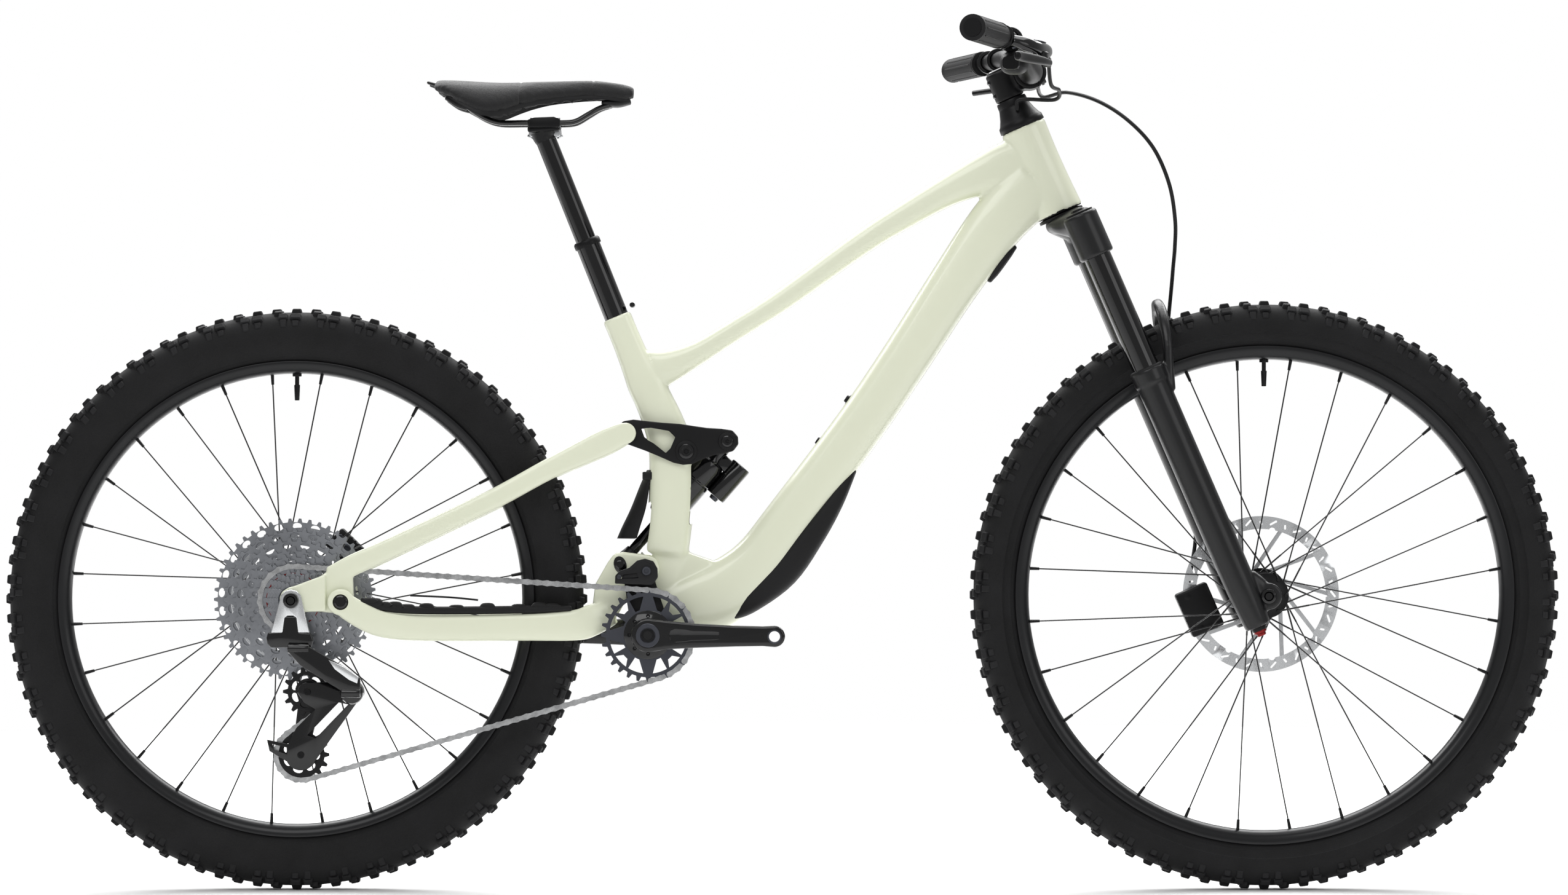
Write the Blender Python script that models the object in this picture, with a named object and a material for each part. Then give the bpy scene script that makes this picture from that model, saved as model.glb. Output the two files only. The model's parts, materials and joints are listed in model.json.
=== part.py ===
"""Full-suspension mountain bike, built from separate solids.

Metres, +Z up, the bike faces +X and its drive side is -Y. The origin is on the floor, at the
middle of the bike's length. Points in the bike's own plane are written (x, z).
"""

import math

import bmesh
import bpy
from mathutils import Matrix, Vector

GAP = 0.0003            # clearance between pieces that touch

# ---- overall ------------------------------------------------------------------------------
WHEELBASE = 1.233
REAR_TYRE_R = 0.370
FRONT_TYRE_R = 0.375
TYRE_HALF_WIDTH = 0.0305
CHAINSTAY_REACH = 0.449  # rear axle to bottom bracket, along X
BB_HEIGHT = 0.3256
HEAD_ANGLE = math.radians(23.5)   # from vertical
FORK_OFFSET = 0.044
AXLE_TO_CROWN = 0.551
HEAD_TUBE_LENGTH = 0.119
FORK_TRAVEL = 0.150
POST_TRAVEL = 0.135
POST_ANGLE = math.radians(21.8)   # from vertical

# ---- wheels -------------------------------------------------------------------------------
REAR_RIM_R = 0.3035
REAR_RIM_INNER_R = 0.287
FRONT_RIM_R = 0.318
FRONT_RIM_INNER_R = 0.300
RIM_HALF_WIDTH = 0.0175
SPOKES = 28
WHEEL_STEPS = 32         # sides of the big turned shapes
SPOKE_R = 0.0012
FLANGE_R = 0.029
REAR_HUB_HALF = 0.074
FRONT_HUB_HALF = 0.055
REAR_FLANGES = (-0.0225, 0.036)
FRONT_FLANGES = (-0.031, 0.030)
REAR_AXLE_R = 0.006
FRONT_AXLE_R = 0.0075
FRONT_ROTOR_R = 0.100
REAR_ROTOR_R = 0.090
FRONT_ROTOR_Y = 0.0440
REAR_ROTOR_Y = 0.0572
ROTOR_HALF = 0.0009
ROTOR_SEAT_R = 0.0180

# ---- drivetrain ---------------------------------------------------------------------------
CHAIN_PITCH = 0.0127
CHAINLINE = 0.052
CHAINRING_TEETH = 28
COG_TEETH = (10, 12, 14, 16, 18, 21, 24, 28, 32, 38, 44, 50)
COG_SPACING = 0.00365
CHAIN_COG = 5            # index of the cog that the chain is on
PULLEY_TEETH = (14, 16)
CHAIN_HALF_DEPTH = 0.0040
CHAIN_HALF_WIDTH = 0.0024
CHAIN_STEP = math.radians(15)    # turn between two points of the chain on a wheel
CRANK_LENGTH = 0.160
CRANK_INNER_Y = 0.060
CRANK_OUTER_Y = 0.074
SPINDLE_R = 0.0146
PEDAL_HOLE_R = 0.0071
BB_SHELL_HALF = 0.0365
BB_SHELL_R = 0.0265

# ---- fork and cockpit ---------------------------------------------------------------------
STANCHION_R = 0.0175
STANCHION_Y = 0.0665
STANCHION_AHEAD = 0.017
LEG_WALL = 0.0030
STEERER_R = 0.0143
HEAD_TUBE_R = 0.031
SPACER_STACK = 0.039
STEM_HEIGHT = 0.040
STEM_REACH = 0.035
BAR_R = 0.0111
BAR_CLAMP_R = 0.0158
BAR_HALF = 0.385
GRIP_LENGTH = 0.133
GRIP_R = 0.0163

# ---- frame --------------------------------------------------------------------------------
REAR_SWING = math.radians(17)      # of the chainstay, at full travel
ROCKER_RATIO = 2.563               # rocker turn for each turn of the chainstay
PIVOT_R = 0.0065
SHOCK_PIN_R = 0.005
TUNNEL_HALF = 0.0245
SEAT_TUBE_HALF = 0.0325
SHOCK_CAN_R = 0.0225
SHOCK_SHAFT_R = 0.007
POST_OUTER_R = 0.0155
POST_INNER_R = 0.0132
POST_INSERT = 0.090
ROCKER_HALF_IN = SEAT_TUBE_HALF + GAP
ROCKER_PLATE = 0.0068
STAY_TIP = 0.0090


def xz(x, z, y=0.0):
    return Vector((x, y, z))


# ---- points that everything hangs on ----
REAR_AXLE = xz(-(WHEELBASE + FRONT_TYRE_R - REAR_TYRE_R) / 2, REAR_TYRE_R)
FRONT_AXLE = REAR_AXLE + xz(WHEELBASE, FRONT_TYRE_R - REAR_TYRE_R)
BB = xz(REAR_AXLE.x + CHAINSTAY_REACH, BB_HEIGHT)
MAIN_PIVOT = BB + xz(-0.002, 0.0834)
ROCKER_PIVOT = BB + xz(0.048, 0.2324)
STAY_PIVOT = ROCKER_PIVOT + xz(-0.077, 0.023)
SHOCK_TOP = ROCKER_PIVOT + xz(0.0521, 0.0129)
SHOCK_FOOT = MAIN_PIVOT + xz(-0.034, 0.005)
HORST = REAR_AXLE + xz(0.062, -0.002)
DOWN = Vector((math.sin(HEAD_ANGLE), 0, -math.cos(HEAD_ANGLE)))
AHEAD = Vector((math.cos(HEAD_ANGLE), 0, math.sin(HEAD_ANGLE)))
CROWN_RACE = FRONT_AXLE - FORK_OFFSET * AHEAD - AXLE_TO_CROWN * DOWN
HEAD_TOP = CROWN_RACE - HEAD_TUBE_LENGTH * DOWN
POST_UP = Vector((-math.sin(POST_ANGLE), 0, math.cos(POST_ANGLE)))
SEAT_TUBE_TOP = BB + xz(-0.0415, 0.4044)
POST_RING = SEAT_TUBE_TOP + 0.1055 * POST_UP
POST_HEAD = POST_RING + (POST_TRAVEL + 0.005) * POST_UP
SHOCK_DOWN = (SHOCK_FOOT - SHOCK_TOP).normalized()


def pitch_radius(teeth):
    return CHAIN_PITCH / (2 * math.sin(math.pi / teeth))


def chain_seat(teeth):
    """The radius that the inner edge of the chain rests on."""
    return (pitch_radius(teeth) - CHAIN_HALF_DEPTH) * math.cos(CHAIN_STEP / 2) - GAP


RING_R = pitch_radius(CHAINRING_TEETH)
COG_R = pitch_radius(COG_TEETH[CHAIN_COG])
PULLEYS = (REAR_AXLE + xz(0.018, -0.116), REAR_AXLE + xz(0.010, -0.196))
KNUCKLE = REAR_AXLE + xz(0.076, -0.116)


def on_fork(down, ahead=0.0, y=0.0):
    """A point that stands `down` below the crown race along the steering axis."""
    return CROWN_RACE + down * DOWN + ahead * AHEAD + Vector((0, y, 0))


# ---- building blocks ------------------------------------------------------------------------
def material(name, colour, roughness, metallic):
    mat = bpy.data.materials.new(name)
    mat.use_nodes = True
    shader = mat.node_tree.nodes["Principled BSDF"]
    shader.inputs["Base Color"].default_value = (*colour, 1)
    shader.inputs["Roughness"].default_value = roughness
    shader.inputs["Metallic"].default_value = metallic
    mat.diffuse_color = (*colour, 1)
    return mat


CREAM = ((0.76, 0.79, 0.62), 0.35, 0.0)
BLACK = ((0.025, 0.025, 0.028), 0.35, 0.1)
RUBBER = ((0.02, 0.02, 0.02), 0.85, 0.0)
GREY = ((0.22, 0.22, 0.24), 0.35, 0.9)
SILVER = ((0.6, 0.6, 0.6), 0.3, 0.95)


def mesh_object(name, bm):
    """A temporary or final object made of the bmesh, with its faces outwards."""
    bmesh.ops.remove_doubles(bm, verts=bm.verts, dist=1e-7)
    bmesh.ops.recalc_face_normals(bm, faces=bm.faces)
    bmesh.ops.triangulate(bm, faces=bm.faces)
    mesh = bpy.data.meshes.new(name)
    bm.to_mesh(mesh)
    bm.free()
    obj = bpy.data.objects.new(name, mesh)
    bpy.context.scene.collection.objects.link(obj)
    return obj


def combine(target, tools, operation):
    """Joins the tools to the target, or cuts them from it, one by one, and removes them."""
    for tool in tools:
        mesh = cut_or_join(target, tool, operation, "EXACT")
        if not closed(mesh):
            mesh = cut_or_join(target, tool, operation, "MANIFOLD")
        target.data = mesh
        bpy.data.objects.remove(tool)
    return target


def cut_or_join(target, tool, operation, solver):
    """The mesh that one Boolean makes of the target and the tool."""
    modifier = target.modifiers.new("combine", "BOOLEAN")
    modifier.operation = operation
    modifier.solver = solver
    modifier.object = tool
    graph = bpy.context.evaluated_depsgraph_get()
    mesh = bpy.data.meshes.new_from_object(target.evaluated_get(graph))
    target.modifiers.clear()
    bm = bmesh.new()
    bm.from_mesh(mesh)
    bmesh.ops.remove_doubles(bm, verts=bm.verts, dist=2e-6)
    bmesh.ops.dissolve_degenerate(bm, edges=bm.edges, dist=2e-6)
    bmesh.ops.dissolve_limit(bm, angle_limit=math.radians(0.3), verts=bm.verts, edges=bm.edges)
    bmesh.ops.triangulate(bm, faces=bm.faces)
    bm.to_mesh(mesh)
    bm.free()
    return mesh


def closed(mesh):
    """True if every edge of the mesh has two faces."""
    bm = bmesh.new()
    bm.from_mesh(mesh)
    whole = all(len(edge.link_faces) == 2 for edge in bm.edges)
    bm.free()
    return whole


def joined(parts, cuts=()):
    """One object: the union of the parts, less the cuts."""
    objects = [mesh_object("part", bm) for bm in parts]
    target = combine(objects[0], objects[1:], "UNION") if len(objects) > 1 else objects[0]
    if cuts:
        combine(target, [mesh_object("cut", bm) for bm in cuts], "DIFFERENCE")
    return target


def node(name, made, look, origin=(0, 0, 0), smooth=35):
    """Names a finished piece, gives it its material and puts its origin on its joint."""
    obj = made if isinstance(made, bpy.types.Object) else mesh_object(name, made)
    obj.name = name
    obj.data.name = name
    obj.data.materials.clear()
    obj.data.materials.append(material(name, *look))
    origin = Vector(origin)
    obj.data.transform(Matrix.Translation(-origin))
    obj.location = origin
    obj.data.shade_smooth()
    obj.data.set_sharp_from_angle(angle=math.radians(smooth))
    return obj


def axes_to(axis, side):
    """Rotation that takes +Z to the axis and +X as near as it can to the side."""
    z = Vector(axis).normalized()
    x = (Vector(side) - Vector(side).dot(z) * z).normalized()
    return Matrix((x, z.cross(x), z)).transposed().to_4x4()


def turned(profile, centre, axis, steps, side=(1, 0, 0)):
    """A closed outline of (radius, along) turned round the axis through the centre."""
    bm = bmesh.new()
    place = Matrix.Translation(Vector(centre)) @ axes_to(axis, side)
    rings = []
    for radius, along in profile:
        count = 1 if radius < 1e-6 else steps
        angles = [2 * math.pi * k / steps for k in range(count)]
        ring = [bm.verts.new(place @ Vector((radius * math.cos(a), radius * math.sin(a), along)))
                for a in angles]
        rings.append(ring)
    for near, far in zip(rings, rings[1:] + rings[:1]):
        for k in range(steps):
            a, b = near[k % len(near)], near[(k + 1) % len(near)]
            c, d = far[(k + 1) % len(far)], far[k % len(far)]
            corners = [v for i, v in enumerate((a, b, c, d)) if v not in (a, b, c, d)[:i]]
            if len(corners) > 2:
                bm.faces.new(corners)
    return bm


def rod(start, end, radius, steps=16, end_radius=None, twist=0.0):
    """A round bar between two points, its corners turned by `twist` of a step."""
    start, end = Vector(start), Vector(end)
    along = end - start
    end_radius = radius if end_radius is None else end_radius
    side = (1, 0, 0) if abs(along.normalized().x) < 0.9 else (0, 1, 0)
    bm = bmesh.new()
    rings = []
    for centre, size in ((start, radius), (end, end_radius)):
        place = Matrix.Translation(centre) @ axes_to(along, side)
        angles = [2 * math.pi * (k + twist) / steps for k in range(steps)]
        rings.append([bm.verts.new(place @ Vector((size * math.cos(a), size * math.sin(a), 0)))
                      for a in angles])
    for k in range(steps):
        j = (k + 1) % steps
        bm.faces.new((rings[0][k], rings[0][j], rings[1][j], rings[1][k]))
    bm.faces.new(list(reversed(rings[0])))
    bm.faces.new(rings[1])
    return bm


def drill(start, end, radius, steps=16):
    """A round cutter: its flats stand at the radius, and its corners miss those of a coaxial bar."""
    return rod(start, end, radius / math.cos(math.pi / steps), steps, twist=0.37)


def cross_rod(centre, half, radius, steps=14):
    """A round bar along Y, `half` to each side of the centre."""
    return side_rod(Vector(centre), centre[1] - half, centre[1] + half, radius, steps)


def side_rod(centre, y_low, y_high, radius, steps=14):
    """A round bar along Y from y_low to y_high."""
    return rod(xz(centre.x, centre.z, y_low), xz(centre.x, centre.z, y_high), radius, steps)


def cross_drill(centre, half, radius, steps=14):
    """A round cutter along Y, `half` to each side of the centre."""
    side = Vector((0, half, 0))
    return drill(Vector(centre) - side, Vector(centre) + side, radius, steps)


def sleeve(start, end, outer, inner, steps=18):
    """A tube between two points."""
    start, end = Vector(start), Vector(end)
    length = (end - start).length
    return turned([(inner, 0), (outer, 0), (outer, length), (inner, length)], start, end - start,
                  steps)


def prism(outline, y_low, y_high):
    """An outline of (x, z) points, pushed out along Y."""
    bm = bmesh.new()
    near = [bm.verts.new((x, y_low, z)) for x, z in outline]
    far = [bm.verts.new((x, y_high, z)) for x, z in outline]
    bm.faces.new(near)
    bm.faces.new(list(reversed(far)))
    for i in range(len(near)):
        j = (i + 1) % len(near)
        bm.faces.new((near[i], near[j], far[j], far[i]))
    return bm


def block(centre, size, turn=0.0):
    """A box turned about Y."""
    bm = bmesh.new()
    bmesh.ops.create_cube(bm, size=1.0)
    place = Matrix.Translation(Vector(centre)) @ Matrix.Rotation(turn, 4, "Y")
    bmesh.ops.transform(bm, verts=bm.verts, matrix=place @ Matrix.Diagonal((*size, 1)))
    return bm


def loft(stations, steps=12, square=0.75, across=(0, 1, 0)):
    """A tube through stations of (centre, half height, half width), round at square 1.

    The half width lies along `across`, the half height at right angles to it and the path.
    """
    bm = bmesh.new()
    centres = [Vector(s[0]) for s in stations]
    rings = []
    for i, (centre, high, wide) in enumerate(stations):
        ahead = centres[min(i + 1, len(centres) - 1)] - centres[max(i - 1, 0)]
        ahead.normalize()
        side = (Vector(across) - Vector(across).dot(ahead) * ahead).normalized()
        up = side.cross(ahead)
        ring = []
        for k in range(steps):
            angle = 2 * math.pi * (k + 0.5) / steps
            c, s = math.cos(angle), math.sin(angle)
            c = math.copysign(abs(c) ** square, c)
            s = math.copysign(abs(s) ** square, s)
            ring.append(bm.verts.new(Vector(centre) + c * wide * side + s * high * up))
        rings.append(ring)
    for near, far in zip(rings, rings[1:]):
        for k in range(steps):
            bm.faces.new((near[k], near[(k + 1) % steps], far[(k + 1) % steps], far[k]))
    bm.faces.new(rings[0])
    bm.faces.new(list(reversed(rings[-1])))
    return bm


def circle(centre, radius, start=0, end=360, steps=16):
    """Points (x, z) round an arc, in degrees from +X towards +Z."""
    count = steps if abs(end - start) >= 360 else steps + 1
    angles = [math.radians(start + (end - start) * k / steps) for k in range(count)]
    return [(centre.x + radius * math.cos(a), centre.z + radius * math.sin(a)) for a in angles]


def hose(name, points, radius, look, steps_between=3, origin=(0, 0, 0)):
    """A bent cable or rod: a curve object with points on a smooth line through the given ones."""
    points = [Vector(p) for p in points]
    ends = [2 * points[0] - points[1]] + points + [2 * points[-1] - points[-2]]
    line = []
    for i in range(1, len(ends) - 2):
        a, b, c, d = ends[i - 1:i + 3]
        for k in range(steps_between):
            t = k / steps_between
            line.append(0.5 * (2 * b + (c - a) * t + (2 * a - 5 * b + 4 * c - d) * t * t
                               + (3 * b - a - 3 * c + d) * t ** 3))
    line.append(points[-1])
    data = bpy.data.curves.new(name, "CURVE")
    data.dimensions = "3D"
    data.bevel_depth = radius
    data.bevel_resolution = 2
    data.use_fill_caps = True
    spline = data.splines.new("POLY")
    spline.points.add(len(line) - 1)
    for point, place in zip(spline.points, line):
        point.co = (*(place - Vector(origin)), 1)
    data.materials.append(material(name, *look))
    obj = bpy.data.objects.new(name, data)
    obj.location = origin
    bpy.context.scene.collection.objects.link(obj)
    return obj


# ---- wheels ---------------------------------------------------------------------------------
def tyre(name, axle, tyre_r, rim_r):
    w = TYRE_HALF_WIDTH
    bead = rim_r + GAP
    section = [(bead - 0.006, RIM_HALF_WIDTH - 0.0038), (bead + 0.0008, RIM_HALF_WIDTH - 0.0038),
               (bead + 0.014, w - 0.005),
               (tyre_r - 0.020, w), (tyre_r - 0.005, w - 0.009), (tyre_r, w - 0.020)]
    inner = [(bead - 0.006, RIM_HALF_WIDTH - 0.0070), (tyre_r - 0.010, w - 0.019)]
    outline = section + [(r, -y) for r, y in reversed(section)]
    outline += [(r, -y) for r, y in inner] + [(r, y) for r, y in reversed(inner)]
    node(name, turned(outline, axle, (0, 1, 0), WHEEL_STEPS), RUBBER, axle, 50)


def rim(name, axle, rim_r, inner_r):
    w = RIM_HALF_WIDTH
    outline = [(inner_r, 0.0105), (inner_r + 0.008, w), (rim_r, w), (rim_r, w - 0.0030),
               (rim_r - 0.0078, w - 0.0034)]
    outline += [(r, -y) for r, y in reversed(outline)]
    node(name, turned(outline, axle, (0, 1, 0), WHEEL_STEPS), BLACK, axle, 50)


def spokes(name, axle, flanges, inner_r):
    """Crossed spokes, tied at the rim by the thin band of their washers."""
    band_r = inner_r - GAP
    rods = []
    for i in range(SPOKES):
        flange = flanges[i % 2]
        lead = 1 if (i // 2) % 2 else -1
        at_rim = 2 * math.pi * i / SPOKES
        at_hub = at_rim + lead * math.radians(58)
        outset = 0.0042 if lead > 0 else -0.0042
        hub_y = flange + outset
        reach = FLANGE_R - 0.004
        start = axle + Vector((reach * math.cos(at_hub), hub_y, reach * math.sin(at_hub)))
        end_r = band_r * math.cos(math.pi / WHEEL_STEPS) - 0.0004
        end = axle + Vector((end_r * math.cos(at_rim), 0.2 * flange, end_r * math.sin(at_rim)))
        rods.append(rod(start, end, SPOKE_R, 4))
    band = turned([(band_r - 0.0022, -0.009), (band_r, -0.009), (band_r, 0.009),
                   (band_r - 0.0022, 0.009)], axle, (0, 1, 0), WHEEL_STEPS)
    bundle = bmesh.new()
    for one in rods:
        mesh = bpy.data.meshes.new("spoke")
        one.to_mesh(mesh)
        bundle.from_mesh(mesh)
        bpy.data.meshes.remove(mesh)
    node(name, joined([band, bundle]), BLACK, axle)


def hub(name, axle, half, flanges, axle_r, rotor_y, body_r=0.016, driver=None):
    """A hub shell with two spoke flanges, a brake seat and, at the rear, a driver."""
    left, right = flanges
    bore = axle_r + GAP
    end_r = bore + 0.0040
    outline = [(bore, -half), (end_r, -half)]
    if driver:
        outline += [(end_r, -half + 0.003), (driver, -half + 0.004), (driver, left - 0.0050)]
    else:
        outline += [(end_r, left - 0.0060)]
    for y in (left, right):
        outline += [(body_r, y - 0.004), (FLANGE_R, y - 0.0016), (FLANGE_R, y + 0.0016),
                    (body_r, y + 0.004)]
    outline += [(ROTOR_SEAT_R + 0.004, right + 0.0046), (ROTOR_SEAT_R + 0.004, rotor_y - ROTOR_HALF - GAP),
                (ROTOR_SEAT_R, rotor_y - ROTOR_HALF - GAP), (ROTOR_SEAT_R, rotor_y + 0.003),
                (end_r, rotor_y + 0.004), (end_r, half), (bore, half)]
    node(name, turned(outline, axle, (0, 1, 0), 18), BLACK, axle)


def rotor(name, axle, radius, y):
    inner = ROTOR_SEAT_R + GAP
    at = axle + Vector((0, y, 0))
    carrier = sleeve(at - Vector((0, ROTOR_HALF, 0)), at + Vector((0, ROTOR_HALF, 0)), radius, inner, 40)
    cuts = []
    for k in range(6):
        angle = math.pi * (k + 0.5) / 3
        r = 0.5 * (radius - 0.016 + inner + 0.006)
        spot = at + Vector((r * math.cos(angle), 0, r * math.sin(angle)))
        cuts.append(cross_drill(spot, 0.01, 0.30 * (radius - 0.022 - inner), 12))
    node(name, joined([carrier], cuts), SILVER, axle)


def wheels():
    tyre("rear_tyre", REAR_AXLE, REAR_TYRE_R, REAR_RIM_R)
    tyre("front_tyre", FRONT_AXLE, FRONT_TYRE_R, FRONT_RIM_R)
    rim("rear_rim", REAR_AXLE, REAR_RIM_R, REAR_RIM_INNER_R)
    rim("front_rim", FRONT_AXLE, FRONT_RIM_R, FRONT_RIM_INNER_R)
    spokes("rear_spokes", REAR_AXLE, REAR_FLANGES, REAR_RIM_INNER_R)
    spokes("front_spokes", FRONT_AXLE, FRONT_FLANGES, FRONT_RIM_INNER_R)
    hub("rear_hub", REAR_AXLE, REAR_HUB_HALF, REAR_FLANGES, REAR_AXLE_R, REAR_ROTOR_Y, driver=0.0132)
    hub("front_hub", FRONT_AXLE, FRONT_HUB_HALF, FRONT_FLANGES, FRONT_AXLE_R, FRONT_ROTOR_Y)
    rotor("rear_rotor", REAR_AXLE, REAR_ROTOR_R, REAR_ROTOR_Y)
    rotor("front_rotor", FRONT_AXLE, FRONT_ROTOR_R, FRONT_ROTOR_Y)


# ---- frame ----------------------------------------------------------------------------------
def main_frame():
    """One welded frame: head, top, down and seat tubes with the bottom bracket shell."""
    ht = HEAD_TUBE_R
    head = rod(HEAD_TOP, CROWN_RACE, ht, 20)
    mid = (HEAD_TOP + CROWN_RACE) / 2
    top_tube = loft([
        (mid + xz(-0.020, 0.006), 0.030, 0.022),
        (mid + xz(-0.070, -0.005), 0.027, 0.024),
        (mid + xz(-0.118, -0.024), 0.021, 0.022),
        (mid + xz(-0.230, -0.092), 0.0155, 0.020),
        (BB + xz(0.172, 0.4275), 0.0150, 0.019),
        (BB + xz(0.066, 0.3600), 0.0150, 0.018),
        (BB + xz(0.012, 0.3450), 0.0200, 0.018)], 14)
    down_tube = loft([
        (mid + xz(-0.010, -0.020), 0.040, 0.026),
        (mid + xz(-0.058, -0.070), 0.036, 0.030),
        (mid + xz(-0.113, -0.148), 0.0325, 0.0315),
        (mid + xz(-0.230, -0.3245), 0.0325, 0.0325),
        (BB + xz(0.182, 0.148), 0.034, 0.0325),
        (BB + xz(0.140, 0.090), 0.0365, 0.032),
        (BB + xz(0.075, 0.045), 0.042, 0.030),
        (BB + xz(0.005, 0.020), 0.036, 0.026)], 14)
    half = SEAT_TUBE_HALF
    seat_tube = loft([
        (SEAT_TUBE_TOP, 0.0200, 0.0200),
        (BB + xz(-0.0165, 0.3444), 0.0205, 0.0205),
        (BB + xz(0.005, 0.2994), 0.0210, 0.022),
        (BB + xz(0.020, 0.2644), 0.0250, 0.027),
        (BB + xz(0.029, 0.2300), 0.0285, half),
        (BB + xz(0.0285, 0.1704), 0.0290, half),
        (BB + xz(0.0250, 0.1300), 0.0300, half),
        (BB + xz(0.0215, 0.1085), 0.0315, half),
        (BB + xz(0.0208, 0.1045), 0.0320, 0.0222),
        (BB + xz(0.012, 0.0650), 0.0350, 0.0222),
        (BB + xz(0.004, 0.0100), 0.0300, 0.0222)], 16, 0.6)
    gusset = prism([(BB.x + 0.03, BB.z + 0.13), (BB.x + 0.048, BB.z + 0.112),
                    (BB.x + 0.082, BB.z + 0.096), (BB.x + 0.13, BB.z + 0.10),
                    (BB.x + 0.10, BB.z + 0.02), (BB.x + 0.02, BB.z + 0.03)], -0.018, 0.018)
    shell = cross_rod(BB, BB_SHELL_HALF, BB_SHELL_R, 18)
    boss = cross_rod(ROCKER_PIVOT, SEAT_TUBE_HALF, 0.0155, 20)
    bore_r = STEERER_R + 0.0055
    cuts = [
        drill(HEAD_TOP - 0.01 * DOWN, CROWN_RACE + 0.01 * DOWN, bore_r, 18),
        drill(HEAD_TOP - 0.01 * DOWN, HEAD_TOP + 0.008 * DOWN, TOP_BEARING_R + GAP, 18),
        drill(CROWN_RACE - 0.008 * DOWN, CROWN_RACE + 0.012 * DOWN, LOW_BEARING_R + GAP, 17),
        cross_drill(BB, BB_SHELL_HALF + 0.01, BB_CUP_R + GAP, 18),
        drill(SEAT_TUBE_TOP + 0.02 * POST_UP, SEAT_TUBE_TOP - (POST_INSERT + 0.002) * POST_UP,
            POST_OUTER_R + GAP, 18),
        cross_drill(ROCKER_PIVOT, 0.05, PIVOT_R + GAP, 16),
        cross_drill(MAIN_PIVOT, 0.05, PIVOT_R + GAP, 16),
    ] + shock_tunnel()
    node("main_frame", joined([seat_tube, down_tube, top_tube, head, gusset, shell, boss], cuts),
         CREAM)


def compressed(point, pivot, angle):
    """Where a point of the rear suspension stands when it has turned about the pivot."""
    arm = point - pivot
    c, s = math.cos(angle), math.sin(angle)
    return pivot + xz(arm.x * c + arm.z * s, arm.z * c - arm.x * s)


def shock_tunnel():
    """The way through the seat tube for the shock: a cut for each of four stages of its stroke."""
    cuts = []
    stages = ((0.0, -0.020, 0.142), (0.33, -0.005, 0.143), (0.67, 0.005, 0.143), (1.0, 0.010, 0.145))
    for share, near, far in stages:
        start = compressed(SHOCK_TOP, ROCKER_PIVOT, share * REAR_SWING * ROCKER_RATIO)
        end = compressed(SHOCK_FOOT, MAIN_PIVOT, share * REAR_SWING)
        along = (end - start).normalized()
        turn = math.atan2(-along.z, along.x)
        middle = start + (near + far) / 2 * along
        cuts.append(block(middle, (far - near, 2 * TUNNEL_HALF, 2 * (SHOCK_CAN_R + 0.0020)), turn))
        cuts.append(drill(start + 0.130 * along, start + 0.172 * along, SHOCK_SHAFT_R + 0.002, 12))
    return cuts


def frame_fittings():
    guard = loft([
        (BB + xz(0.262, 0.200), 0.0025, 0.020), (BB + xz(0.205, 0.116), 0.003, 0.024),
        (BB + xz(0.176, 0.072), 0.003, 0.025), (BB + xz(0.140, 0.036), 0.003, 0.022)], 10)
    obj = mesh_object("guard", guard)
    body = bpy.data.objects["main_frame"]
    obj.name = "guard"
    swollen = swollen_copy(body, GAP)
    node("downtube_guard", combine(obj, [swollen], "DIFFERENCE"), BLACK)
    node("headset_upper_bearing", sleeve(HEAD_TOP, HEAD_TOP + 0.0077 * DOWN, TOP_BEARING_R,
                                         STEERER_R + GAP), SILVER)
    node("headset_lower_bearing", sleeve(CROWN_RACE - 0.0077 * DOWN, CROWN_RACE, LOW_BEARING_R,
                                         LOW_STEERER_R + GAP), SILVER)
    r_in, r_cup, half = SPINDLE_R + GAP, BB_CUP_R, BB_SHELL_HALF
    outline = [(r_in, -half - 0.008), (r_cup + 0.002, -half - 0.008), (r_cup + 0.002, -half - GAP),
               (r_cup, -half - GAP)]
    outline += [(r, -y) for r, y in reversed(outline)]
    node("bottom_bracket", turned(outline, BB, (0, 1, 0), 18), BLACK, BB)
    clamp = sleeve(SEAT_TUBE_TOP + GAP * POST_UP, SEAT_TUBE_TOP + 0.013 * POST_UP, 0.0205,
                   POST_OUTER_R + GAP)
    ear = block(SEAT_TUBE_TOP + 0.0065 * POST_UP + xz(0.0215, 0.0086), (0.010, 0.018, 0.0122),
                -POST_ANGLE)
    node("seat_clamp", joined([clamp, ear]), BLACK)


def swollen_copy(obj, by):
    """A copy pushed out along its normals, to cut a piece that lies on the object."""
    bm = bmesh.new()
    bm.from_mesh(obj.data)
    bm.normal_update()
    for vert in bm.verts:
        vert.co += vert.normal * by * 2
    return mesh_object("swollen", bm)


def seatpost():
    foot = SEAT_TUBE_TOP - POST_INSERT * POST_UP
    bore = POST_INNER_R + GAP
    length = (POST_RING - foot).length
    outer = turned([(bore, 0), (POST_OUTER_R, 0), (POST_OUTER_R, length - 0.009),
                    (POST_OUTER_R + 0.002, length - 0.008), (POST_OUTER_R + 0.002, length),
                    (bore, length)], foot, POST_UP, 18)
    node("seatpost_outer", outer, BLACK)
    stem = rod(POST_RING - 0.055 * POST_UP, POST_HEAD + 0.012 * POST_UP, POST_INNER_R, 18)
    head = block(POST_HEAD + xz(0.0, 0.0155), (0.042, 2 * RAIL_Y + 0.016, 0.023))
    grooves = [drill(POST_HEAD + xz(-0.05, 0.018, y), POST_HEAD + xz(0.05, 0.018, y),
                   RAIL_R + GAP, 12) for y in (-RAIL_Y, RAIL_Y)]
    node("seatpost_inner", joined([stem, head], grooves), BLACK, POST_RING)


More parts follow.
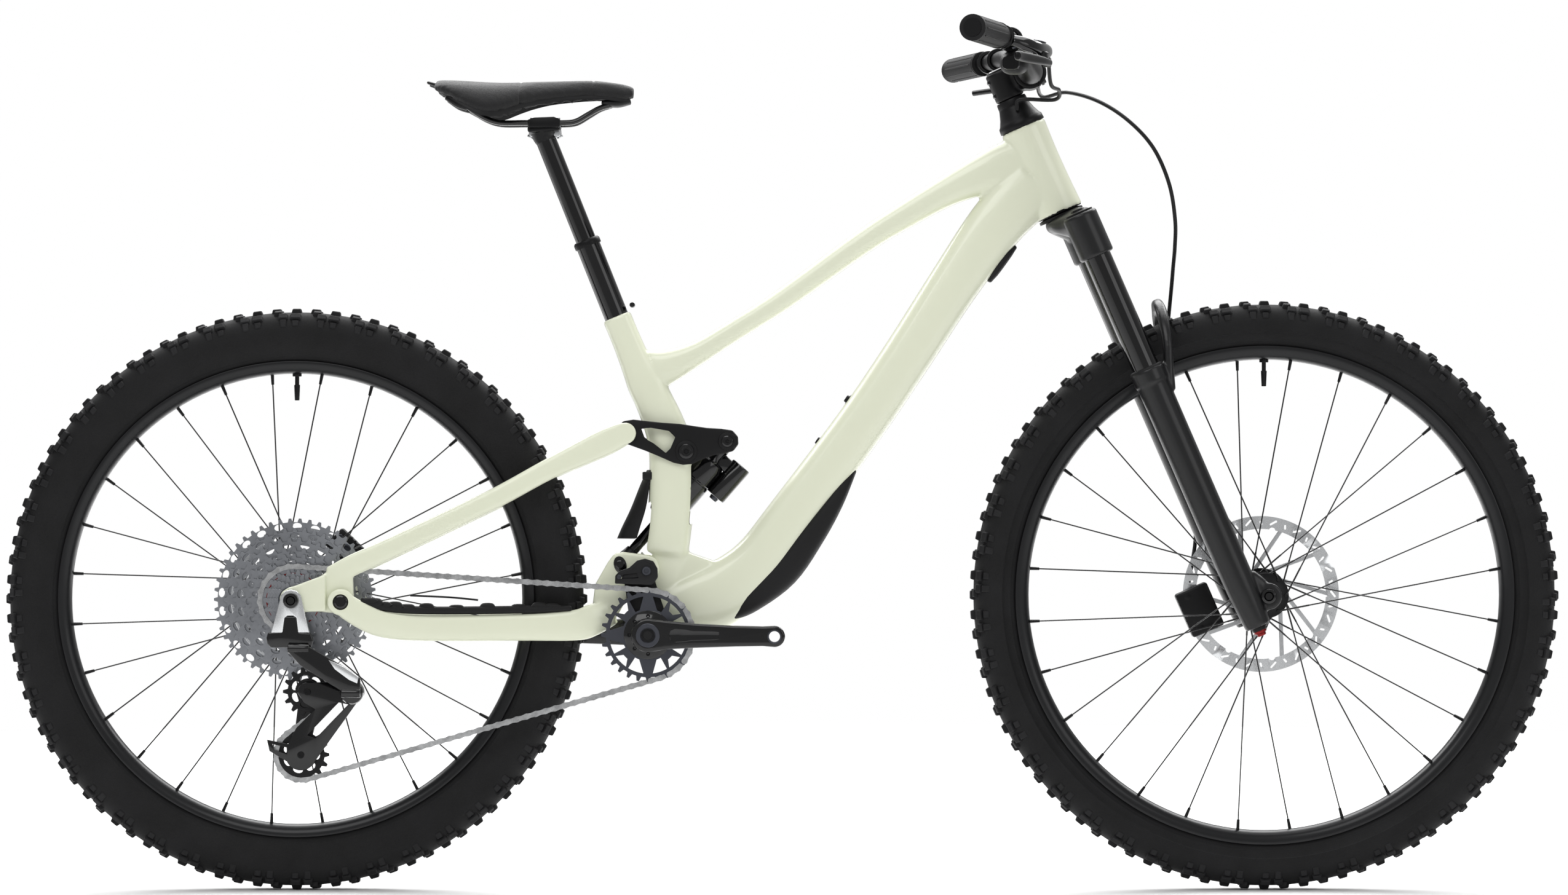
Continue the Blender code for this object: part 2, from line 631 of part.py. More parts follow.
def saddle():
    post = POST_HEAD
    rails = [(-0.100, 0.0366, RAIL_Y + 0.006), (-0.088, 0.0300, RAIL_Y + 0.004),
             (-0.060, 0.0180, RAIL_Y), (-0.026, 0.018, RAIL_Y), (0.0, 0.018, RAIL_Y),
             (0.025, 0.018, RAIL_Y), (0.038, 0.0185, RAIL_Y), (0.060, 0.0310, RAIL_Y * 0.75),
             (0.078, 0.0378, RAIL_Y * 0.4), (0.084, 0.0382, 0.0)]
    route = [post + xz(x, z, -y) for x, z, y in rails]
    route += [post + xz(x, z, y) for x, z, y in reversed(rails[:-1])]
    hose("saddle_rails", route, RAIL_R, BLACK, 2)
    shell = [(-0.125, 0.0484, 0.0030, 0.030), (-0.080, 0.0408, 0.0030, 0.054),
             (-0.040, 0.0413, 0.0030, 0.044), (0.010, 0.0425, 0.0030, 0.028),
             (0.075, 0.0454, 0.0030, 0.017), (0.104, 0.0466, 0.0030, 0.012)]
    node("saddle_shell", loft([(post + xz(x, z), h, w) for x, z, h, w in shell], 12), BLACK)
    cover = [(-0.146, 0.0685, 0.0060, 0.040), (-0.122, 0.0655, 0.0120, 0.066),
             (-0.080, 0.0600, 0.0160, 0.0725), (-0.034, 0.0595, 0.0150, 0.058),
             (0.016, 0.0600, 0.0140, 0.036), (0.066, 0.0625, 0.0130, 0.024),
             (0.104, 0.0620, 0.0120, 0.019), (0.117, 0.0610, 0.0060, 0.013)]
    node("saddle_cover", loft([(post + xz(x, z), h, w) for x, z, h, w in cover], 16, 0.85), BLACK)


# ---- rear end -------------------------------------------------------------------------------
def chainstay():
    """The lower rear member: yoke with the pivot pins in front, one arm each side."""
    p, a, h = MAIN_PIVOT, BB, HORST
    yoke_in, yoke_out = 0.0225 + GAP, 0.0330
    ear = [(p.x + 0.013, p.z + 0.013), (p.x, p.z + 0.018), (p.x - 0.030, p.z + 0.020),
           (p.x - 0.046, p.z + 0.014), (p.x - 0.066, p.z - 0.020), (p.x - 0.068, p.z - 0.060),
           (p.x - 0.040, p.z - 0.066), (p.x - 0.026, p.z - 0.040), (p.x - 0.004, p.z - 0.018),
           (p.x + 0.013, p.z - 0.013), (p.x + 0.018, p.z)]
    parts = []
    for side in (-1, 1):
        y = sorted((side * yoke_in, side * yoke_out))
        parts.append(prism(ear, *y))
        arm = [((a.x - 0.052, 0.350, 0.0300), 0.018, 0.0055), ((a.x - 0.072, 0.342, 0.0375), 0.019, 0.0065),
               ((a.x - 0.094, 0.335, 0.0425), 0.018, 0.0062), ((a.x - 0.160, 0.334, 0.0460), 0.0165, 0.0070),
               ((a.x - 0.280, 0.334, 0.0620), 0.0160, 0.0075), ((h.x + 0.056, 0.340, 0.0752), 0.0160, 0.0056),
               ((h.x + 0.032, 0.349, 0.0800), 0.0160, 0.0042),
               ((h.x + 0.010, h.z - 0.006, 0.0803), 0.0155, 0.0042)]
        parts.append(loft([(xz(x, z, side * y), hh, hw) for (x, z, y), hh, hw in arm], 12))
        end = sorted((side * HORST_IN, side * HORST_OUT))
        parts.append(side_rod(h, *end, 0.0165))
    parts.append(block(xz(a.x - 0.0595, 0.362), (0.013, 2 * yoke_in + 0.012, 0.040)))
    parts.append(cross_rod(p, yoke_out - 0.001, PIVOT_R, 16))
    parts.append(cross_rod(SHOCK_FOOT, yoke_out - 0.001, SHOCK_PIN_R, 16))
    for side in (-1, 1):
        end = sorted((side * (HORST_OUT - 0.002), side * (KNEE_IN + 0.001)))
        parts.append(side_rod(h, *end, PIVOT_R, 16))
    node("chainstay", joined(parts), CREAM, MAIN_PIVOT)
    top = 0.352 + GAP
    pad = [((a.x - 0.118, top + 0.0060, 0.0445), 0.0055, 0.0060),
           ((a.x - 0.160, top + 0.0060, 0.0460), 0.0055, 0.0065),
           ((a.x - 0.280, top + 0.0055, 0.0620), 0.0050, 0.0070),
           ((h.x + 0.050, top + 0.0110, 0.0735), 0.0050, 0.0055)]
    node("chainstay_guard", loft([(xz(x, z, -y), hh, hw) for (x, z, y), hh, hw in pad], 10), RUBBER)


def seatstay():
    """The upper rear member: it carries the wheel, the brake and the derailleur."""
    e, s, h = REAR_AXLE, STAY_PIVOT, HORST
    parts = []
    cuts = [cross_drill(HORST, 0.1, PIVOT_R + GAP, 16), cross_drill(e, 0.1, REAR_AXLE_R + GAP, 16)]
    mid = (KNEE_IN + HORST_IN) / 2
    tip = ROCKER_HALF_IN + ROCKER_PLATE + GAP + STAY_TIP / 2
    for side in (-1, 1):
        plate = [(e.x - 0.013, e.z + 0.010), (e.x, e.z + 0.017), (e.x + 0.043, e.z + 0.033),
                 (e.x + 0.043, e.z - 0.0145), (e.x + 0.012, e.z - 0.014), (e.x - 0.013, e.z - 0.010)]
        parts.append(prism(plate, *sorted((side * STAY_IN, side * STAY_OUT))))
        knee = [(e.x + 0.030, e.z + 0.028), (e.x + 0.072, e.z + 0.052), (h.x + 0.0145, h.z + 0.030),
                (h.x + 0.0150, h.z + 0.006), (h.x + 0.0120, h.z - 0.0100), (h.x, h.z - 0.0145),
                (e.x + 0.030, e.z - 0.0143)]
        parts.append(prism(knee, *sorted((side * KNEE_IN, side * (HORST_IN - GAP)))))
        arm = [((e.x + 0.060, e.z + 0.036, mid), 0.0120, 0.0044),
               ((e.x + 0.120, e.z + 0.062, 0.0680), 0.0125, 0.0060),
               ((e.x + 0.260, e.z + 0.130, 0.0555), 0.0130, 0.0070),
               ((s.x - 0.070, s.z - 0.033, 0.0480), 0.0135, 0.0062),
               ((s.x - 0.030, s.z - 0.014, tip), 0.0140, 0.0045),
               ((s.x + 0.004, s.z + 0.002, tip), 0.0125, 0.0045)]
        parts.append(loft([(xz(x, z, side * y), hh, hw) for (x, z, y), hh, hw in arm], 12))
        parts.append(side_rod(s, *sorted((side * (tip - 0.0045), side * (tip + 0.0045))), 0.0135))
    bridge = s + xz(-0.072, -0.034)
    parts.append(cross_rod(bridge, 0.046, 0.0085, 14))
    node("seatstay", joined(parts, cuts), CREAM, HORST)
    head_y = AXLE_HEAD_Y + GAP
    outline = [(0, -head_y - 0.005), (0.0095, -head_y - 0.005), (0.0095, -head_y), (REAR_AXLE_R, -head_y),
               (REAR_AXLE_R, STAY_OUT + 0.001), (0, STAY_OUT + 0.001)]
    node("rear_axle", turned(outline, e, (0, 1, 0), 20), BLACK)


def caliper(name, centre, along, rotor_y, reach, thickness, height):
    """A brake caliper whose slot straddles the rotor; `along` points away from the axle."""
    turn = math.atan2(-along.z, along.x)
    low, high = rotor_y - thickness[0], rotor_y + thickness[1]
    body = block(xz(centre.x, centre.z, (low + high) / 2), (reach, high - low, height), turn)
    slot = block(xz(centre.x, centre.z, rotor_y) - along * 0.010,
                 (reach, 2 * ROTOR_HALF + 0.0016, height + 0.02), turn)
    node(name, joined([body], [slot]), BLACK)


def rear_brake():
    along = xz(0.70, 0.714).normalized()
    caliper("rear_brake_caliper", REAR_AXLE + (REAR_ROTOR_R - 0.004) * along, along, REAR_ROTOR_Y,
            0.032, (0.0115, KNEE_IN - REAR_ROTOR_Y - 0.0022), 0.050)


def derailleur():
    """Body on the axle, swinging link, knuckle that stays level, sprung cage and two pulleys."""
    e, k = REAR_AXLE, KNUCKLE
    bracket_in = STAY_OUT + GAP
    bracket = prism([(e.x - 0.014, e.z + 0.004), (e.x - 0.007, e.z + 0.014), (e.x + 0.007, e.z + 0.014),
                     (e.x + 0.014, e.z + 0.004), (e.x + 0.024, e.z - 0.042), (e.x - 0.026, e.z - 0.042)],
                    -AXLE_HEAD_Y, -bracket_in)
    foot = LINK_TOP.z + 0.0005
    body = prism([(e.x - 0.030, e.z - 0.040), (e.x + 0.022, e.z - 0.040), (e.x + 0.026, foot),
                  (e.x - 0.026, foot)], -AXLE_HEAD_Y - 0.0002, -bracket_in + 0.001)
    bore = cross_drill(e, 0.11, REAR_AXLE_R + GAP, 16)
    node("derailleur_body", joined([bracket, body], [bore]), BLACK)
    pins = [rod(at - xz(half, 0), at + xz(half, 0), LINK_PIN_R, 14)
            for at, half in ((LINK_TOP, 0.0135), (LINK_LOW, 0.0120))]
    web = prism([(LINK_TOP.x - 0.011, LINK_TOP.z), (LINK_TOP.x + 0.011, LINK_TOP.z),
                 (LINK_LOW.x + 0.010, LINK_LOW.z + 0.012), (LINK_LOW.x + 0.010, LINK_LOW.z),
                 (LINK_LOW.x - 0.010, LINK_LOW.z)], LINK_TOP.y - LINK_WEB, LINK_TOP.y + LINK_WEB)
    node("derailleur_link", joined([web] + pins), BLACK, LINK_TOP)
    cage_out = -CHAINLINE - 0.0090
    face = LINK_TOP.y + LINK_PIN_R + GAP
    knuckle = side_rod(k, face + 0.003, cage_out - GAP, 0.0150, 18)
    boss = side_rod(k, face, face + 0.005, 0.0055, 14)
    socket = drill(xz(k.x, k.z, cage_out - 0.009), xz(k.x, k.z, cage_out + 0.01), 0.0045 + GAP, 14)
    node("derailleur_knuckle", joined([knuckle, boss], [socket]), BLACK, LINK_LOW)
    upper, lower = PULLEYS
    outer = circle(k, 0.0130, -60, 90, 6) + circle(upper, 0.0140, 80, 170, 5)
    outer += circle(lower, 0.020, 190, 330, 8)
    inner = circle(upper, 0.017, 20, 170, 8) + circle(lower, 0.020, 190, 330, 8)
    tip = prism([(lower.x - 0.015, lower.z + 0.012), (lower.x - 0.044, lower.z + 0.020),
                 (lower.x - 0.040, lower.z + 0.004), (lower.x - 0.014, lower.z - 0.012)],
                cage_out, cage_out + 0.003)
    parts = [prism(outer, cage_out, cage_out + 0.003), prism(inner, -CHAINLINE + 0.0042, -CHAINLINE + 0.0068),
             tip, side_rod(k, cage_out - 0.0075, cage_out + 0.001, 0.0045, 14)]
    parts += [side_rod(p, cage_out + 0.0015, -CHAINLINE + 0.0055, 0.0030, 12) for p in PULLEYS]
    node("derailleur_cage", joined(parts), BLACK, k)
    for name, at, teeth in (("pulley_upper", upper, PULLEY_TEETH[0]), ("pulley_lower", lower, PULLEY_TEETH[1])):
        radius = chain_seat(teeth)
        node(name, sleeve(at + xz(0, 0, -CHAINLINE - 0.0022), at + xz(0, 0, -CHAINLINE + 0.0022),
                          radius, 0.0030 + GAP, 18), BLACK, at)


def as_bmesh(obj):
    """The object's mesh in world space, as a bmesh; the object is removed."""
    bm = bmesh.new()
    bm.from_mesh(obj.data)
    bmesh.ops.transform(bm, verts=bm.verts, matrix=obj.matrix_world)
    bpy.data.objects.remove(obj)
    return bm


def rocker():
    """Two plates joined by the main pin and the shock pin."""
    r, s, t = ROCKER_PIVOT, STAY_PIVOT, SHOCK_TOP
    outline = [(s.x - 0.004, s.z + 0.016), (s.x + 0.030, s.z + 0.0165), (r.x - 0.010, r.z + 0.032),
               (r.x + 0.025, r.z + 0.029), (t.x + 0.004, t.z + 0.014), (t.x + 0.014, t.z + 0.004),
               (t.x + 0.012, t.z - 0.008), (t.x - 0.004, t.z - 0.015), (r.x + 0.018, r.z - 0.010),
               (r.x + 0.008, r.z - 0.015), (r.x - 0.012, r.z - 0.014), (s.x + 0.030, s.z - 0.022),
               (s.x + 0.004, s.z - 0.014), (s.x - 0.012, s.z - 0.004)]
    window = [(s.x + 0.022, s.z + 0.004), (r.x - 0.022, r.z + 0.022), (r.x - 0.016, r.z + 0.012),
              (r.x - 0.022, r.z - 0.001), (s.x + 0.036, s.z - 0.012)]
    inner, outer = ROCKER_HALF_IN, ROCKER_HALF_IN + ROCKER_PLATE
    parts, cuts = [], []
    for side in (-1, 1):
        parts.append(prism(outline, *sorted((side * inner, side * outer))))
        cuts.append(prism(window, *sorted((side * (inner - 0.01), side * (outer + 0.01)))))
    parts.append(cross_rod(r, outer + 0.003, PIVOT_R, 16))
    parts.append(cross_rod(t, outer + 0.002, SHOCK_PIN_R, 16))
    node("rocker_link", joined(parts, cuts), BLACK, r)


def shock():
    top, foot, along = SHOCK_TOP, SHOCK_FOOT, SHOCK_DOWN
    eye = cross_rod(top, 0.0125, 0.0125, 20)
    neck = rod(top + 0.004 * along, top + 0.034 * along, 0.0115, 16)
    can = rod(top + 0.030 * along, top + 0.132 * along, SHOCK_CAN_R, 18)
    cuts = [drill(top + 0.036 * along, top + 0.14 * along, SHOCK_SHAFT_R + GAP, 16),
            cross_drill(top, 0.02, SHOCK_PIN_R + GAP, 16)]
    node("shock_body", joined([eye, neck, can], cuts), BLACK, top)
    shaft = rod(top + 0.085 * along, foot - 0.006 * along, SHOCK_SHAFT_R, 16)
    end = cross_rod(foot, 0.0125, 0.0125, 20)
    node("shock_shaft", joined([shaft, end], [cross_drill(foot, 0.02, SHOCK_PIN_R + 0.0028, 16)]),
         SILVER, foot)


# ---- drivetrain -----------------------------------------------------------------------------
def cassette():
    """Cogs as steps of one cone; the cog under the chain is cut to the chain's inner edge."""
    e = REAR_AXLE
    outline = []
    first = -CHAINLINE - CHAIN_COG * COG_SPACING
    for i, teeth in enumerate(COG_TEETH):
        y = first + i * COG_SPACING
        radius = pitch_radius(teeth) + 0.002
        if i <= CHAIN_COG:
            radius = chain_seat(teeth)
        if i == CHAIN_COG + 1:
            y += 0.0004
        after = COG_SPACING + (0.0004 if i == CHAIN_COG else 0)
        depth = after if i < len(COG_TEETH) - 1 else 0.0018
        outline += [(radius, y - 0.0009), (radius, y - 0.0009 + depth)]
    bore = 0.0132 + GAP
    outline = [(bore, outline[0][1])] + outline + [(bore, outline[-1][1])]
    node("cassette", turned(outline, e, (0, 1, 0), 18), GREY, e)


def crank(name, side):
    """One crank arm: the drive side points forwards and holds the spindle, the other points back."""
    ahead = 1 if side < 0 else -1
    tip = BB + xz(ahead * CRANK_LENGTH, -0.0015 if side < 0 else 0.0015)
    outline = circle(BB, 0.0215, 60 if ahead > 0 else -120, 300 if ahead > 0 else 120, 12)
    outline += circle(tip, 0.0135, -80 if ahead > 0 else 100, 80 if ahead > 0 else 260, 8)
    y = sorted((side * CRANK_INNER_Y, side * CRANK_OUTER_Y))
    cuts = [cross_drill(xz(tip.x, tip.z, side * CRANK_OUTER_Y), 0.03, PEDAL_HOLE_R, 16)]
    parts = [prism(outline, *y)]
    if side < 0:
        parts.append(side_rod(BB, -CRANK_INNER_Y - 0.002, CRANK_OUTER_Y - 0.002, SPINDLE_R, 18))
        parts.append(side_rod(BB, -CRANK_INNER_Y - 0.002, -BB_SHELL_HALF - 0.0105, 0.0190, 18))
    else:
        cuts.append(cross_drill(xz(BB.x, BB.z, side * CRANK_OUTER_Y), 0.03, SPINDLE_R + GAP, 18))
    node(name, joined(parts, cuts), BLACK, BB)


def chainring():
    outer = chain_seat(CHAINRING_TEETH)
    ring = turned([(0.0190 + GAP, -CHAINLINE - 0.0018), (outer, -CHAINLINE - 0.0018),
                   (outer, -CHAINLINE + 0.0018), (0.0190 + GAP, -CHAINLINE + 0.0018)],
                  BB, (0, 1, 0), 48)
    cuts = []
    for k in range(4):
        angle = math.pi * (k + 0.25) / 2
        spot = BB + xz(0.0355 * math.cos(angle), 0.0355 * math.sin(angle))
        cuts.append(cross_drill(xz(spot.x, spot.z, -CHAINLINE), 0.01, 0.0095, 12))
    node("chainring", joined([ring], cuts), GREY, BB)


def chain_path(spread):
    """The chain's run as a closed line of (x, z), `spread` outside its pitch line."""
    wheels = [(BB, RING_R, -1), (REAR_AXLE, COG_R, -1), (PULLEYS[0], pitch_radius(PULLEY_TEETH[0]), 1),
              (PULLEYS[1], pitch_radius(PULLEY_TEETH[1]), -1)]
    touches = []
    for i, (centre, radius, side) in enumerate(wheels):
        after, next_r, next_side = wheels[(i + 1) % len(wheels)]
        apart = after - centre
        distance = math.hypot(apart.x, apart.z)
        lean = math.acos((side * radius - next_side * next_r) / distance)
        heading = math.atan2(apart.z, apart.x) + lean
        touches.append((heading, centre, radius, side, after, next_r, next_side))
    line = []
    for i, (heading, centre, radius, side, *_) in enumerate(touches):
        before = touches[i - 1][0]
        turn = (heading - before + math.pi) % (2 * math.pi) - math.pi
        if side < 0 and turn < 0:
            turn += 2 * math.pi
        if side > 0 and turn > 0:
            turn -= 2 * math.pi
        steps = max(3, math.ceil(abs(turn) / CHAIN_STEP))
        reach = side * radius - spread
        for k in range(steps + 1):
            angle = before + turn * k / steps
            line.append((centre.x + reach * math.cos(angle), centre.z + reach * math.sin(angle)))
    return line


def chain():
    """The chain as one closed band on its real run."""
    bm = bmesh.new()
    loops = []
    for y, spread in ((-1, -1), (1, -1), (1, 1), (-1, 1)):
        path = chain_path(spread * CHAIN_HALF_DEPTH)
        loops.append([bm.verts.new((x, -CHAINLINE + y * CHAIN_HALF_WIDTH, z)) for x, z in path])
    for near, far in zip(loops, loops[1:] + loops[:1]):
        for k in range(len(near)):
            j = (k + 1) % len(near)
            bm.faces.new((near[k], near[j], far[j], far[k]))
    node("chain", bm, SILVER)


def chain_guide():
    """The upper guide: its back plate sits on the bottom bracket shell's face."""
    top = BB + xz(-0.022, RING_R + 0.0165)
    outline = [(top.x - 0.020, top.z - 0.008), (top.x - 0.018, top.z + 0.006), (top.x + 0.012, top.z + 0.022),
               (top.x + 0.030, top.z + 0.020), (top.x + 0.034, top.z + 0.006), (top.x + 0.026, top.z - 0.010)]
    outer = prism(outline, -CHAINLINE - 0.0080, -CHAINLINE - 0.0045)
    inner_y = -BB_SHELL_HALF - GAP
    roof = prism([(top.x - 0.012, top.z - 0.003), (top.x - 0.010, top.z + 0.004),
                  (top.x + 0.012, top.z + 0.012), (top.x + 0.026, top.z + 0.010),
                  (top.x + 0.026, top.z + 0.001)],
                 -CHAINLINE - 0.006, inner_y - 0.0002)
    rise = [(top.x + 0.026, top.z + 0.009), (top.x - 0.010, top.z + 0.003)]
    back = prism(circle(BB, 0.031, 140, 400, 14) + rise,
                 inner_y - 0.0032, inner_y)
    bore = cross_drill(xz(BB.x, BB.z, inner_y), 0.02, BB_CUP_R + 0.002 + GAP, 18)
    node("chain_guide", joined([outer, roof, back], [bore]), BLACK)


# ---- fork and cockpit -----------------------------------------------------------------------
def fork_crown():
    """Steerer, crown and the two stanchions."""
    stack_top = -(HEAD_TUBE_LENGTH + SPACER_STACK + STEM_HEIGHT)
    steerer = rod(on_fork(stack_top), on_fork(0.010), STEERER_R, 18)
    base = rod(on_fork(-0.018), on_fork(0.0112), LOW_STEERER_R, 18)
    ahead, up = STANCHION_AHEAD, 0.013
    half = [(0.030, ahead, STANCHION_Y, 0.017, 0.018), (0.021, 0.012, 0.045, 0.017, 0.022),
            (0.0115, 0.002, 0.016, 0.0110, 0.026)]
    stations = [(on_fork(d, n, -y), high, wide) for d, n, y, high, wide in half]
    stations += [(on_fork(d, n, y), high, wide) for d, n, y, high, wide in reversed(half)]
    bridge = loft(stations, 12, 0.75, AHEAD)
    parts = [steerer, base, bridge]
    for y in (-STANCHION_Y, STANCHION_Y):
        parts.append(rod(on_fork(up, ahead, y), on_fork(CROWN_BOTTOM, ahead, y), 0.0235, 18))
        foot = on_fork(LEG_TOP + STANCHION_INSERT, ahead, y)
        parts.append(rod(on_fork(0.03, ahead, y), foot, STANCHION_R, 18))
    node("fork_crown", joined(parts), BLACK, CROWN_RACE)


def fork_lowers():
    ahead, axle = STANCHION_AHEAD, AXLE_TO_CROWN
    outer = STANCHION_R + LEG_WALL
    parts, cuts = [], []
    for side in (-1, 1):
        y = side * STANCHION_Y
        collar = on_fork(LEG_TOP + 0.02, ahead, y)
        parts.append(rod(on_fork(LEG_TOP, ahead, y), collar, outer + 0.0025, 18))
        bore_end = LEG_TOP + STANCHION_INSERT + FORK_TRAVEL + 0.006
        parts.append(rod(on_fork(LEG_TOP + 0.01, ahead, y), on_fork(bore_end + 0.008, ahead, y), outer, 20))
        parts.append(rod(on_fork(bore_end + 0.004, ahead, y), on_fork(axle + 0.030, ahead, y),
                         outer - 0.0004, 20, outer - 0.0040))
        parts.append(block(on_fork(axle - 0.002, 0.5 * (ahead + FORK_OFFSET) + 0.004,
                                   side * (FRONT_HUB_HALF + GAP + 0.0085)),
                           (FORK_OFFSET - ahead + 0.022, 0.017, 0.034), -HEAD_ANGLE))
        cuts.append(drill(on_fork(LEG_TOP - 0.01, ahead, y),
                        on_fork(bore_end, ahead, y), STANCHION_R + GAP, 20))
    half = [(0.250, 0.036, STANCHION_Y - 0.004), (0.205, 0.056, 0.060), (0.172, 0.064, 0.044),
            (0.160, 0.067, 0.018)]
    arch = [on_fork(d, n, -y) for d, n, y in half] + [on_fork(d, n, y) for d, n, y in reversed(half)]
    parts.append(loft([(point, 0.0085, 0.0065) for point in arch], 10, 0.8, AHEAD))
    cuts.append(cross_drill(FRONT_AXLE, 0.12, FRONT_AXLE_R + GAP, 20))
    cuts.append(block(on_fork(axle - 0.002, 0.030), (0.12, 2 * (FRONT_HUB_HALF + GAP), 0.12)))
    node("fork_lowers", joined(parts, cuts), BLACK)
    shoulder = -FRONT_HUB_HALF - 0.0180
    outline = [(0, -0.077), (0.0100, -0.077), (0.0100, shoulder), (FRONT_AXLE_R, shoulder),
               (FRONT_AXLE_R, FRONT_HUB_HALF + 0.012), (0, FRONT_HUB_HALF + 0.012)]
    node("front_axle", turned(outline, FRONT_AXLE, (0, 1, 0), 20), BLACK)


def front_brake():
    back = -AHEAD
    centre = on_fork(0.538, STANCHION_AHEAD - STANCHION_R - LEG_WALL - 0.033)
    caliper("front_brake_caliper", centre, back, FRONT_ROTOR_Y, 0.062, (0.0108, 0.0140), 0.062)


def bar_point(y):
    """The handlebar's centre line at the side distance y."""
    t = max(0.0, (abs(y) - 0.035) / (BAR_HALF - 0.035))
    rise = 0.030 * min(1.0, t * 3.2) * min(1.0, t * 3.2)
    return STEM_CLAMP + xz(-0.086 * t ** 1.15, rise, y)


def handlebar():
    marks = [-BAR_HALF, -0.30, -0.235, -0.17, -0.125, -0.09, -0.06, -0.03]
    marks += [-y for y in reversed(marks)]
    stations = []
    for y in marks:
        radius = BAR_CLAMP_R if abs(y) <= 0.06 else BAR_R
        if 0.06 < abs(y) <= 0.09:
            radius = 0.0140
        stations.append((bar_point(y), radius, radius))
    node("handlebar", loft(stations, 16, 1.0, (1, 0, 0)), BLACK)


def stem():
    centre = on_fork(-(HEAD_TUBE_LENGTH + SPACER_STACK + STEM_HEIGHT / 2))
    half = STEM_HEIGHT / 2 - GAP
    clamp = rod(centre - half * DOWN, centre + half * DOWN, 0.0190, 18)
    neck = block(centre + STEM_REACH / 2 * AHEAD, (STEM_REACH, 0.034, 0.030), -HEAD_ANGLE)
    front = cross_rod(STEM_CLAMP, 0.0245, BAR_CLAMP_R + 0.0055, 18)
    cuts = [drill(centre - 0.03 * DOWN, centre + 0.03 * DOWN, STEERER_R + GAP, 18),
            as_bmesh(swollen_copy(bpy.data.objects["handlebar"], GAP))]
    node("stem", joined([clamp, neck, front], cuts), BLACK)
    base = HEAD_TOP - GAP * DOWN
    top = SPACER_STACK - 2 * GAP
    cover = turned([(STEERER_R + GAP, 0), (HEAD_TUBE_R - 0.001, 0), (HEAD_TUBE_R - 0.002, 0.008),
                    (0.0200, 0.028), (0.0190, top), (STEERER_R + GAP, top)], base, -DOWN, 20)
    node("headset_cover", cover, BLACK)


def on_bar(side, y, ahead=0.0, up=0.0):
    """A point beside the bar: `ahead` forwards and `up` from its centre line."""
    return bar_point(side * y) + xz(ahead, up)


def bar_sleeve(side, y_in, y_out, radius, bore=None, steps=14):
    """A ring round the straight outer part of the bar."""
    a, b = on_bar(side, y_in), on_bar(side, y_out)
    return sleeve(a, b, radius, BAR_R + 0.0012 if bore is None else bore, steps)


def controls():
    for side, hand in ((1, "left"), (-1, "right")):
        end = BAR_HALF - 0.0005
        node("grip_" + hand, bar_sleeve(side, end - GRIP_LENGTH, end, GRIP_R), RUBBER)
        clamp = bar_sleeve(side, 0.222, 0.235, 0.0150)
        tank = loft([(on_bar(side, 0.229, 0.014, -0.004), 0.008, 0.006),
                     (on_bar(side, 0.226, 0.034, -0.012), 0.010, 0.009),
                     (on_bar(side, 0.190, 0.040, -0.014), 0.010, 0.010),
                     (on_bar(side, 0.160, 0.042, -0.014), 0.008, 0.008)], 10)
        pivot = on_bar(side, *LEVER_PIVOT)
        ear = block(pivot + xz(-0.004, 0.0070), (0.026, 0.022, 0.0048))
        slot = drill(pivot - xz(0, 0.02), pivot + xz(0, 0.02), 0.0030 + GAP, 12)
        node("brake_body_" + hand, joined([clamp, tank, ear], [slot]), BLACK)
        tip = on_bar(side, 0.330, 0.040, -0.030)
        blade = loft([(pivot + xz(0, -0.0005), 0.0040, 0.0070),
                      ((pivot + tip) / 2 + xz(0.010, 0.0), 0.0045, 0.0055),
                      (tip, 0.0045, 0.0050)], 10, 0.8, (1, 0, 0))
        pin = rod(pivot - xz(0, 0.004), pivot + xz(0, 0.0092), 0.0030, 12)
        knob = rod(pivot - xz(0, 0.0045), pivot + xz(0, 0.0040), 0.0080, 14)
        node("brake_blade_" + hand, joined([blade, knob, pin]), BLACK, pivot)
    root, end = on_bar(-1, 0.165, 0.006, -0.026), on_bar(-1, 0.205, 0.006, -0.030)
    out = (end - root).normalized()
    pod = loft([(root, 0.010, 0.012), (end, 0.011, 0.014)], 12)
    collar = bar_sleeve(-1, 0.176, 0.188, 0.0180)
    socket = drill(end - 0.0045 * out, end + 0.01 * out, ROCKER_STEM_R + 2 * GAP, 12)
    node("shifter_pod", joined([pod, collar], [socket]), BLACK)
    faces = [(end + 0.0018 * out, 0.0090, 0.0115), (end + 0.0058 * out, 0.0080, 0.0105)]
    plate = loft(faces, 12, 0.6, (1, 0, 0))
    post = rod(end - 0.0035 * out, end + 0.0030 * out, ROCKER_STEM_R, 12)
    node("shift_rocker", joined([plate, post]), BLACK, end)
    hub_at = on_bar(1, 0.186, 0.004, -0.030)
    mount = rod(hub_at + xz(0, 0.0160), hub_at - xz(0, 0.004), 0.0100, 18)
    node("dropper_remote", joined([bar_sleeve(1, 0.176, 0.188, 0.0180), mount],
                                  [drill(hub_at + xz(0, 0.004), hub_at - xz(0, 0.02), 0.0034, 12)]), BLACK)
    turn_at = hub_at - xz(0, 0.0085)
    paddle = loft([(turn_at, 0.0036, 0.0075), (turn_at + xz(-0.020, -0.002, 0.008), 0.0036, 0.0085),
                   (turn_at + xz(-0.036, -0.004, 0.012), 0.0036, 0.0095)], 10, 0.8, (0, 1, 0))
    pin = rod(turn_at, turn_at + xz(0, 0.0100), 0.0030, 12)
    node("dropper_paddle", joined([paddle, pin]), BLACK, turn_at)


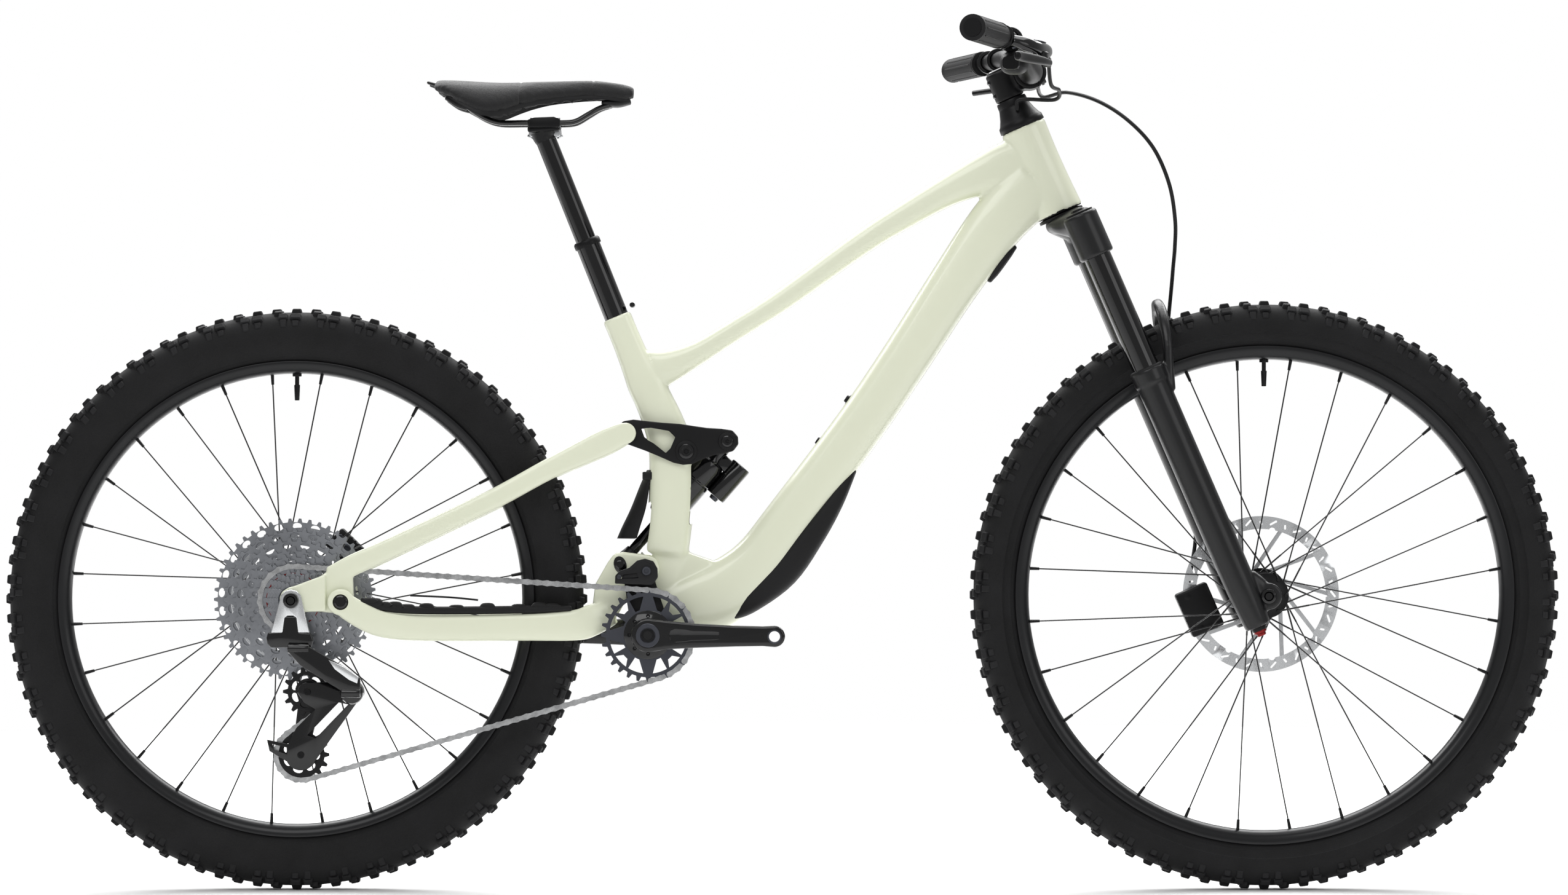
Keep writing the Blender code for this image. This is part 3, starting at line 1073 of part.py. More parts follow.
def hoses():
    s = STEM_CLAMP
    start = on_bar(1, HOSE_START, 0.042, -0.014)
    front = [start, s + xz(0.020, -0.022, 0.105), s + xz(0.050, -0.020, 0.060), s + xz(0.088, -0.034, 0.015),
             s + xz(0.125, -0.060, -0.010), s + xz(0.157, -0.095, -0.012), s + xz(0.178, -0.140, 0.0),
             s + xz(0.187, -0.185, 0.018), s + xz(0.188, -0.220, 0.036), s + xz(0.186, -0.260, 0.056),
             on_fork(0.235, 0.051, 0.078), on_fork(0.290, 0.044, 0.088), on_fork(0.360, 0.032, 0.0925),
             on_fork(0.440, 0.005, 0.091), on_fork(0.480, -0.018, 0.080), on_fork(0.494, -0.030, 0.066),
             on_fork(0.5048, -0.0355, 0.0520)]
    hose("front_brake_hose", front, 0.0025, RUBBER, 2)
    start = on_bar(-1, HOSE_START, 0.042, -0.014)
    rear = [start, s + xz(0.022, -0.020, -0.108), s + xz(0.034, -0.026, -0.075), s + xz(0.030, -0.036, -0.046),
            HEAD_TOP - 0.036 * DOWN + xz(0.010, 0.0, -0.0290), HEAD_TOP - 0.0220 * DOWN + xz(0.0, 0.0, -0.0255)]
    hose("rear_brake_hose", rear, 0.0025, RUBBER, 3)


# ---- values that follow from the ones above ----
TOP_BEARING_R = STEERER_R + 0.0090
LOW_STEERER_R = STEERER_R + 0.0045
LOW_BEARING_R = LOW_STEERER_R + 0.0070
BB_CUP_R = SPINDLE_R + 0.0065
STAY_IN = REAR_HUB_HALF + GAP
STAY_OUT = STAY_IN + 0.0080
KNEE_IN = REAR_HUB_HALF - 0.0080
HORST_IN = STAY_IN + 0.0015
HORST_OUT = HORST_IN + 0.0090
AXLE_HEAD_Y = STAY_OUT + 0.0075
RAIL_Y = 0.022
RAIL_R = 0.0035
LINK_PIN_R = 0.0060
LINK_WEB = 0.0035
LINK_TOP = REAR_AXLE + xz(0.010, -0.060, -AXLE_HEAD_Y - 0.0002 - GAP - LINK_PIN_R)
LINK_LOW = xz(KNUCKLE.x, KNUCKLE.z, LINK_TOP.y)
CROWN_BOTTOM = 0.0716
LEG_TOP = CROWN_BOTTOM + FORK_TRAVEL + 0.0043
STANCHION_INSERT = 0.130
STEM_CLAMP = on_fork(-(HEAD_TUBE_LENGTH + SPACER_STACK + STEM_HEIGHT / 2), STEM_REACH)
LEVER_PIVOT = (0.203, 0.050, -0.030)
ROCKER_STEM_R = 0.0040
HOSE_START = 0.1580


def main():
    for obj in list(bpy.data.objects):
        bpy.data.objects.remove(obj)
    wheels()
    main_frame()
    frame_fittings()
    seatpost()
    saddle()
    chainstay()
    seatstay()
    rear_brake()
    derailleur()
    rocker()
    shock()
    cassette()
    crank("crank_drive", -1)
    crank("crank_nondrive", 1)
    chainring()
    chain()
    chain_guide()
    fork_crown()
    fork_lowers()
    front_brake()
    handlebar()
    stem()
    controls()
    hoses()


main()
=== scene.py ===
"""Full-suspension mountain bike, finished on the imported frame.

Metres, +Z up, the bike faces +X and its drive side is -Y.
"""

import json
import math

import bpy
from bpy.props import FloatProperty, FloatVectorProperty, IntProperty, PointerProperty
from mathutils import Matrix, Vector


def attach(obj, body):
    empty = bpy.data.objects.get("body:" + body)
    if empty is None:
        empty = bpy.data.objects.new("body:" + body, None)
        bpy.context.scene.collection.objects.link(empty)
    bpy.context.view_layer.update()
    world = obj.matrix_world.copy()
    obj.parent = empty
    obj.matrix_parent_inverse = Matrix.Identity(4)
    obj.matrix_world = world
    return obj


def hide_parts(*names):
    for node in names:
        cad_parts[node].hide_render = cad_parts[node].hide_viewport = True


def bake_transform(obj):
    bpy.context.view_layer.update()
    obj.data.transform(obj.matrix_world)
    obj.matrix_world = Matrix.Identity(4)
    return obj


bl_info = {
    "name": "Trail Bike Builder",
    "version": (1, 0, 0),
    "blender": (4, 5, 0),
    "location": "3D View > Sidebar > Trail Bike",
    "description": "Builds a full-suspension trail bike on its packed frame",
    "category": "Add Mesh",
}

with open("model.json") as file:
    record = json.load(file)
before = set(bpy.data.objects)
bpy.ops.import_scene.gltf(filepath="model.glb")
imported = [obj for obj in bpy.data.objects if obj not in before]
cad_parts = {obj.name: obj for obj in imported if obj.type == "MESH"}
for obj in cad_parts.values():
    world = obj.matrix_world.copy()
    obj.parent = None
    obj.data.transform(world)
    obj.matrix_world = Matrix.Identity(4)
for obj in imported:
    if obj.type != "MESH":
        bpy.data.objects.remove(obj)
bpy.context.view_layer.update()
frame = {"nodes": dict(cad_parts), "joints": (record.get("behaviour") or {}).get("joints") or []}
JOINTS = {joint["name"]: joint for joint in frame["joints"]}


def pivot(name):
    return Vector(JOINTS[name]["pos_m"])


def direction(name):
    return Vector(JOINTS[name]["axis"]).normalized()


SIDE = Vector((0, 1, 0))
UP = Vector((0, 0, 1))
REAR = pivot("rear_wheel_spin")
FRONT = pivot("front_wheel_spin")
BB = pivot("crank_spin")
MAIN = pivot("rear_swing")
ROCKER = pivot("rocker_hinge")
EYE = pivot("shock_hinge")
HORST = pivot("stay_hinge")
RACE = pivot("steering_turn")
DOWN = -direction("steering_turn")
AHEAD = Vector((-DOWN.z, 0, DOWN.x))
POST_UP = direction("post_slide")
SHOCK_DOWN = -direction("shock_stroke")
KNUCKLE = pivot("cage_tension")
LINK_TOP = pivot("shift_swing")
LINK_LOW = pivot("shift_level")
PULLEYS = (pivot("guide_pulley_spin"), pivot("tension_pulley_spin"))
STAY = ROCKER + Vector((-0.077, 0, 0.023))
FOOT = MAIN + Vector((-0.034, 0, 0.005))
HEAD_TOP = RACE - 0.119 * DOWN
SEAT_TOP = BB + Vector((-0.0415, 0, 0.4044))
POST_RING = SEAT_TOP + 0.1055 * POST_UP
POST_HEAD = POST_RING + 0.140 * POST_UP
STACK = 0.119 + 0.039 + 0.020
CLAMP = RACE - STACK * DOWN + 0.035 * AHEAD
STANCHION_Y = 0.0665
STANCHION_AHEAD = 0.017
CHAINLINE = 0.052
COGS = (10, 12, 14, 16, 18, 21, 24, 28, 32, 38, 44, 50)
COG_STEP = 0.00365
CHAIN_COG = 5


def at(base, x, z, y=0.0):
    """A point x ahead of and z above the base, at the side distance y."""
    return Vector((base.x + x, y, base.z + z))


def on_fork(down, ahead=0.0, y=0.0):
    return RACE + down * DOWN + ahead * AHEAD + Vector((0, y, 0))


def pitch_radius(teeth):
    return 0.0127 / (2 * math.sin(math.pi / teeth))


# ---- sizes and colours ----------------------------------------------------------------------
class BikeSizes(bpy.types.PropertyGroup):
    """Sizes a user may change."""
    rear_tyre: FloatProperty(name="Rear tyre radius", description="Outer radius over the knobs",
                             default=0.370, min=0.3, max=0.4, unit="LENGTH")
    front_tyre: FloatProperty(name="Front tyre radius", description="Outer radius over the knobs",
                              default=0.375, min=0.3, max=0.4, unit="LENGTH")
    knob_rows: IntProperty(name="Knob rows", description="Rows of knobs round each tyre",
                           default=46, min=20, max=60)
    spokes: IntProperty(name="Spokes", description="Spokes in each wheel", default=28, min=16, max=36)
    bar_half: FloatProperty(name="Half bar width", description="Middle of the bar to its end",
                            default=0.385, min=0.3, max=0.42, unit="LENGTH")
    frame_voxel: FloatProperty(name="Frame voxel", description="Detail size of the moulded frame",
                               default=0.0022, min=0.0015, max=0.006, unit="LENGTH")


def colour(name, what, default):
    return FloatVectorProperty(name=name, description=what, default=default, min=0, max=1,
                               size=3, subtype="COLOR")


class BikeColours(bpy.types.PropertyGroup):
    """Finish colours a user may change."""
    paint: colour("Frame paint", "Gloss paint of the frame and the stays", (0.720, 0.745, 0.585))
    anodised: colour("Anodised black", "Anodised aluminium parts", (0.0050, 0.0050, 0.0055))
    gloss: colour("Gloss black", "Polished black parts", (0.0028, 0.0028, 0.0032))
    rubber: colour("Rubber", "Tyres, grips and guards", (0.0050, 0.0050, 0.0055))
    steel: colour("Steel", "Rotors and chain", (0.56, 0.57, 0.58))
    cog: colour("Cog steel", "Cassette and chainring", (0.27, 0.28, 0.30))
    accent: colour("Accent", "Small adjusters", (0.20, 0.010, 0.010))


def sizes():
    return bpy.context.scene.bike_sizes


def colours():
    return bpy.context.scene.bike_colours


# ---- finishes -------------------------------------------------------------------------------
def finish(name, base, rough, metal=0.0, spread=0.06, patch=0.08, patch_scale=9.0, grain=0.0,
           grain_scale=900.0, cell=False, coat=0.0, coat_rough=0.04, stretch=(1, 1, 1), sheen=0.0):
    """A surface with its own colour drift, roughness drift and fine relief, in object space."""
    old = bpy.data.materials.get(name)
    if old:
        return old
    mat = bpy.data.materials.new(name)
    mat.use_nodes = True
    nodes, links = mat.node_tree.nodes, mat.node_tree.links
    shader = nodes["Principled BSDF"]
    place = nodes.new("ShaderNodeTexCoord")
    mapping = nodes.new("ShaderNodeMapping")
    mapping.inputs["Scale"].default_value = stretch
    links.new(place.outputs["Object"], mapping.inputs["Vector"])
    drift = nodes.new("ShaderNodeTexNoise")
    drift.inputs["Scale"].default_value = patch_scale
    drift.inputs["Detail"].default_value = 4
    links.new(mapping.outputs["Vector"], drift.inputs["Vector"])
    ramp = nodes.new("ShaderNodeValToRGB")
    ramp.color_ramp.elements[0].position = 0.3
    ramp.color_ramp.elements[1].position = 0.7
    ramp.color_ramp.elements[0].color = (*[c * (1 - patch) for c in base], 1)
    ramp.color_ramp.elements[1].color = (*[min(1, c * (1 + patch)) for c in base], 1)
    links.new(drift.outputs["Fac"], ramp.inputs["Fac"])
    links.new(ramp.outputs["Color"], shader.inputs["Base Color"])
    texture = nodes.new("ShaderNodeTexVoronoi" if cell else "ShaderNodeTexNoise")
    texture.inputs["Scale"].default_value = grain_scale
    if not cell:
        texture.inputs["Detail"].default_value = 3
    links.new(mapping.outputs["Vector"], texture.inputs["Vector"])
    grain_out = texture.outputs["Distance" if cell else "Fac"]
    span = nodes.new("ShaderNodeMapRange")
    span.inputs["To Min"].default_value = max(0.02, rough - spread)
    span.inputs["To Max"].default_value = min(1.0, rough + spread)
    links.new(grain_out, span.inputs["Value"])
    links.new(span.outputs["Result"], shader.inputs["Roughness"])
    if grain:
        bump = nodes.new("ShaderNodeBump")
        bump.inputs["Strength"].default_value = 0.6
        bump.inputs["Distance"].default_value = grain
        links.new(grain_out, bump.inputs["Height"])
        links.new(bump.outputs["Normal"], shader.inputs["Normal"])
    shader.inputs["Metallic"].default_value = metal
    shader.inputs["Specular IOR Level"].default_value = 0.5 if max(base) > 0.1 else 0.28
    shader.inputs["Coat Weight"].default_value = coat
    shader.inputs["Coat Roughness"].default_value = coat_rough
    if sheen:
        shader.inputs["Sheen Weight"].default_value = sheen
    return mat


def paint():
    return finish("cream gloss paint", colours().paint, 0.32, spread=0.04, patch=0.018, patch_scale=3.0,
                  grain=0.00002, grain_scale=260, coat=0.45, coat_rough=0.08)


def anodised():
    return finish("black anodised", colours().anodised, 0.40, metal=0.35, spread=0.09, patch=0.25,
                  grain=0.00002, grain_scale=1500)


def forged():
    return finish("black forged", colours().anodised, 0.48, metal=0.25, spread=0.08, patch=0.3,
                  grain=0.00004, grain_scale=900)


def gloss_black():
    return finish("gloss black", colours().gloss, 0.16, metal=0.2, spread=0.04, patch=0.2, grain_scale=300,
                  coat=0.6, coat_rough=0.03)


def stanchion_black():
    return finish("hard coated black", colours().gloss, 0.13, metal=0.5, spread=0.03, patch=0.2,
                  grain_scale=500, coat=0.7, coat_rough=0.02)


def lower_black():
    return finish("satin black casting", (0.0045, 0.0046, 0.0052), 0.36, metal=0.0, spread=0.06, patch=0.2,
                  grain=0.00003, grain_scale=700, coat=0.25, coat_rough=0.2)


def tyre_rubber():
    return finish("tyre rubber", colours().rubber, 0.74, spread=0.12, patch=0.35, patch_scale=22,
                  grain=0.00012, grain_scale=700)


def knob_rubber():
    return finish("tread rubber", [c * 1.5 for c in colours().rubber], 0.66, spread=0.1, patch=0.4,
                  patch_scale=30, grain=0.0001, grain_scale=500)


def soft_rubber():
    return finish("soft rubber", colours().rubber, 0.62, spread=0.08, patch=0.25, grain=0.00008,
                  grain_scale=1300)


def plastic():
    return finish("moulded plastic", (0.0048, 0.0048, 0.0054), 0.46, spread=0.07, patch=0.2, grain=0.00005,
                  grain_scale=1600, cell=True)


def rim_black():
    return finish("rim black", (0.0085, 0.0088, 0.0098), 0.34, metal=0.3, spread=0.05, patch=0.15,
                  grain=0.00001, grain_scale=1200, coat=0.2, coat_rough=0.15)


def steel():
    return finish("brushed steel", colours().steel, 0.30, metal=1.0, spread=0.1, patch=0.08, grain=0.00002,
                  grain_scale=700, stretch=(1, 1, 8))


def bright_steel():
    return finish("ground steel", [min(1, c * 1.25) for c in colours().steel], 0.26, metal=1.0, spread=0.09,
                  patch=0.06, grain=0.00002, grain_scale=1100)


def cog_steel():
    return finish("cog steel", colours().cog, 0.33, metal=0.95, spread=0.1, patch=0.2, grain=0.00002,
                  grain_scale=1000)


def chain_steel():
    return finish("chain steel", (0.42, 0.425, 0.43), 0.30, metal=0.95, spread=0.12, patch=0.25,
                  patch_scale=120, grain=0.00002, grain_scale=1500)


def dark_ring():
    return finish("dark grey anodised", (0.060, 0.063, 0.074), 0.34, metal=0.8, spread=0.08, patch=0.15,
                  grain=0.00001, grain_scale=1200)


def accent():
    return finish("red anodised", colours().accent, 0.3, metal=0.7, spread=0.06, patch=0.15, grain_scale=900)


def saddle_skin():
    return finish("saddle cover", (0.0070, 0.0070, 0.0076), 0.60, spread=0.1, patch=0.2, grain=0.00025,
                  grain_scale=520, cell=True, sheen=0.15)


# ---- modelling by hand ----------------------------------------------------------------------
def clear():
    if bpy.context.object and bpy.context.object.mode != "OBJECT":
        bpy.ops.object.mode_set(mode="OBJECT")
    bpy.ops.object.select_all(action="DESELECT")


def only(*objs):
    clear()
    for obj in objs:
        obj.select_set(True)
    bpy.context.view_layer.objects.active = objs[0]


def settled(obj):
    """Puts the object's place into its mesh."""
    only(obj)
    bpy.ops.object.transform_apply(location=True, rotation=True, scale=True)
    return obj


def started(name):
    obj = bpy.context.object
    obj.name = name
    obj.data.name = name
    return obj


def edited(obj, *steps):
    """Runs edit-mode steps on the whole mesh."""
    only(obj)
    bpy.ops.object.mode_set(mode="EDIT")
    bpy.ops.mesh.select_all(action="SELECT")
    for step in steps:
        step()
    bpy.ops.object.mode_set(mode="OBJECT")
    return obj


def outward():
    bpy.ops.mesh.select_all(action="SELECT")
    bpy.ops.mesh.normals_make_consistent(inside=False)


def merged():
    bpy.ops.mesh.remove_doubles(threshold=1e-6)


def applied(obj, kind, **values):
    only(obj)
    modifier = obj.modifiers.new(kind.lower(), kind)
    for key, value in values.items():
        setattr(modifier, key, value)
    bpy.ops.object.modifier_apply(modifier=modifier.name)
    return obj


def bevelled(obj, width, segments=2, angle=35):
    return applied(obj, "BEVEL", width=width, segments=segments, limit_method="ANGLE",
                   angle_limit=math.radians(angle), use_clamp_overlap=True)


def subdivided(obj, levels=1):
    return applied(obj, "SUBSURF", levels=levels, render_levels=levels)


def cut(obj, *tools):
    for tool in tools:
        applied(obj, "BOOLEAN", operation="DIFFERENCE", solver="EXACT", object=tool)
        bpy.data.objects.remove(tool)
    return obj


def together(name, objs):
    objs = list(objs)
    only(*objs)
    if len(objs) > 1:
        bpy.ops.object.join()
    return started(name)


def copied(obj, matrix=None):
    """A copy with its own mesh, moved by the matrix."""
    other = obj.copy()
    other.data = obj.data.copy()
    bpy.context.scene.collection.objects.link(other)
    if matrix is not None:
        other.data.transform(matrix)
        if matrix.determinant() < 0:
            other.data.flip_normals()
    return other


def round_axle(obj, centre, count, axis=SIDE):
    """Repeats the shape count times round the axis through the centre."""
    clear()
    bpy.ops.object.empty_add()
    turn = bpy.context.object
    centre = Vector(centre)
    turn.matrix_world = (Matrix.Translation(centre) @ Matrix.Rotation(2 * math.pi / count, 4, axis)
                         @ Matrix.Translation(-centre))
    applied(obj, "ARRAY", count=count, use_relative_offset=False, use_object_offset=True,
            offset_object=turn)
    bpy.data.objects.remove(turn)
    return obj


def aimed(axis, side=(1, 0, 0)):
    """Turns +Z to the axis, and +X as near as it can to the side."""
    z = Vector(axis).normalized()
    side = Vector(side)
    if abs(side.normalized().dot(z)) > 0.95:
        side = Vector((0, 1, 0))
    x = (side - side.dot(z) * z).normalized()
    return Matrix((x, z.cross(x), z)).transposed().to_4x4()


def rod(start, end, radius, end_radius=None, sides=24, bevel=0.0, name="rod"):
    start, end = Vector(start), Vector(end)
    clear()
    bpy.ops.mesh.primitive_cone_add(
        vertices=sides, radius1=radius, radius2=radius if end_radius is None else end_radius,
        depth=(end - start).length, location=(start + end) / 2,
        rotation=aimed(end - start).to_euler())
    obj = settled(started(name))
    if bevel:
        bevelled(obj, bevel)
    return obj


def across(centre, low, high, radius, sides=24, bevel=0.0, end_radius=None):
    """A round bar along Y."""
    return rod((centre.x, low, centre.z), (centre.x, high, centre.z), radius, end_radius, sides, bevel)


def lathe(name, outline, centre, axis=SIDE, steps=64, side=(1, 0, 0)):
    """Spins a closed outline of (radius, along) round the axis."""
    clear()
    bpy.ops.mesh.primitive_circle_add(vertices=len(outline), radius=1)
    obj = started(name)
    for vert, (radius, along) in zip(obj.data.vertices, outline):
        vert.co = (radius, 0, along)
    edited(obj, lambda: bpy.ops.mesh.spin(steps=steps, angle=2 * math.pi, center=(0, 0, 0),
                                          axis=(0, 0, 1)), lambda: bpy.ops.mesh.select_all(action="SELECT"),
           merged, outward)
    obj.data.transform(Matrix.Translation(Vector(centre)) @ aimed(axis, side))
    return obj


def plate(outline, low, high, bevel=0.0, segments=2, name="plate"):
    """Extrudes a closed outline of (x, z) points along Y."""
    clear()
    bpy.ops.mesh.primitive_circle_add(vertices=len(outline), radius=1, fill_type="NGON")
    obj = started(name)
    for vert, (x, z) in zip(obj.data.vertices, outline):
        vert.co = (x, low, z)
    edited(obj, lambda: bpy.ops.mesh.extrude_region_move(
        TRANSFORM_OT_translate={"value": (0, high - low, 0)}), outward)
    if bevel:
        bevelled(obj, bevel, segments)
    return obj


def brick(centre, size, turn=None, bevel=0.0, segments=2):
    """A block at its size and place, its edges rounded."""
    clear()
    bpy.ops.mesh.primitive_cube_add(size=1, location=centre)
    obj = started("brick")
    obj.scale = size
    if turn is not None:
        obj.rotation_euler = turn
    settled(obj)
    if bevel:
        bevelled(obj, bevel, segments)
    return obj


def skin(name, rings, ends=True):
    """A closed tube through rings of points, all with the same count."""
    around, along = len(rings[0]), len(rings)
    clear()
    bpy.ops.mesh.primitive_grid_add(x_subdivisions=around, y_subdivisions=along - 1, size=1)
    obj = started(name)
    verts = obj.data.vertices
    for i, ring in enumerate(rings):
        for k in range(around + 1):
            verts[i * (around + 1) + k].co = ring[k % around]
    steps = [merged]
    if ends:
        steps.append(lambda: bpy.ops.mesh.fill_holes(sides=0))
    return edited(obj, *steps, outward)


def smooth_line(points, steps=4):
    """Points on a smooth line through the given vectors (any length)."""
    points = [Vector(p) for p in points]
    ends = [2 * points[0] - points[1]] + points + [2 * points[-1] - points[-2]]
    line = []
    for i in range(1, len(ends) - 2):
        a, b, c, d = ends[i - 1:i + 3]
        for k in range(steps):
            t = k / steps
            line.append(0.5 * (2 * b + (c - a) * t + (2 * a - 5 * b + 4 * c - d) * t * t
                               + (3 * b - a - 3 * c + d) * t ** 3))
    line.append(points[-1])
    return line


def tube(name, stations, around=32, square=0.8, side=SIDE, steps=5, cap=0.0):
    """A tube through stations of (centre, half height, half width), smooth between them.

    The half width lies along the side. A cap rounds the ends by that length.
    """
    flat = [Vector((*s[0], s[1], s[2])) for s in stations]
    line = smooth_line(flat, steps)
    centres = [Vector(p[:3]) for p in line]
    spans = [(p[3], p[4]) for p in line]
    rings = []
    for i, centre in enumerate(centres):
        ahead = (centres[min(i + 1, len(centres) - 1)] - centres[max(i - 1, 0)]).normalized()
        wide = (Vector(side) - Vector(side).dot(ahead) * ahead).normalized()
        high = wide.cross(ahead)
        places = [(0.0, 1.0)]
        if cap and i == 0:
            places = [(-cap, 0.45), (-0.8 * cap, 0.75), (-0.4 * cap, 0.94), (0.0, 1.0)]
        if cap and i == len(centres) - 1:
            places = [(0.0, 1.0), (0.4 * cap, 0.94), (0.8 * cap, 0.75), (cap, 0.45)]
        for shift, scale in places:
            ring = []
            for k in range(around):
                angle = 2 * math.pi * (k + 0.5) / around
                c, s = math.cos(angle), math.sin(angle)
                c = math.copysign(abs(c) ** square, c) * spans[i][1] * scale
                s = math.copysign(abs(s) ** square, s) * spans[i][0] * scale
                ring.append(centre + shift * ahead + c * wide + s * high)
            rings.append(ring)
    return skin(name, rings)


def fused(name, objs, voxel, rounds=6, factor=0.5):
    """Melts overlapping shapes into one moulded body with soft inner corners."""
    obj = together(name, objs)
    applied(obj, "REMESH", mode="VOXEL", voxel_size=voxel, adaptivity=0.0)
    applied(obj, "SMOOTH", factor=factor, iterations=rounds)
    return obj


def cable(name, points, radius, steps=4, sides=10):
    """A round cord along a smooth line, as a mesh with rounded ends."""
    line = smooth_line(points, steps)
    first = line[1] - line[0]
    side = Vector((0, 0, 1)) if abs(first.normalized().z) < 0.9 else Vector((1, 0, 0))
    rings, wide = [], side
    for i, centre in enumerate(line):
        ahead = (line[min(i + 1, len(line) - 1)] - line[max(i - 1, 0)]).normalized()
        wide = (wide - wide.dot(ahead) * ahead).normalized()
        up = wide.cross(ahead)
        angles = [2 * math.pi * k / sides for k in range(sides)]
        rings.append([centre + radius * (math.cos(a) * wide + math.sin(a) * up) for a in angles])
    return skin(name, rings)


def bolt(centre, axis, radius, height=0.003, socket=True):
    """A socket-head bolt with a domed rim, its head's foot at the centre."""
    hole = 0.52 * radius
    outline = [(0.0001, 0), (radius, 0), (radius, 0.6 * height), (0.84 * radius, height),
               (hole, height), (hole, 0.3 * height), (0.0001, 0.3 * height)]
    if not socket:
        outline = [(0.0001, 0), (radius, 0), (radius, 0.5 * height), (0.7 * radius, height), (0.0001, height)]
    return lathe("bolt", outline, centre, axis, 18)


def piece(name, obj, body, mat, nodes=(), smooth=35):
    """Names a finished piece, gives it its finish and lets it ride on its body."""
    if isinstance(obj, (list, tuple)):
        obj = together(name, obj)
    obj = settled(obj)
    obj.name = name
    obj.data.name = name
    bpy.ops.object.shade_smooth_by_angle(angle=math.radians(smooth))
    obj.data.materials.clear()
    obj.data.materials.append(mat)
    if body:
        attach(obj, body)
    if nodes:
        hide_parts(*nodes)
    return obj


# ---- wheels ---------------------------------------------------------------------------------
def knob(radius, y, tilt, turn, long, wide, tall, axle):
    """One tread block: a box that narrows to its top, on the tyre at the angle `turn`."""
    clear()
    bpy.ops.mesh.primitive_cube_add(size=1)
    obj = started("knob")
    for vert in obj.data.vertices:
        narrow = 0.80 if vert.co.z > 0 else 1.08
        vert.co = (vert.co.x * long * narrow, vert.co.y * wide * narrow, (vert.co.z - 0.5) * tall)
    lean = Matrix.Rotation(tilt, 4, "X")
    stand = Matrix.Translation((0, y, radius)) @ lean
    obj.data.transform(Matrix.Translation(axle) @ Matrix.Rotation(turn, 4, "Y") @ stand)
    return obj


def tyre(where, axle, outer, rim_r):
    """Casing with its bead, side ribs and rounded crown, and rows of tread blocks all round."""
    half = 0.0300
    section = [(rim_r - 0.005, 0.0128), (rim_r + 0.0005, 0.0142), (rim_r + 0.0025, 0.0168),
               (rim_r + 0.0035, 0.0180), (rim_r + 0.0055, 0.0190), (rim_r + 0.0062, 0.0206),
               (rim_r + 0.0076, 0.0210), (rim_r + 0.0085, 0.0212), (rim_r + 0.016, 0.0262),
               (outer - 0.040, half - 0.0010), (outer - 0.031, half), (outer - 0.0245, half - 0.0004),
               (outer - 0.0165, half - 0.0042), (outer - 0.0100, half - 0.0105),
               (outer - 0.0060, half - 0.0190), (outer - 0.0046, 0.0040)]
    outline = section + [(r, -y) for r, y in reversed(section)]
    outline += [(rim_r - 0.005, -0.0100), (outer - 0.012, -0.010), (outer - 0.012, 0.010),
                (rim_r - 0.005, 0.0100)]
    casing = lathe("casing", outline, axle, SIDE, 144)
    piece("tyre_" + where, casing, where + "_wheel", tyre_rubber(), [where + "_tyre"], 60)
    rows = sizes().knob_rows
    pitch = math.pi / rows
    knobs = []
    for side in (-1, 1):
        for step in (0, 1):
            turn = pitch * step
            middle = 0.0068 if step else 0.0050
            knobs.append(knob(outer - 0.0002, side * middle, -side * 0.10, turn, 0.0125, 0.0078, 0.0060,
                              axle))
            if step:
                knobs.append(knob(outer - 0.0032, side * 0.0165, -side * 0.42, turn + pitch * 0.1,
                                  0.0110, 0.0070, 0.0062, axle))
            knobs.append(knob(outer - 0.0088, side * 0.0248, -side * 0.86, turn + pitch * 0.35 * step,
                              0.0125 if step else 0.0145, 0.0092, 0.0070, axle))
            knobs.append(knob(outer - 0.0185, side * 0.0288, -side * 1.28, turn + pitch * 0.35 * step,
                              0.0090, 0.0120 if step else 0.0085, 0.0030, axle))
    unit = together("knobs", knobs)
    bevelled(unit, 0.0007, 1, 30)
    round_axle(unit, axle, rows)
    piece("tread_" + where, unit, where + "_wheel", knob_rubber(), smooth=30)


def rim(where, axle, outer, inner):
    """A hooked rim with a rounded spoke bed, a valve and its nut."""
    w = 0.0175
    half = [(inner, 0.0), (inner + 0.0004, 0.0050), (inner + 0.0022, 0.0102), (inner + 0.0056, 0.0140),
            (inner + 0.0100, w - 0.0010), (outer - 0.0020, w), (outer - 0.0005, w - 0.0004),
            (outer, w - 0.0012), (outer - 0.0004, w - 0.0028), (outer - 0.0070, w - 0.0036),
            (outer - 0.0080, 0.0100), (outer - 0.0100, 0.0040)]
    outline = half + [(r, -y) for r, y in reversed(half[1:])]
    ring = lathe("rim", outline, axle, SIDE, 144)
    piece("rim_" + where, ring, where + "_wheel", rim_black(), [where + "_rim"], 40)
    start = axle + (inner + 0.004) * UP
    valve = [rod(start, axle + (inner - 0.026) * UP, 0.0027, sides=16),
             rod(axle + (inner - 0.014) * UP, axle + (inner - 0.034) * UP, 0.0038, 0.0030, 16, 0.0006),
             rod(axle + (inner + 0.001) * UP, axle + (inner - 0.0035) * UP, 0.0058, sides=16, bevel=0.0006)]
    piece("valve_" + where, valve, where + "_wheel", anodised())


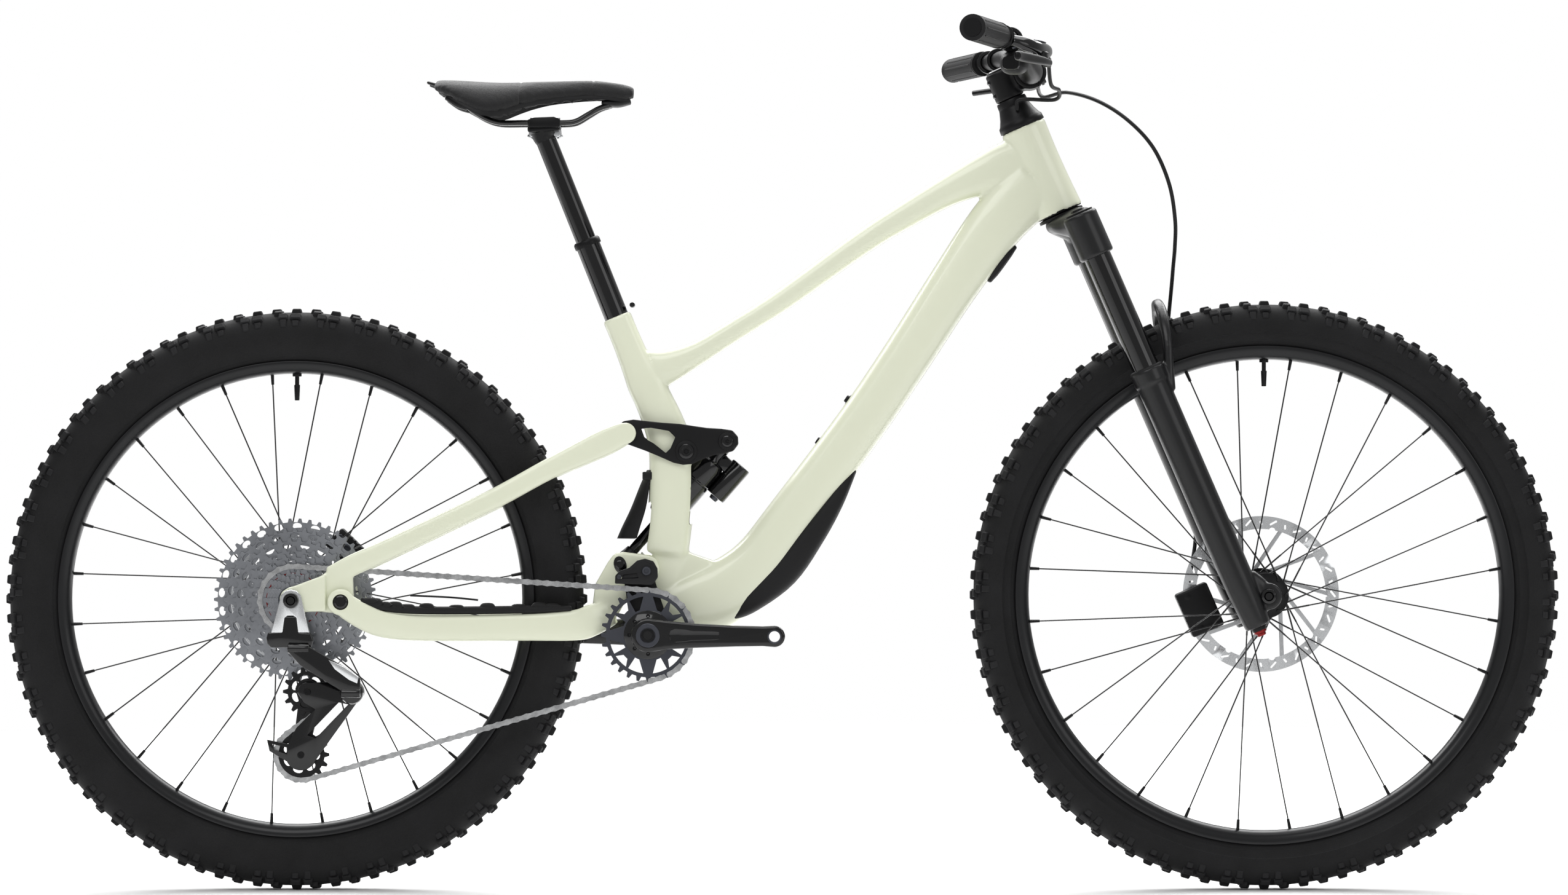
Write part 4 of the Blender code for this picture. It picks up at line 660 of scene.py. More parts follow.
def spoke_set(where, axle, flanges, inner):
    """One group of four crossed spokes with their nipples, repeated round the hub."""
    count = sizes().spokes
    spokes, nipples = [], []
    for i in range(4):
        flange = flanges[i % 2]
        lead = 1 if (i // 2) % 2 else -1
        at_rim = 2 * math.pi * (i + 0.5) / count
        at_hub = at_rim + lead * math.radians(58)
        hub_y = flange + 0.0026 * lead
        start = axle + Vector((0.0252 * math.cos(at_hub), hub_y, 0.0252 * math.sin(at_hub)))
        bed = inner + 0.0005
        end = axle + Vector((bed * math.cos(at_rim), 0.18 * flange, bed * math.sin(at_rim)))
        along = (end - start).normalized()
        spokes.append(rod(start, end, 0.0009, sides=8))
        spokes.append(rod(start, start + 0.040 * along, 0.00115, sides=8))
        spokes.append(rod(start + Vector((0, -0.0018 * lead, 0)), start + Vector((0, 0.0012 * lead, 0)),
                          0.0021, sides=8))
        nipples.append(rod(end - 0.0125 * along, end, 0.0018, 0.0022, 8))
    piece("spokes_" + where, round_axle(together("spokes", spokes), axle, count // 4), where + "_wheel",
          gloss_black(), [where + "_spokes"], 50)
    piece("nipples_" + where, round_axle(together("nipples", nipples), axle, count // 4),
          where + "_wheel", anodised())


def hub(where, axle, half, flanges, bore, rotor_y, driver=0.0):
    """Hub shell with two waisted flanges, a splined brake seat and end caps."""
    left, right = flanges
    outline = [(bore, -half), (bore + 0.0042, -half), (bore + 0.0050, -half + 0.0008)]
    if driver:
        outline += [(bore + 0.0050, -half + 0.003), (driver, -half + 0.0036), (driver, left - 0.0060)]
    else:
        outline += [(bore + 0.0050, left - 0.0090), (0.0150, left - 0.0080), (0.0165, left - 0.0060)]
    for y, other in ((left, 1), (right, -1)):
        face = [(0.0165, y - 0.0052), (0.0200, y - 0.0036), (0.0235, y - 0.0022), (0.0282, y - 0.0019),
                (0.0290, y - 0.0012), (0.0290, y + 0.0012), (0.0282, y + 0.0019), (0.0235, y + 0.0022),
                (0.0200, y + 0.0036), (0.0165, y + 0.0052)]
        outline += face
        if other > 0:
            outline += [(0.0135, y + 0.014), (0.0135, right - 0.014)]
    outline += [(0.0200, right + 0.0060), (0.0200, rotor_y - 0.0012), (0.0178, rotor_y - 0.0012),
                (0.0178, rotor_y + 0.0028), (bore + 0.0050, rotor_y + 0.0034), (bore + 0.0050, half - 0.0008),
                (bore + 0.0042, half), (bore, half)]
    shell = lathe("hub", outline, axle, SIDE, 48)
    piece("hub_" + where, shell, where + "_wheel", anodised(), [where + "_hub"], 35)
    ring = lathe("lockring", [(bore + 0.0070, rotor_y + 0.0012), (0.0205, rotor_y + 0.0012),
                              (0.0205, rotor_y + 0.0024), (0.0180, rotor_y + 0.0034),
                              (bore + 0.0070, rotor_y + 0.0034)], axle, SIDE, 36)
    teeth = brick(axle + Vector((bore + 0.0070, rotor_y + 0.0024, 0)), (0.0016, 0.0022, 0.0012))
    round_axle(teeth, axle, 20)
    piece("brake_lockring_" + where, [ring, teeth], where + "_wheel", dark_ring())


def rotor(where, axle, radius, y):
    """Slotted brake track on slanted arms round a black splined carrier."""
    track_in = radius - 0.0165
    track = lathe("track", [(track_in, y - 0.0009), (radius, y - 0.0009), (radius, y + 0.0009),
                            (track_in, y + 0.0009)], axle, SIDE, 120)
    count = round(radius * 180)
    slots = []
    for k, (r, lean, long) in enumerate(((radius - 0.0075, 0.9, 0.0105), (radius - 0.0090, -0.35, 0.0060))):
        turn = k * math.pi / count
        middle = axle + Vector((r * math.cos(turn), y, r * math.sin(turn)))
        slots.append(brick(middle, (long, 0.006, 0.0026), (0, -turn + lean, 0), 0.0011, 2))
    cutter = round_axle(together("slots", slots), axle, count)
    cut(track, cutter)
    scallop = rod(axle + Vector((track_in - 0.0012, y - 0.004, 0)),
                  axle + Vector((track_in - 0.0012, y + 0.004, 0)),
                  0.0042, sides=16)
    cut(track, round_axle(scallop, axle, count // 2))
    arms = []
    for lean, low, high in ((0.62, 0.031, track_in + 0.004),):
        a = Vector((low * math.cos(lean), 0, low * math.sin(lean)))
        b = Vector((high, 0, 0))
        middle, span = (a + b) / 2, b - a
        turn = math.atan2(-span.z, span.x)
        arms.append(brick(axle + middle + y * SIDE, (span.length, 0.0017, 0.0052), (0, turn, 0), 0.0005, 1))
    spider = round_axle(together("arms", arms), axle, 10)
    piece("rotor_" + where, bevelled(track, 0.0002, 1, 50), where + "_wheel", bright_steel(),
          [where + "_rotor"])
    piece("rotor_arms_" + where, spider, where + "_wheel", steel())
    ring = [(0.0181, y - 0.0011), (0.0330, y - 0.0011), (0.0335, y), (0.0330, y + 0.0011),
            (0.0181, y + 0.0011)]
    carrier = lathe("carrier", ring, axle, SIDE, 60)
    piece("rotor_carrier_" + where, carrier, where + "_wheel", anodised())


WHEELS = (("rear", REAR, 0.3035, 0.287), ("front", FRONT, 0.318, 0.300))


class BIKE_OT_tyres(bpy.types.Operator):
    """Two knobbly tyres"""
    bl_idname = "bike.tyres"
    bl_label = "Tyres"

    def execute(self, context):
        tyre("rear", REAR, sizes().rear_tyre, 0.3035)
        tyre("front", FRONT, sizes().front_tyre, 0.318)
        return {"FINISHED"}


class BIKE_OT_wheels(bpy.types.Operator):
    """Rims, spokes, valves, hubs and brake rotors"""
    bl_idname = "bike.wheels"
    bl_label = "Wheels"

    def execute(self, context):
        for where, axle, outer, inner in WHEELS:
            rim(where, axle, outer, inner)
        spoke_set("rear", REAR, (-0.0225, 0.036), 0.287)
        spoke_set("front", FRONT, (-0.031, 0.030), 0.300)
        hub("rear", REAR, 0.074, (-0.0225, 0.036), 0.0063, 0.0572, 0.0132)
        hub("front", FRONT, 0.055, (-0.031, 0.030), 0.0078, 0.0440)
        rotor("rear", REAR, 0.090, 0.0572)
        rotor("front", FRONT, 0.100, 0.0440)
        return {"FINISHED"}


# ---- drivetrain -----------------------------------------------------------------------------
def toothed(teeth, centre, low, high, tip=0.0022, root=0.0030, half=0.25, bevel=0.0):
    """A toothed disc: four points to each tooth round the pitch circle."""
    pitch = pitch_radius(teeth)
    outline = []
    for k in range(teeth):
        for shift, radius in ((-half, pitch - root), (-0.12, pitch + tip), (0.12, pitch + tip),
                              (half, pitch - root)):
            angle = 2 * math.pi * (k + shift) / teeth
            outline.append((centre.x + radius * math.cos(angle), centre.z + radius * math.sin(angle)))
    return plate(outline, low, high, bevel, 1)


def spun_holes(centre, radius, y, size, count, turn=0.0, stretch=1.0):
    """A ring of cutters along Y, oval if stretched."""
    spot = centre + Vector((radius * math.cos(turn), y, radius * math.sin(turn)))
    hole = rod(spot - 0.008 * SIDE, spot + 0.008 * SIDE, size, sides=12)
    if stretch != 1.0:
        around = Matrix.Rotation(-turn, 4, "Y")
        grow = (Matrix.Translation(spot) @ around @ Matrix.Diagonal((1, 1, stretch, 1))
                @ around.inverted() @ Matrix.Translation(-spot))
        hole.data.transform(grow)
    return round_axle(hole, centre, count)


class BIKE_OT_cassette(bpy.types.Operator):
    """Twelve cogs, pierced and joined by pins"""
    bl_idname = "bike.cassette"
    bl_label = "Cassette"

    def execute(self, context):
        cogs, first = [], -CHAINLINE - CHAIN_COG * COG_STEP
        for i, teeth in enumerate(COGS):
            y = first + i * COG_STEP
            centre = Vector((REAR.x, 0, REAR.z))
            cog = toothed(teeth, centre, y - 0.0008, y + 0.0008, 0.0018)
            pitch = pitch_radius(teeth)
            inner = 0.0137 if i < 3 else pitch_radius(COGS[i - 1]) - 0.0075
            cut(cog, across(centre, y - 0.01, y + 0.01, inner, 60))
            if i > 3:
                band = (pitch - 0.0035 + pitch_radius(COGS[i - 1])) / 2
                size = (pitch - pitch_radius(COGS[i - 1])) * 0.33
                cut(cog, spun_holes(centre, band, y, size, teeth // 2, i * 0.3, 1.5 if i > 7 else 1.2))
            cogs.append(bevelled(cog, 0.0002, 1, 50))
            if i > 2:
                pin_r = pitch_radius(COGS[i - 1]) - 0.0050
                pin = rod((centre.x + pin_r, y - COG_STEP, centre.z), (centre.x + pin_r, y, centre.z), 0.0011,
                          sides=8)
                cogs.append(round_axle(pin, centre, 10 if i < 8 else 15))
        piece("cassette_cogs", cogs, "cassette_body", cog_steel(), ["cassette"], 30)
        lock = lathe("lockring", [(0.0137, first - 0.0008), (0.0176, first - 0.0010),
                                  (0.0176, first - 0.0024),
                                  (0.0155, first - 0.0030), (0.0137, first - 0.0030)], REAR, SIDE, 36)
        red = lathe("cluster ring", [(0.0330, first + 4.35 * COG_STEP), (0.0345, first + 4.35 * COG_STEP),
                                     (0.0345, first + 4.62 * COG_STEP), (0.0330, first + 4.62 * COG_STEP)],
                    REAR, SIDE, 60)
        piece("cassette_lockring", lock, "cassette_body", dark_ring())
        piece("cassette_cluster_ring", red, "cassette_body", accent())
        return {"FINISHED"}


def chain_line():
    """The chain's run as a closed line of touching arcs and straights."""
    wheels = [(BB, pitch_radius(28), -1), (REAR, pitch_radius(COGS[CHAIN_COG]), -1),
              (PULLEYS[0], pitch_radius(14), 1), (PULLEYS[1], pitch_radius(16), -1)]
    touches = []
    for i, (centre, radius, side) in enumerate(wheels):
        after, next_r, next_side = wheels[(i + 1) % 4]
        apart = after - centre
        lean = math.acos((side * radius - next_side * next_r) / math.hypot(apart.x, apart.z))
        touches.append((math.atan2(apart.z, apart.x) + lean, centre, radius, side))
    line = []
    for i, (heading, centre, radius, side) in enumerate(touches):
        before = touches[i - 1][0]
        turn = (heading - before + math.pi) % (2 * math.pi) - math.pi
        turn += 2 * math.pi if side < 0 and turn < 0 else 0
        turn -= 2 * math.pi if side > 0 and turn > 0 else 0
        steps = max(3, math.ceil(abs(turn) / math.radians(3)))
        for k in range(steps + 1):
            angle = before + turn * k / steps
            line.append(Vector((centre.x + side * radius * math.cos(angle), -CHAINLINE,
                                centre.z + side * radius * math.sin(angle))))
    return line


def link(inner):
    """One link lying along X: two waisted plates, and for an inner link its rollers."""
    pitch, high, waist = 0.0127, 0.0040, 0.0028
    outline = []
    for end, start in ((pitch, -90), (0.0, 90)):
        for k in range(6):
            angle = math.radians(start + 18 + 28.8 * k)
            outline.append((end + high * math.cos(angle), high * math.sin(angle)))
        outline.append((pitch / 2, waist if end else -waist))
    thick = 0.0008
    low = 0.00095 if inner else 0.0018
    parts = [plate(outline, low, low + thick), plate(outline, -low - thick, -low)]
    if inner:
        for x in (0.0, pitch):
            parts.append(rod((x, -0.00095, 0), (x, 0.00095, 0), 0.0038, sides=10))
    else:
        for x in (0.0, pitch):
            parts.append(rod((x, -0.0027, 0), (x, 0.0027, 0), 0.0017, sides=8))
    return together("link", parts)


class BIKE_OT_chain(bpy.types.Operator):
    """Chain of inner and outer links on its real run"""
    bl_idname = "bike.chain"
    bl_label = "Chain"

    def execute(self, context):
        line = chain_line()
        line.append(line[0])
        lengths = [0.0]
        for a, b in zip(line, line[1:]):
            lengths.append(lengths[-1] + (b - a).length)
        count = 2 * round(lengths[-1] / 0.0127 / 2)
        joints, k = [], 0
        for i in range(count):
            want = lengths[-1] * i / count
            while lengths[k + 1] < want:
                k += 1
            t = (want - lengths[k]) / max(1e-9, lengths[k + 1] - lengths[k])
            joints.append(line[k].lerp(line[k + 1], t))
        patterns = (link(True), link(False))
        links = []
        for i, start in enumerate(joints):
            along = joints[(i + 1) % count] - start
            turn = Matrix.Rotation(math.atan2(-along.z, along.x), 4, "Y")
            fit = Matrix.Diagonal((along.length / 0.0127, 1, 1, 1))
            links.append(copied(patterns[i % 2], Matrix.Translation(start) @ turn @ fit))
        for pattern in patterns:
            bpy.data.objects.remove(pattern)
        chain = piece("chain_links", links, None, chain_steel(), ["chain"], 30)
        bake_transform(chain)
        return {"FINISHED"}


# ---- frame ----------------------------------------------------------------------------------
def swung(point, centre, angle):
    """Where a point of the rear suspension stands after turning about the centre."""
    arm = point - centre
    c, s = math.cos(angle), math.sin(angle)
    return centre + Vector((arm.x * c + arm.z * s, 0, arm.z * c - arm.x * s))


def shock_way():
    """Cutters for the shock's way through the seat tube, in four stages of its stroke."""
    cutters = []
    for share, near, far in ((0.0, -0.020, 0.142), (0.33, -0.005, 0.143), (0.67, 0.005, 0.143),
                             (1.0, 0.010, 0.145)):
        start = swung(EYE, ROCKER, share * math.radians(43.57))
        end = swung(FOOT, MAIN, share * math.radians(17))
        along = (end - start).normalized()
        turn = (0, math.atan2(-along.z, along.x), 0)
        cutters.append(brick(start + (near + far) / 2 * along, (far - near, 0.049, 0.049), turn, 0.006, 3))
        cutters.append(rod(start + 0.12 * along, start + 0.172 * along, 0.0095))
    return cutters


class BIKE_OT_frame(bpy.types.Operator):
    """Moulded front frame with soft junctions, bosses, guard, bumper and shock fender"""
    bl_idname = "bike.frame"
    bl_label = "Frame"

    def execute(self, context):
        mid = (HEAD_TOP + RACE) / 2
        head = tube("head", [(HEAD_TOP, 0.0295, 0.0290), (mid - 0.02 * DOWN, 0.0285, 0.0270),
                             (mid + 0.02 * DOWN, 0.0290, 0.0275), (RACE, 0.0305, 0.0305)], 40, 0.95)
        top = tube("top", [
            (at(mid, -0.004, 0.010), 0.034, 0.022), (at(mid, -0.040, 0.006), 0.031, 0.0215),
            (at(mid, -0.070, -0.004), 0.0265, 0.0225), (at(mid, -0.118, -0.026), 0.0200, 0.0220),
            (at(mid, -0.175, -0.059), 0.0170, 0.0210), (at(mid, -0.230, -0.094), 0.0155, 0.0200),
            (at(BB, 0.172, 0.4270), 0.0142, 0.0190), (at(BB, 0.115, 0.3905), 0.0137, 0.0185),
            (at(BB, 0.066, 0.3600), 0.0150, 0.0180), (at(BB, 0.030, 0.3430), 0.0205, 0.0180),
            (at(BB, 0.008, 0.3360), 0.0260, 0.0175)], 40, 0.68)
        down = tube("down", [
            (at(mid, -0.008, -0.018), 0.039, 0.026), (at(mid, -0.058, -0.070), 0.0360, 0.0300),
            (at(mid, -0.113, -0.148), 0.0325, 0.0315), (at(mid, -0.170, -0.236), 0.0315, 0.0325),
            (at(mid, -0.230, -0.3245), 0.0315, 0.0325), (at(BB, 0.182, 0.148), 0.0330, 0.0325),
            (at(BB, 0.140, 0.090), 0.0365, 0.032), (at(BB, 0.100, 0.056), 0.0410, 0.031),
            (at(BB, 0.060, 0.036), 0.0420, 0.029), (at(BB, 0.005, 0.020), 0.0360, 0.026)], 40, 0.70)
        seat = tube("seat", [
            (SEAT_TOP, 0.0185, 0.0190), (at(BB, -0.0290, 0.3744), 0.0185, 0.0190),
            (at(BB, -0.0165, 0.3444), 0.0200, 0.0200), (at(BB, -0.0050, 0.3200), 0.0235, 0.0205),
            (at(BB, 0.005, 0.2994), 0.0240, 0.0215), (at(BB, 0.020, 0.2644), 0.0262, 0.0270),
            (at(BB, 0.0285, 0.2300), 0.0285, 0.0325), (at(BB, 0.0285, 0.1704), 0.0290, 0.0325),
            (at(BB, 0.0250, 0.1300), 0.0285, 0.0325), (at(BB, 0.0215, 0.1070), 0.0290, 0.0318),
            (at(BB, 0.0200, 0.0960), 0.0310, 0.0228), (at(BB, 0.012, 0.0650), 0.0320, 0.0215),
            (at(BB, 0.004, 0.0100), 0.0300, 0.0215)], 40, 0.62, steps=4)
        web = plate([(BB.x + x, BB.z + z) for x, z in ((0.022, 0.125), (0.050, 0.104), (0.082, 0.093),
                                                       (0.118, 0.092), (0.100, 0.020), (0.020, 0.03))],
                    -0.0185, 0.0185, 0.004, 3)
        brace = plate([(mid.x + x, mid.z + z) for x, z in ((-0.014, 0.010), (-0.070, -0.012),
                                                           (-0.078, -0.030),
                                                           (-0.074, -0.048), (-0.058, -0.060),
                                                           (-0.010, -0.040))],
                      -0.0170, 0.0170, 0.005, 3)
        shell = across(BB, -0.0365, 0.0365, 0.0268, 48)
        boss = across(ROCKER, -0.0325, 0.0325, 0.0160, 40)
        lug = across(MAIN, -0.0222, 0.0222, 0.0170, 40)
        body = fused("frame", [seat, down, top, head, web, brace, shell, boss, lug], sizes().frame_voxel, 7)
        cutters = shock_way() + [across(BB, -0.05, 0.05, 0.0213, 40),
                                 rod(HEAD_TOP - 0.02 * DOWN, HEAD_TOP + 0.004 * DOWN, 0.0240, sides=40),
                                 rod(RACE - 0.004 * DOWN, RACE + 0.02 * DOWN, 0.0262, sides=40),
                                 rod(SEAT_TOP - 0.105 * POST_UP, SEAT_TOP + 0.03 * POST_UP, 0.0158, sides=32)]
        piece("frame_body", cut(body, *cutters), "frame", paint(), ["main_frame"], 32)
        self.fittings(mid)
        return {"FINISHED"}

    def fittings(self, mid):
        guard = tube("guard", [(at(BB, 0.262, 0.214), 0.0050, 0.0200), (at(BB, 0.236, 0.168), 0.0120, 0.0310),
                               (at(BB, 0.207, 0.125), 0.0170, 0.0332), (at(BB, 0.172, 0.078), 0.0190, 0.0332),
                               (at(BB, 0.130, 0.042), 0.0150, 0.0300), (at(BB, 0.104, 0.022), 0.0070,
                                       0.0220)],
                     32, 0.6, cap=0.004)
        piece("frame_guard", guard, "frame", soft_rubber(), ["downtube_guard"], 40)
        bumper = tube("bumper", [(at(mid, -0.0355, -0.0985), 0.0045, 0.011),
                                 (at(mid, -0.0440, -0.1070), 0.0070, 0.016),
                                 (at(mid, -0.0600, -0.1290), 0.0070, 0.016), (at(mid, -0.0665, -0.1400),
                                         0.0045, 0.011)],
                      24, 0.7, cap=0.003)
        piece("fork_bumper", bumper, "frame", soft_rubber(), smooth=45)
        line = [(-0.1690, 0.5340, 0.004), (-0.1715, 0.5150, 0.010), (-0.1765, 0.4850, 0.017),
                (-0.1835, 0.4620, 0.021),
                (-0.1880, 0.4470, 0.023)]
        rings = []
        for x, z, deep in smooth_rows(line, 5):
            half = 0.0205
            ring = [Vector((x - deep * (1 - abs(y / half) ** 2.5), y, z))
                    for y in [half * (k / 10 - 1) for k in range(21)]]
            ring += [p + Vector((0.0018, 0, 0.0004)) for p in reversed(ring)]
            rings.append(ring)
        fender = skin("fender", rings)
        legs = [brick((-0.171, side * 0.0215, 0.527), (0.014, 0.004, 0.010), None, 0.0012)
                for side in (-1, 1)]
        piece("shock_fender", [fender] + legs, "frame", plastic(), smooth=40)
        bolts = []
        for x, z, axis in ((0.0830, 0.6245, -1), (0.0460, 0.5710, -1), (-0.0500, 0.7135, 1),
                           (-0.1080, 0.6790, 1)):
            normal = Vector((-0.83, 0, 0.56)) if axis < 0 else Vector((0.53, 0, -0.85))
            bolts.append(bolt(Vector((x, 0, z)) - 0.0015 * normal, normal, 0.0050, 0.0045))
            bolts.append(rod(Vector((x, 0, z)) - 0.004 * normal, Vector((x, 0, z)) - 0.0005 * normal, 0.0072))
        piece("bottle_bolts", bolts, "frame", anodised())
        port = [rod(HEAD_TOP - 0.0000 * DOWN, HEAD_TOP - 0.001 * DOWN, 0.0275, sides=48),
                lathe("bearing", [(0.0160, 0), (0.0232, 0), (0.0232, 0.0077), (0.0160, 0.0077)], HEAD_TOP,
                      DOWN, 40)]
        piece("upper_bearing", port, "frame", anodised(), ["headset_upper_bearing"])
        low = [lathe("bearing", [(0.0192, 0), (0.0256, 0), (0.0256, 0.0077), (0.0192, 0.0077)],
                     RACE - 0.0077 * DOWN, DOWN, 40),
               lathe("seal", [(0.0260, -0.0020), (0.0296, -0.0020), (0.0290, 0.0005), (0.0260, 0.0005)], RACE,
                     DOWN, 48)]
        piece("lower_bearing", low, "frame", anodised(), ["headset_lower_bearing"])
        cups = []
        for side in (-1, 1):
            cups.append(lathe("cup", [(0.0150, 0.0368), (0.0233, 0.0368), (0.0233, 0.0395), (0.0222, 0.0445),
                                      (0.0190, 0.0445), (0.0150, 0.0440)], BB, side * SIDE, 48))
            cups.append(round_axle(brick(at(BB, 0.0228, 0.0, side * 0.0395), (0.0016, 0.0040, 0.0030)), BB,
                                   16))
        piece("bottom_bracket_cups", cups, "frame", anodised(), ["bottom_bracket"])
        ring = lathe("collar", [(0.0159, 0.0003), (0.0200, 0.0003), (0.0207, 0.0015), (0.0207, 0.0110),
                                (0.0200, 0.0128), (0.0159, 0.0128)], SEAT_TOP, POST_UP, 48)
        ear = brick(SEAT_TOP + 0.0065 * POST_UP + Vector((0.0212, 0, 0.0083)), (0.011, 0.0165, 0.0122),
                    (0, -math.radians(21.8), 0), 0.0018, 3)
        slot_cut = brick(SEAT_TOP + 0.0065 * POST_UP + Vector((0.0225, 0, 0.0090)), (0.018, 0.0022, 0.02),
                         (0, -math.radians(21.8), 0))
        screw = rod(SEAT_TOP + 0.0065 * POST_UP + Vector((0.0225, -0.0105, 0.0088)),
                    SEAT_TOP + 0.0065 * POST_UP + Vector((0.0225, 0.0105, 0.0088)), 0.0034, sides=20,
                    bevel=0.0006)
        piece("seat_collar", [cut(together("collar", [ring, ear]), slot_cut), screw], "frame", gloss_black(),
              ["seat_clamp"])


class BIKE_OT_chain_guide(bpy.types.Operator):
    """Upper chain guide with its slider, roof and bolt"""
    bl_idname = "bike.chain_guide"
    bl_label = "Chain guide"

    def execute(self, context):
        top = at(BB, -0.022, pitch_radius(28) + 0.0165)
        face = [(-0.020, -0.008), (-0.0195, 0.002), (-0.014, 0.008), (-0.002, 0.012), (0.008, 0.021),
                (0.018, 0.0235), (0.029, 0.020), (0.034, 0.011), (0.0345, 0.000), (0.030, -0.007),
                (0.026, -0.0098), (0.010, -0.0090)]
        front = plate([(top.x + x, top.z + z) for x, z in face], -0.0600, -0.0565, 0.0012, 2)
        window = plate([(top.x + x, top.z + z) for x,
                        z in ((-0.013, -0.002), (-0.009, 0.0035), (0.008, 0.0055),
                                                            (0.010, -0.001))], -0.07, -0.05)
        cut(front, window)
        roof = plate([(top.x + x, top.z + z) for x, z in ((-0.012, -0.003), (-0.010, 0.004), (0.012, 0.012),
                                                          (0.026, 0.010), (0.026, 0.001))],
                     -0.058, -0.0372, 0.0012, 2)
        lip = plate([(top.x + x, top.z + z) for x, z in ((-0.0195, 0.002), (-0.014, 0.008), (-0.002, 0.012),
                                                         (0.008, 0.021), (0.018, 0.0235), (0.029, 0.020),
                                                         (0.028, 0.017),
                                                         (0.018, 0.0200), (0.010, 0.0180), (0.000, 0.009),
                                                         (-0.012, 0.005))], -0.0605, -0.0500, 0.0008, 2)
        spread = [math.radians(140 + 260 * k / 24) for k in range(25)]
        disc = [(BB.x + 0.031 * math.cos(a), BB.z + 0.031 * math.sin(a)) for a in spread]
        back = plate(disc + [(top.x + 0.026, top.z + 0.009), (top.x - 0.010, top.z + 0.003)], -0.0400,
                     -0.0368,
                     0.0008, 2)
        cut(back, across(BB, -0.05, -0.03, 0.0235, 48))
        screw = bolt(at(top, 0.020, 0.008, -0.0600), -SIDE, 0.0062, 0.0035)
        small = bolt(at(top, -0.0145, 0.0005, -0.0600), -SIDE, 0.0030, 0.0015)
        piece("guide_body", [front, roof, back, lip], "frame", plastic(), ["chain_guide"], 35)
        piece("guide_bolts", [screw, small], "frame", dark_ring())
        return {"FINISHED"}


# ---- rear end -------------------------------------------------------------------------------
def pivot_cap(centre, y, radius, tall=0.0045):
    """A domed pivot bolt head facing away from the middle plane, with a hexagon socket."""
    side = 1 if y > 0 else -1
    face = [(0.0001, 0), (radius, 0), (radius, 0.3 * tall), (0.93 * radius, 0.72 * tall),
            (0.66 * radius, tall), (0.60 * radius, tall), (0.56 * radius, 0.80 * tall), (0.0001, 0.80 * tall)]
    head = lathe("cap", face, Vector((centre.x, y, centre.z)), side * SIDE, 36)
    y_out = y + side * tall
    hexagon = rod((centre.x, y_out - side * 0.0030, centre.z), (centre.x, y_out + side * 0.002, centre.z),
                  0.36 * radius, sides=6)
    return cut(head, hexagon)


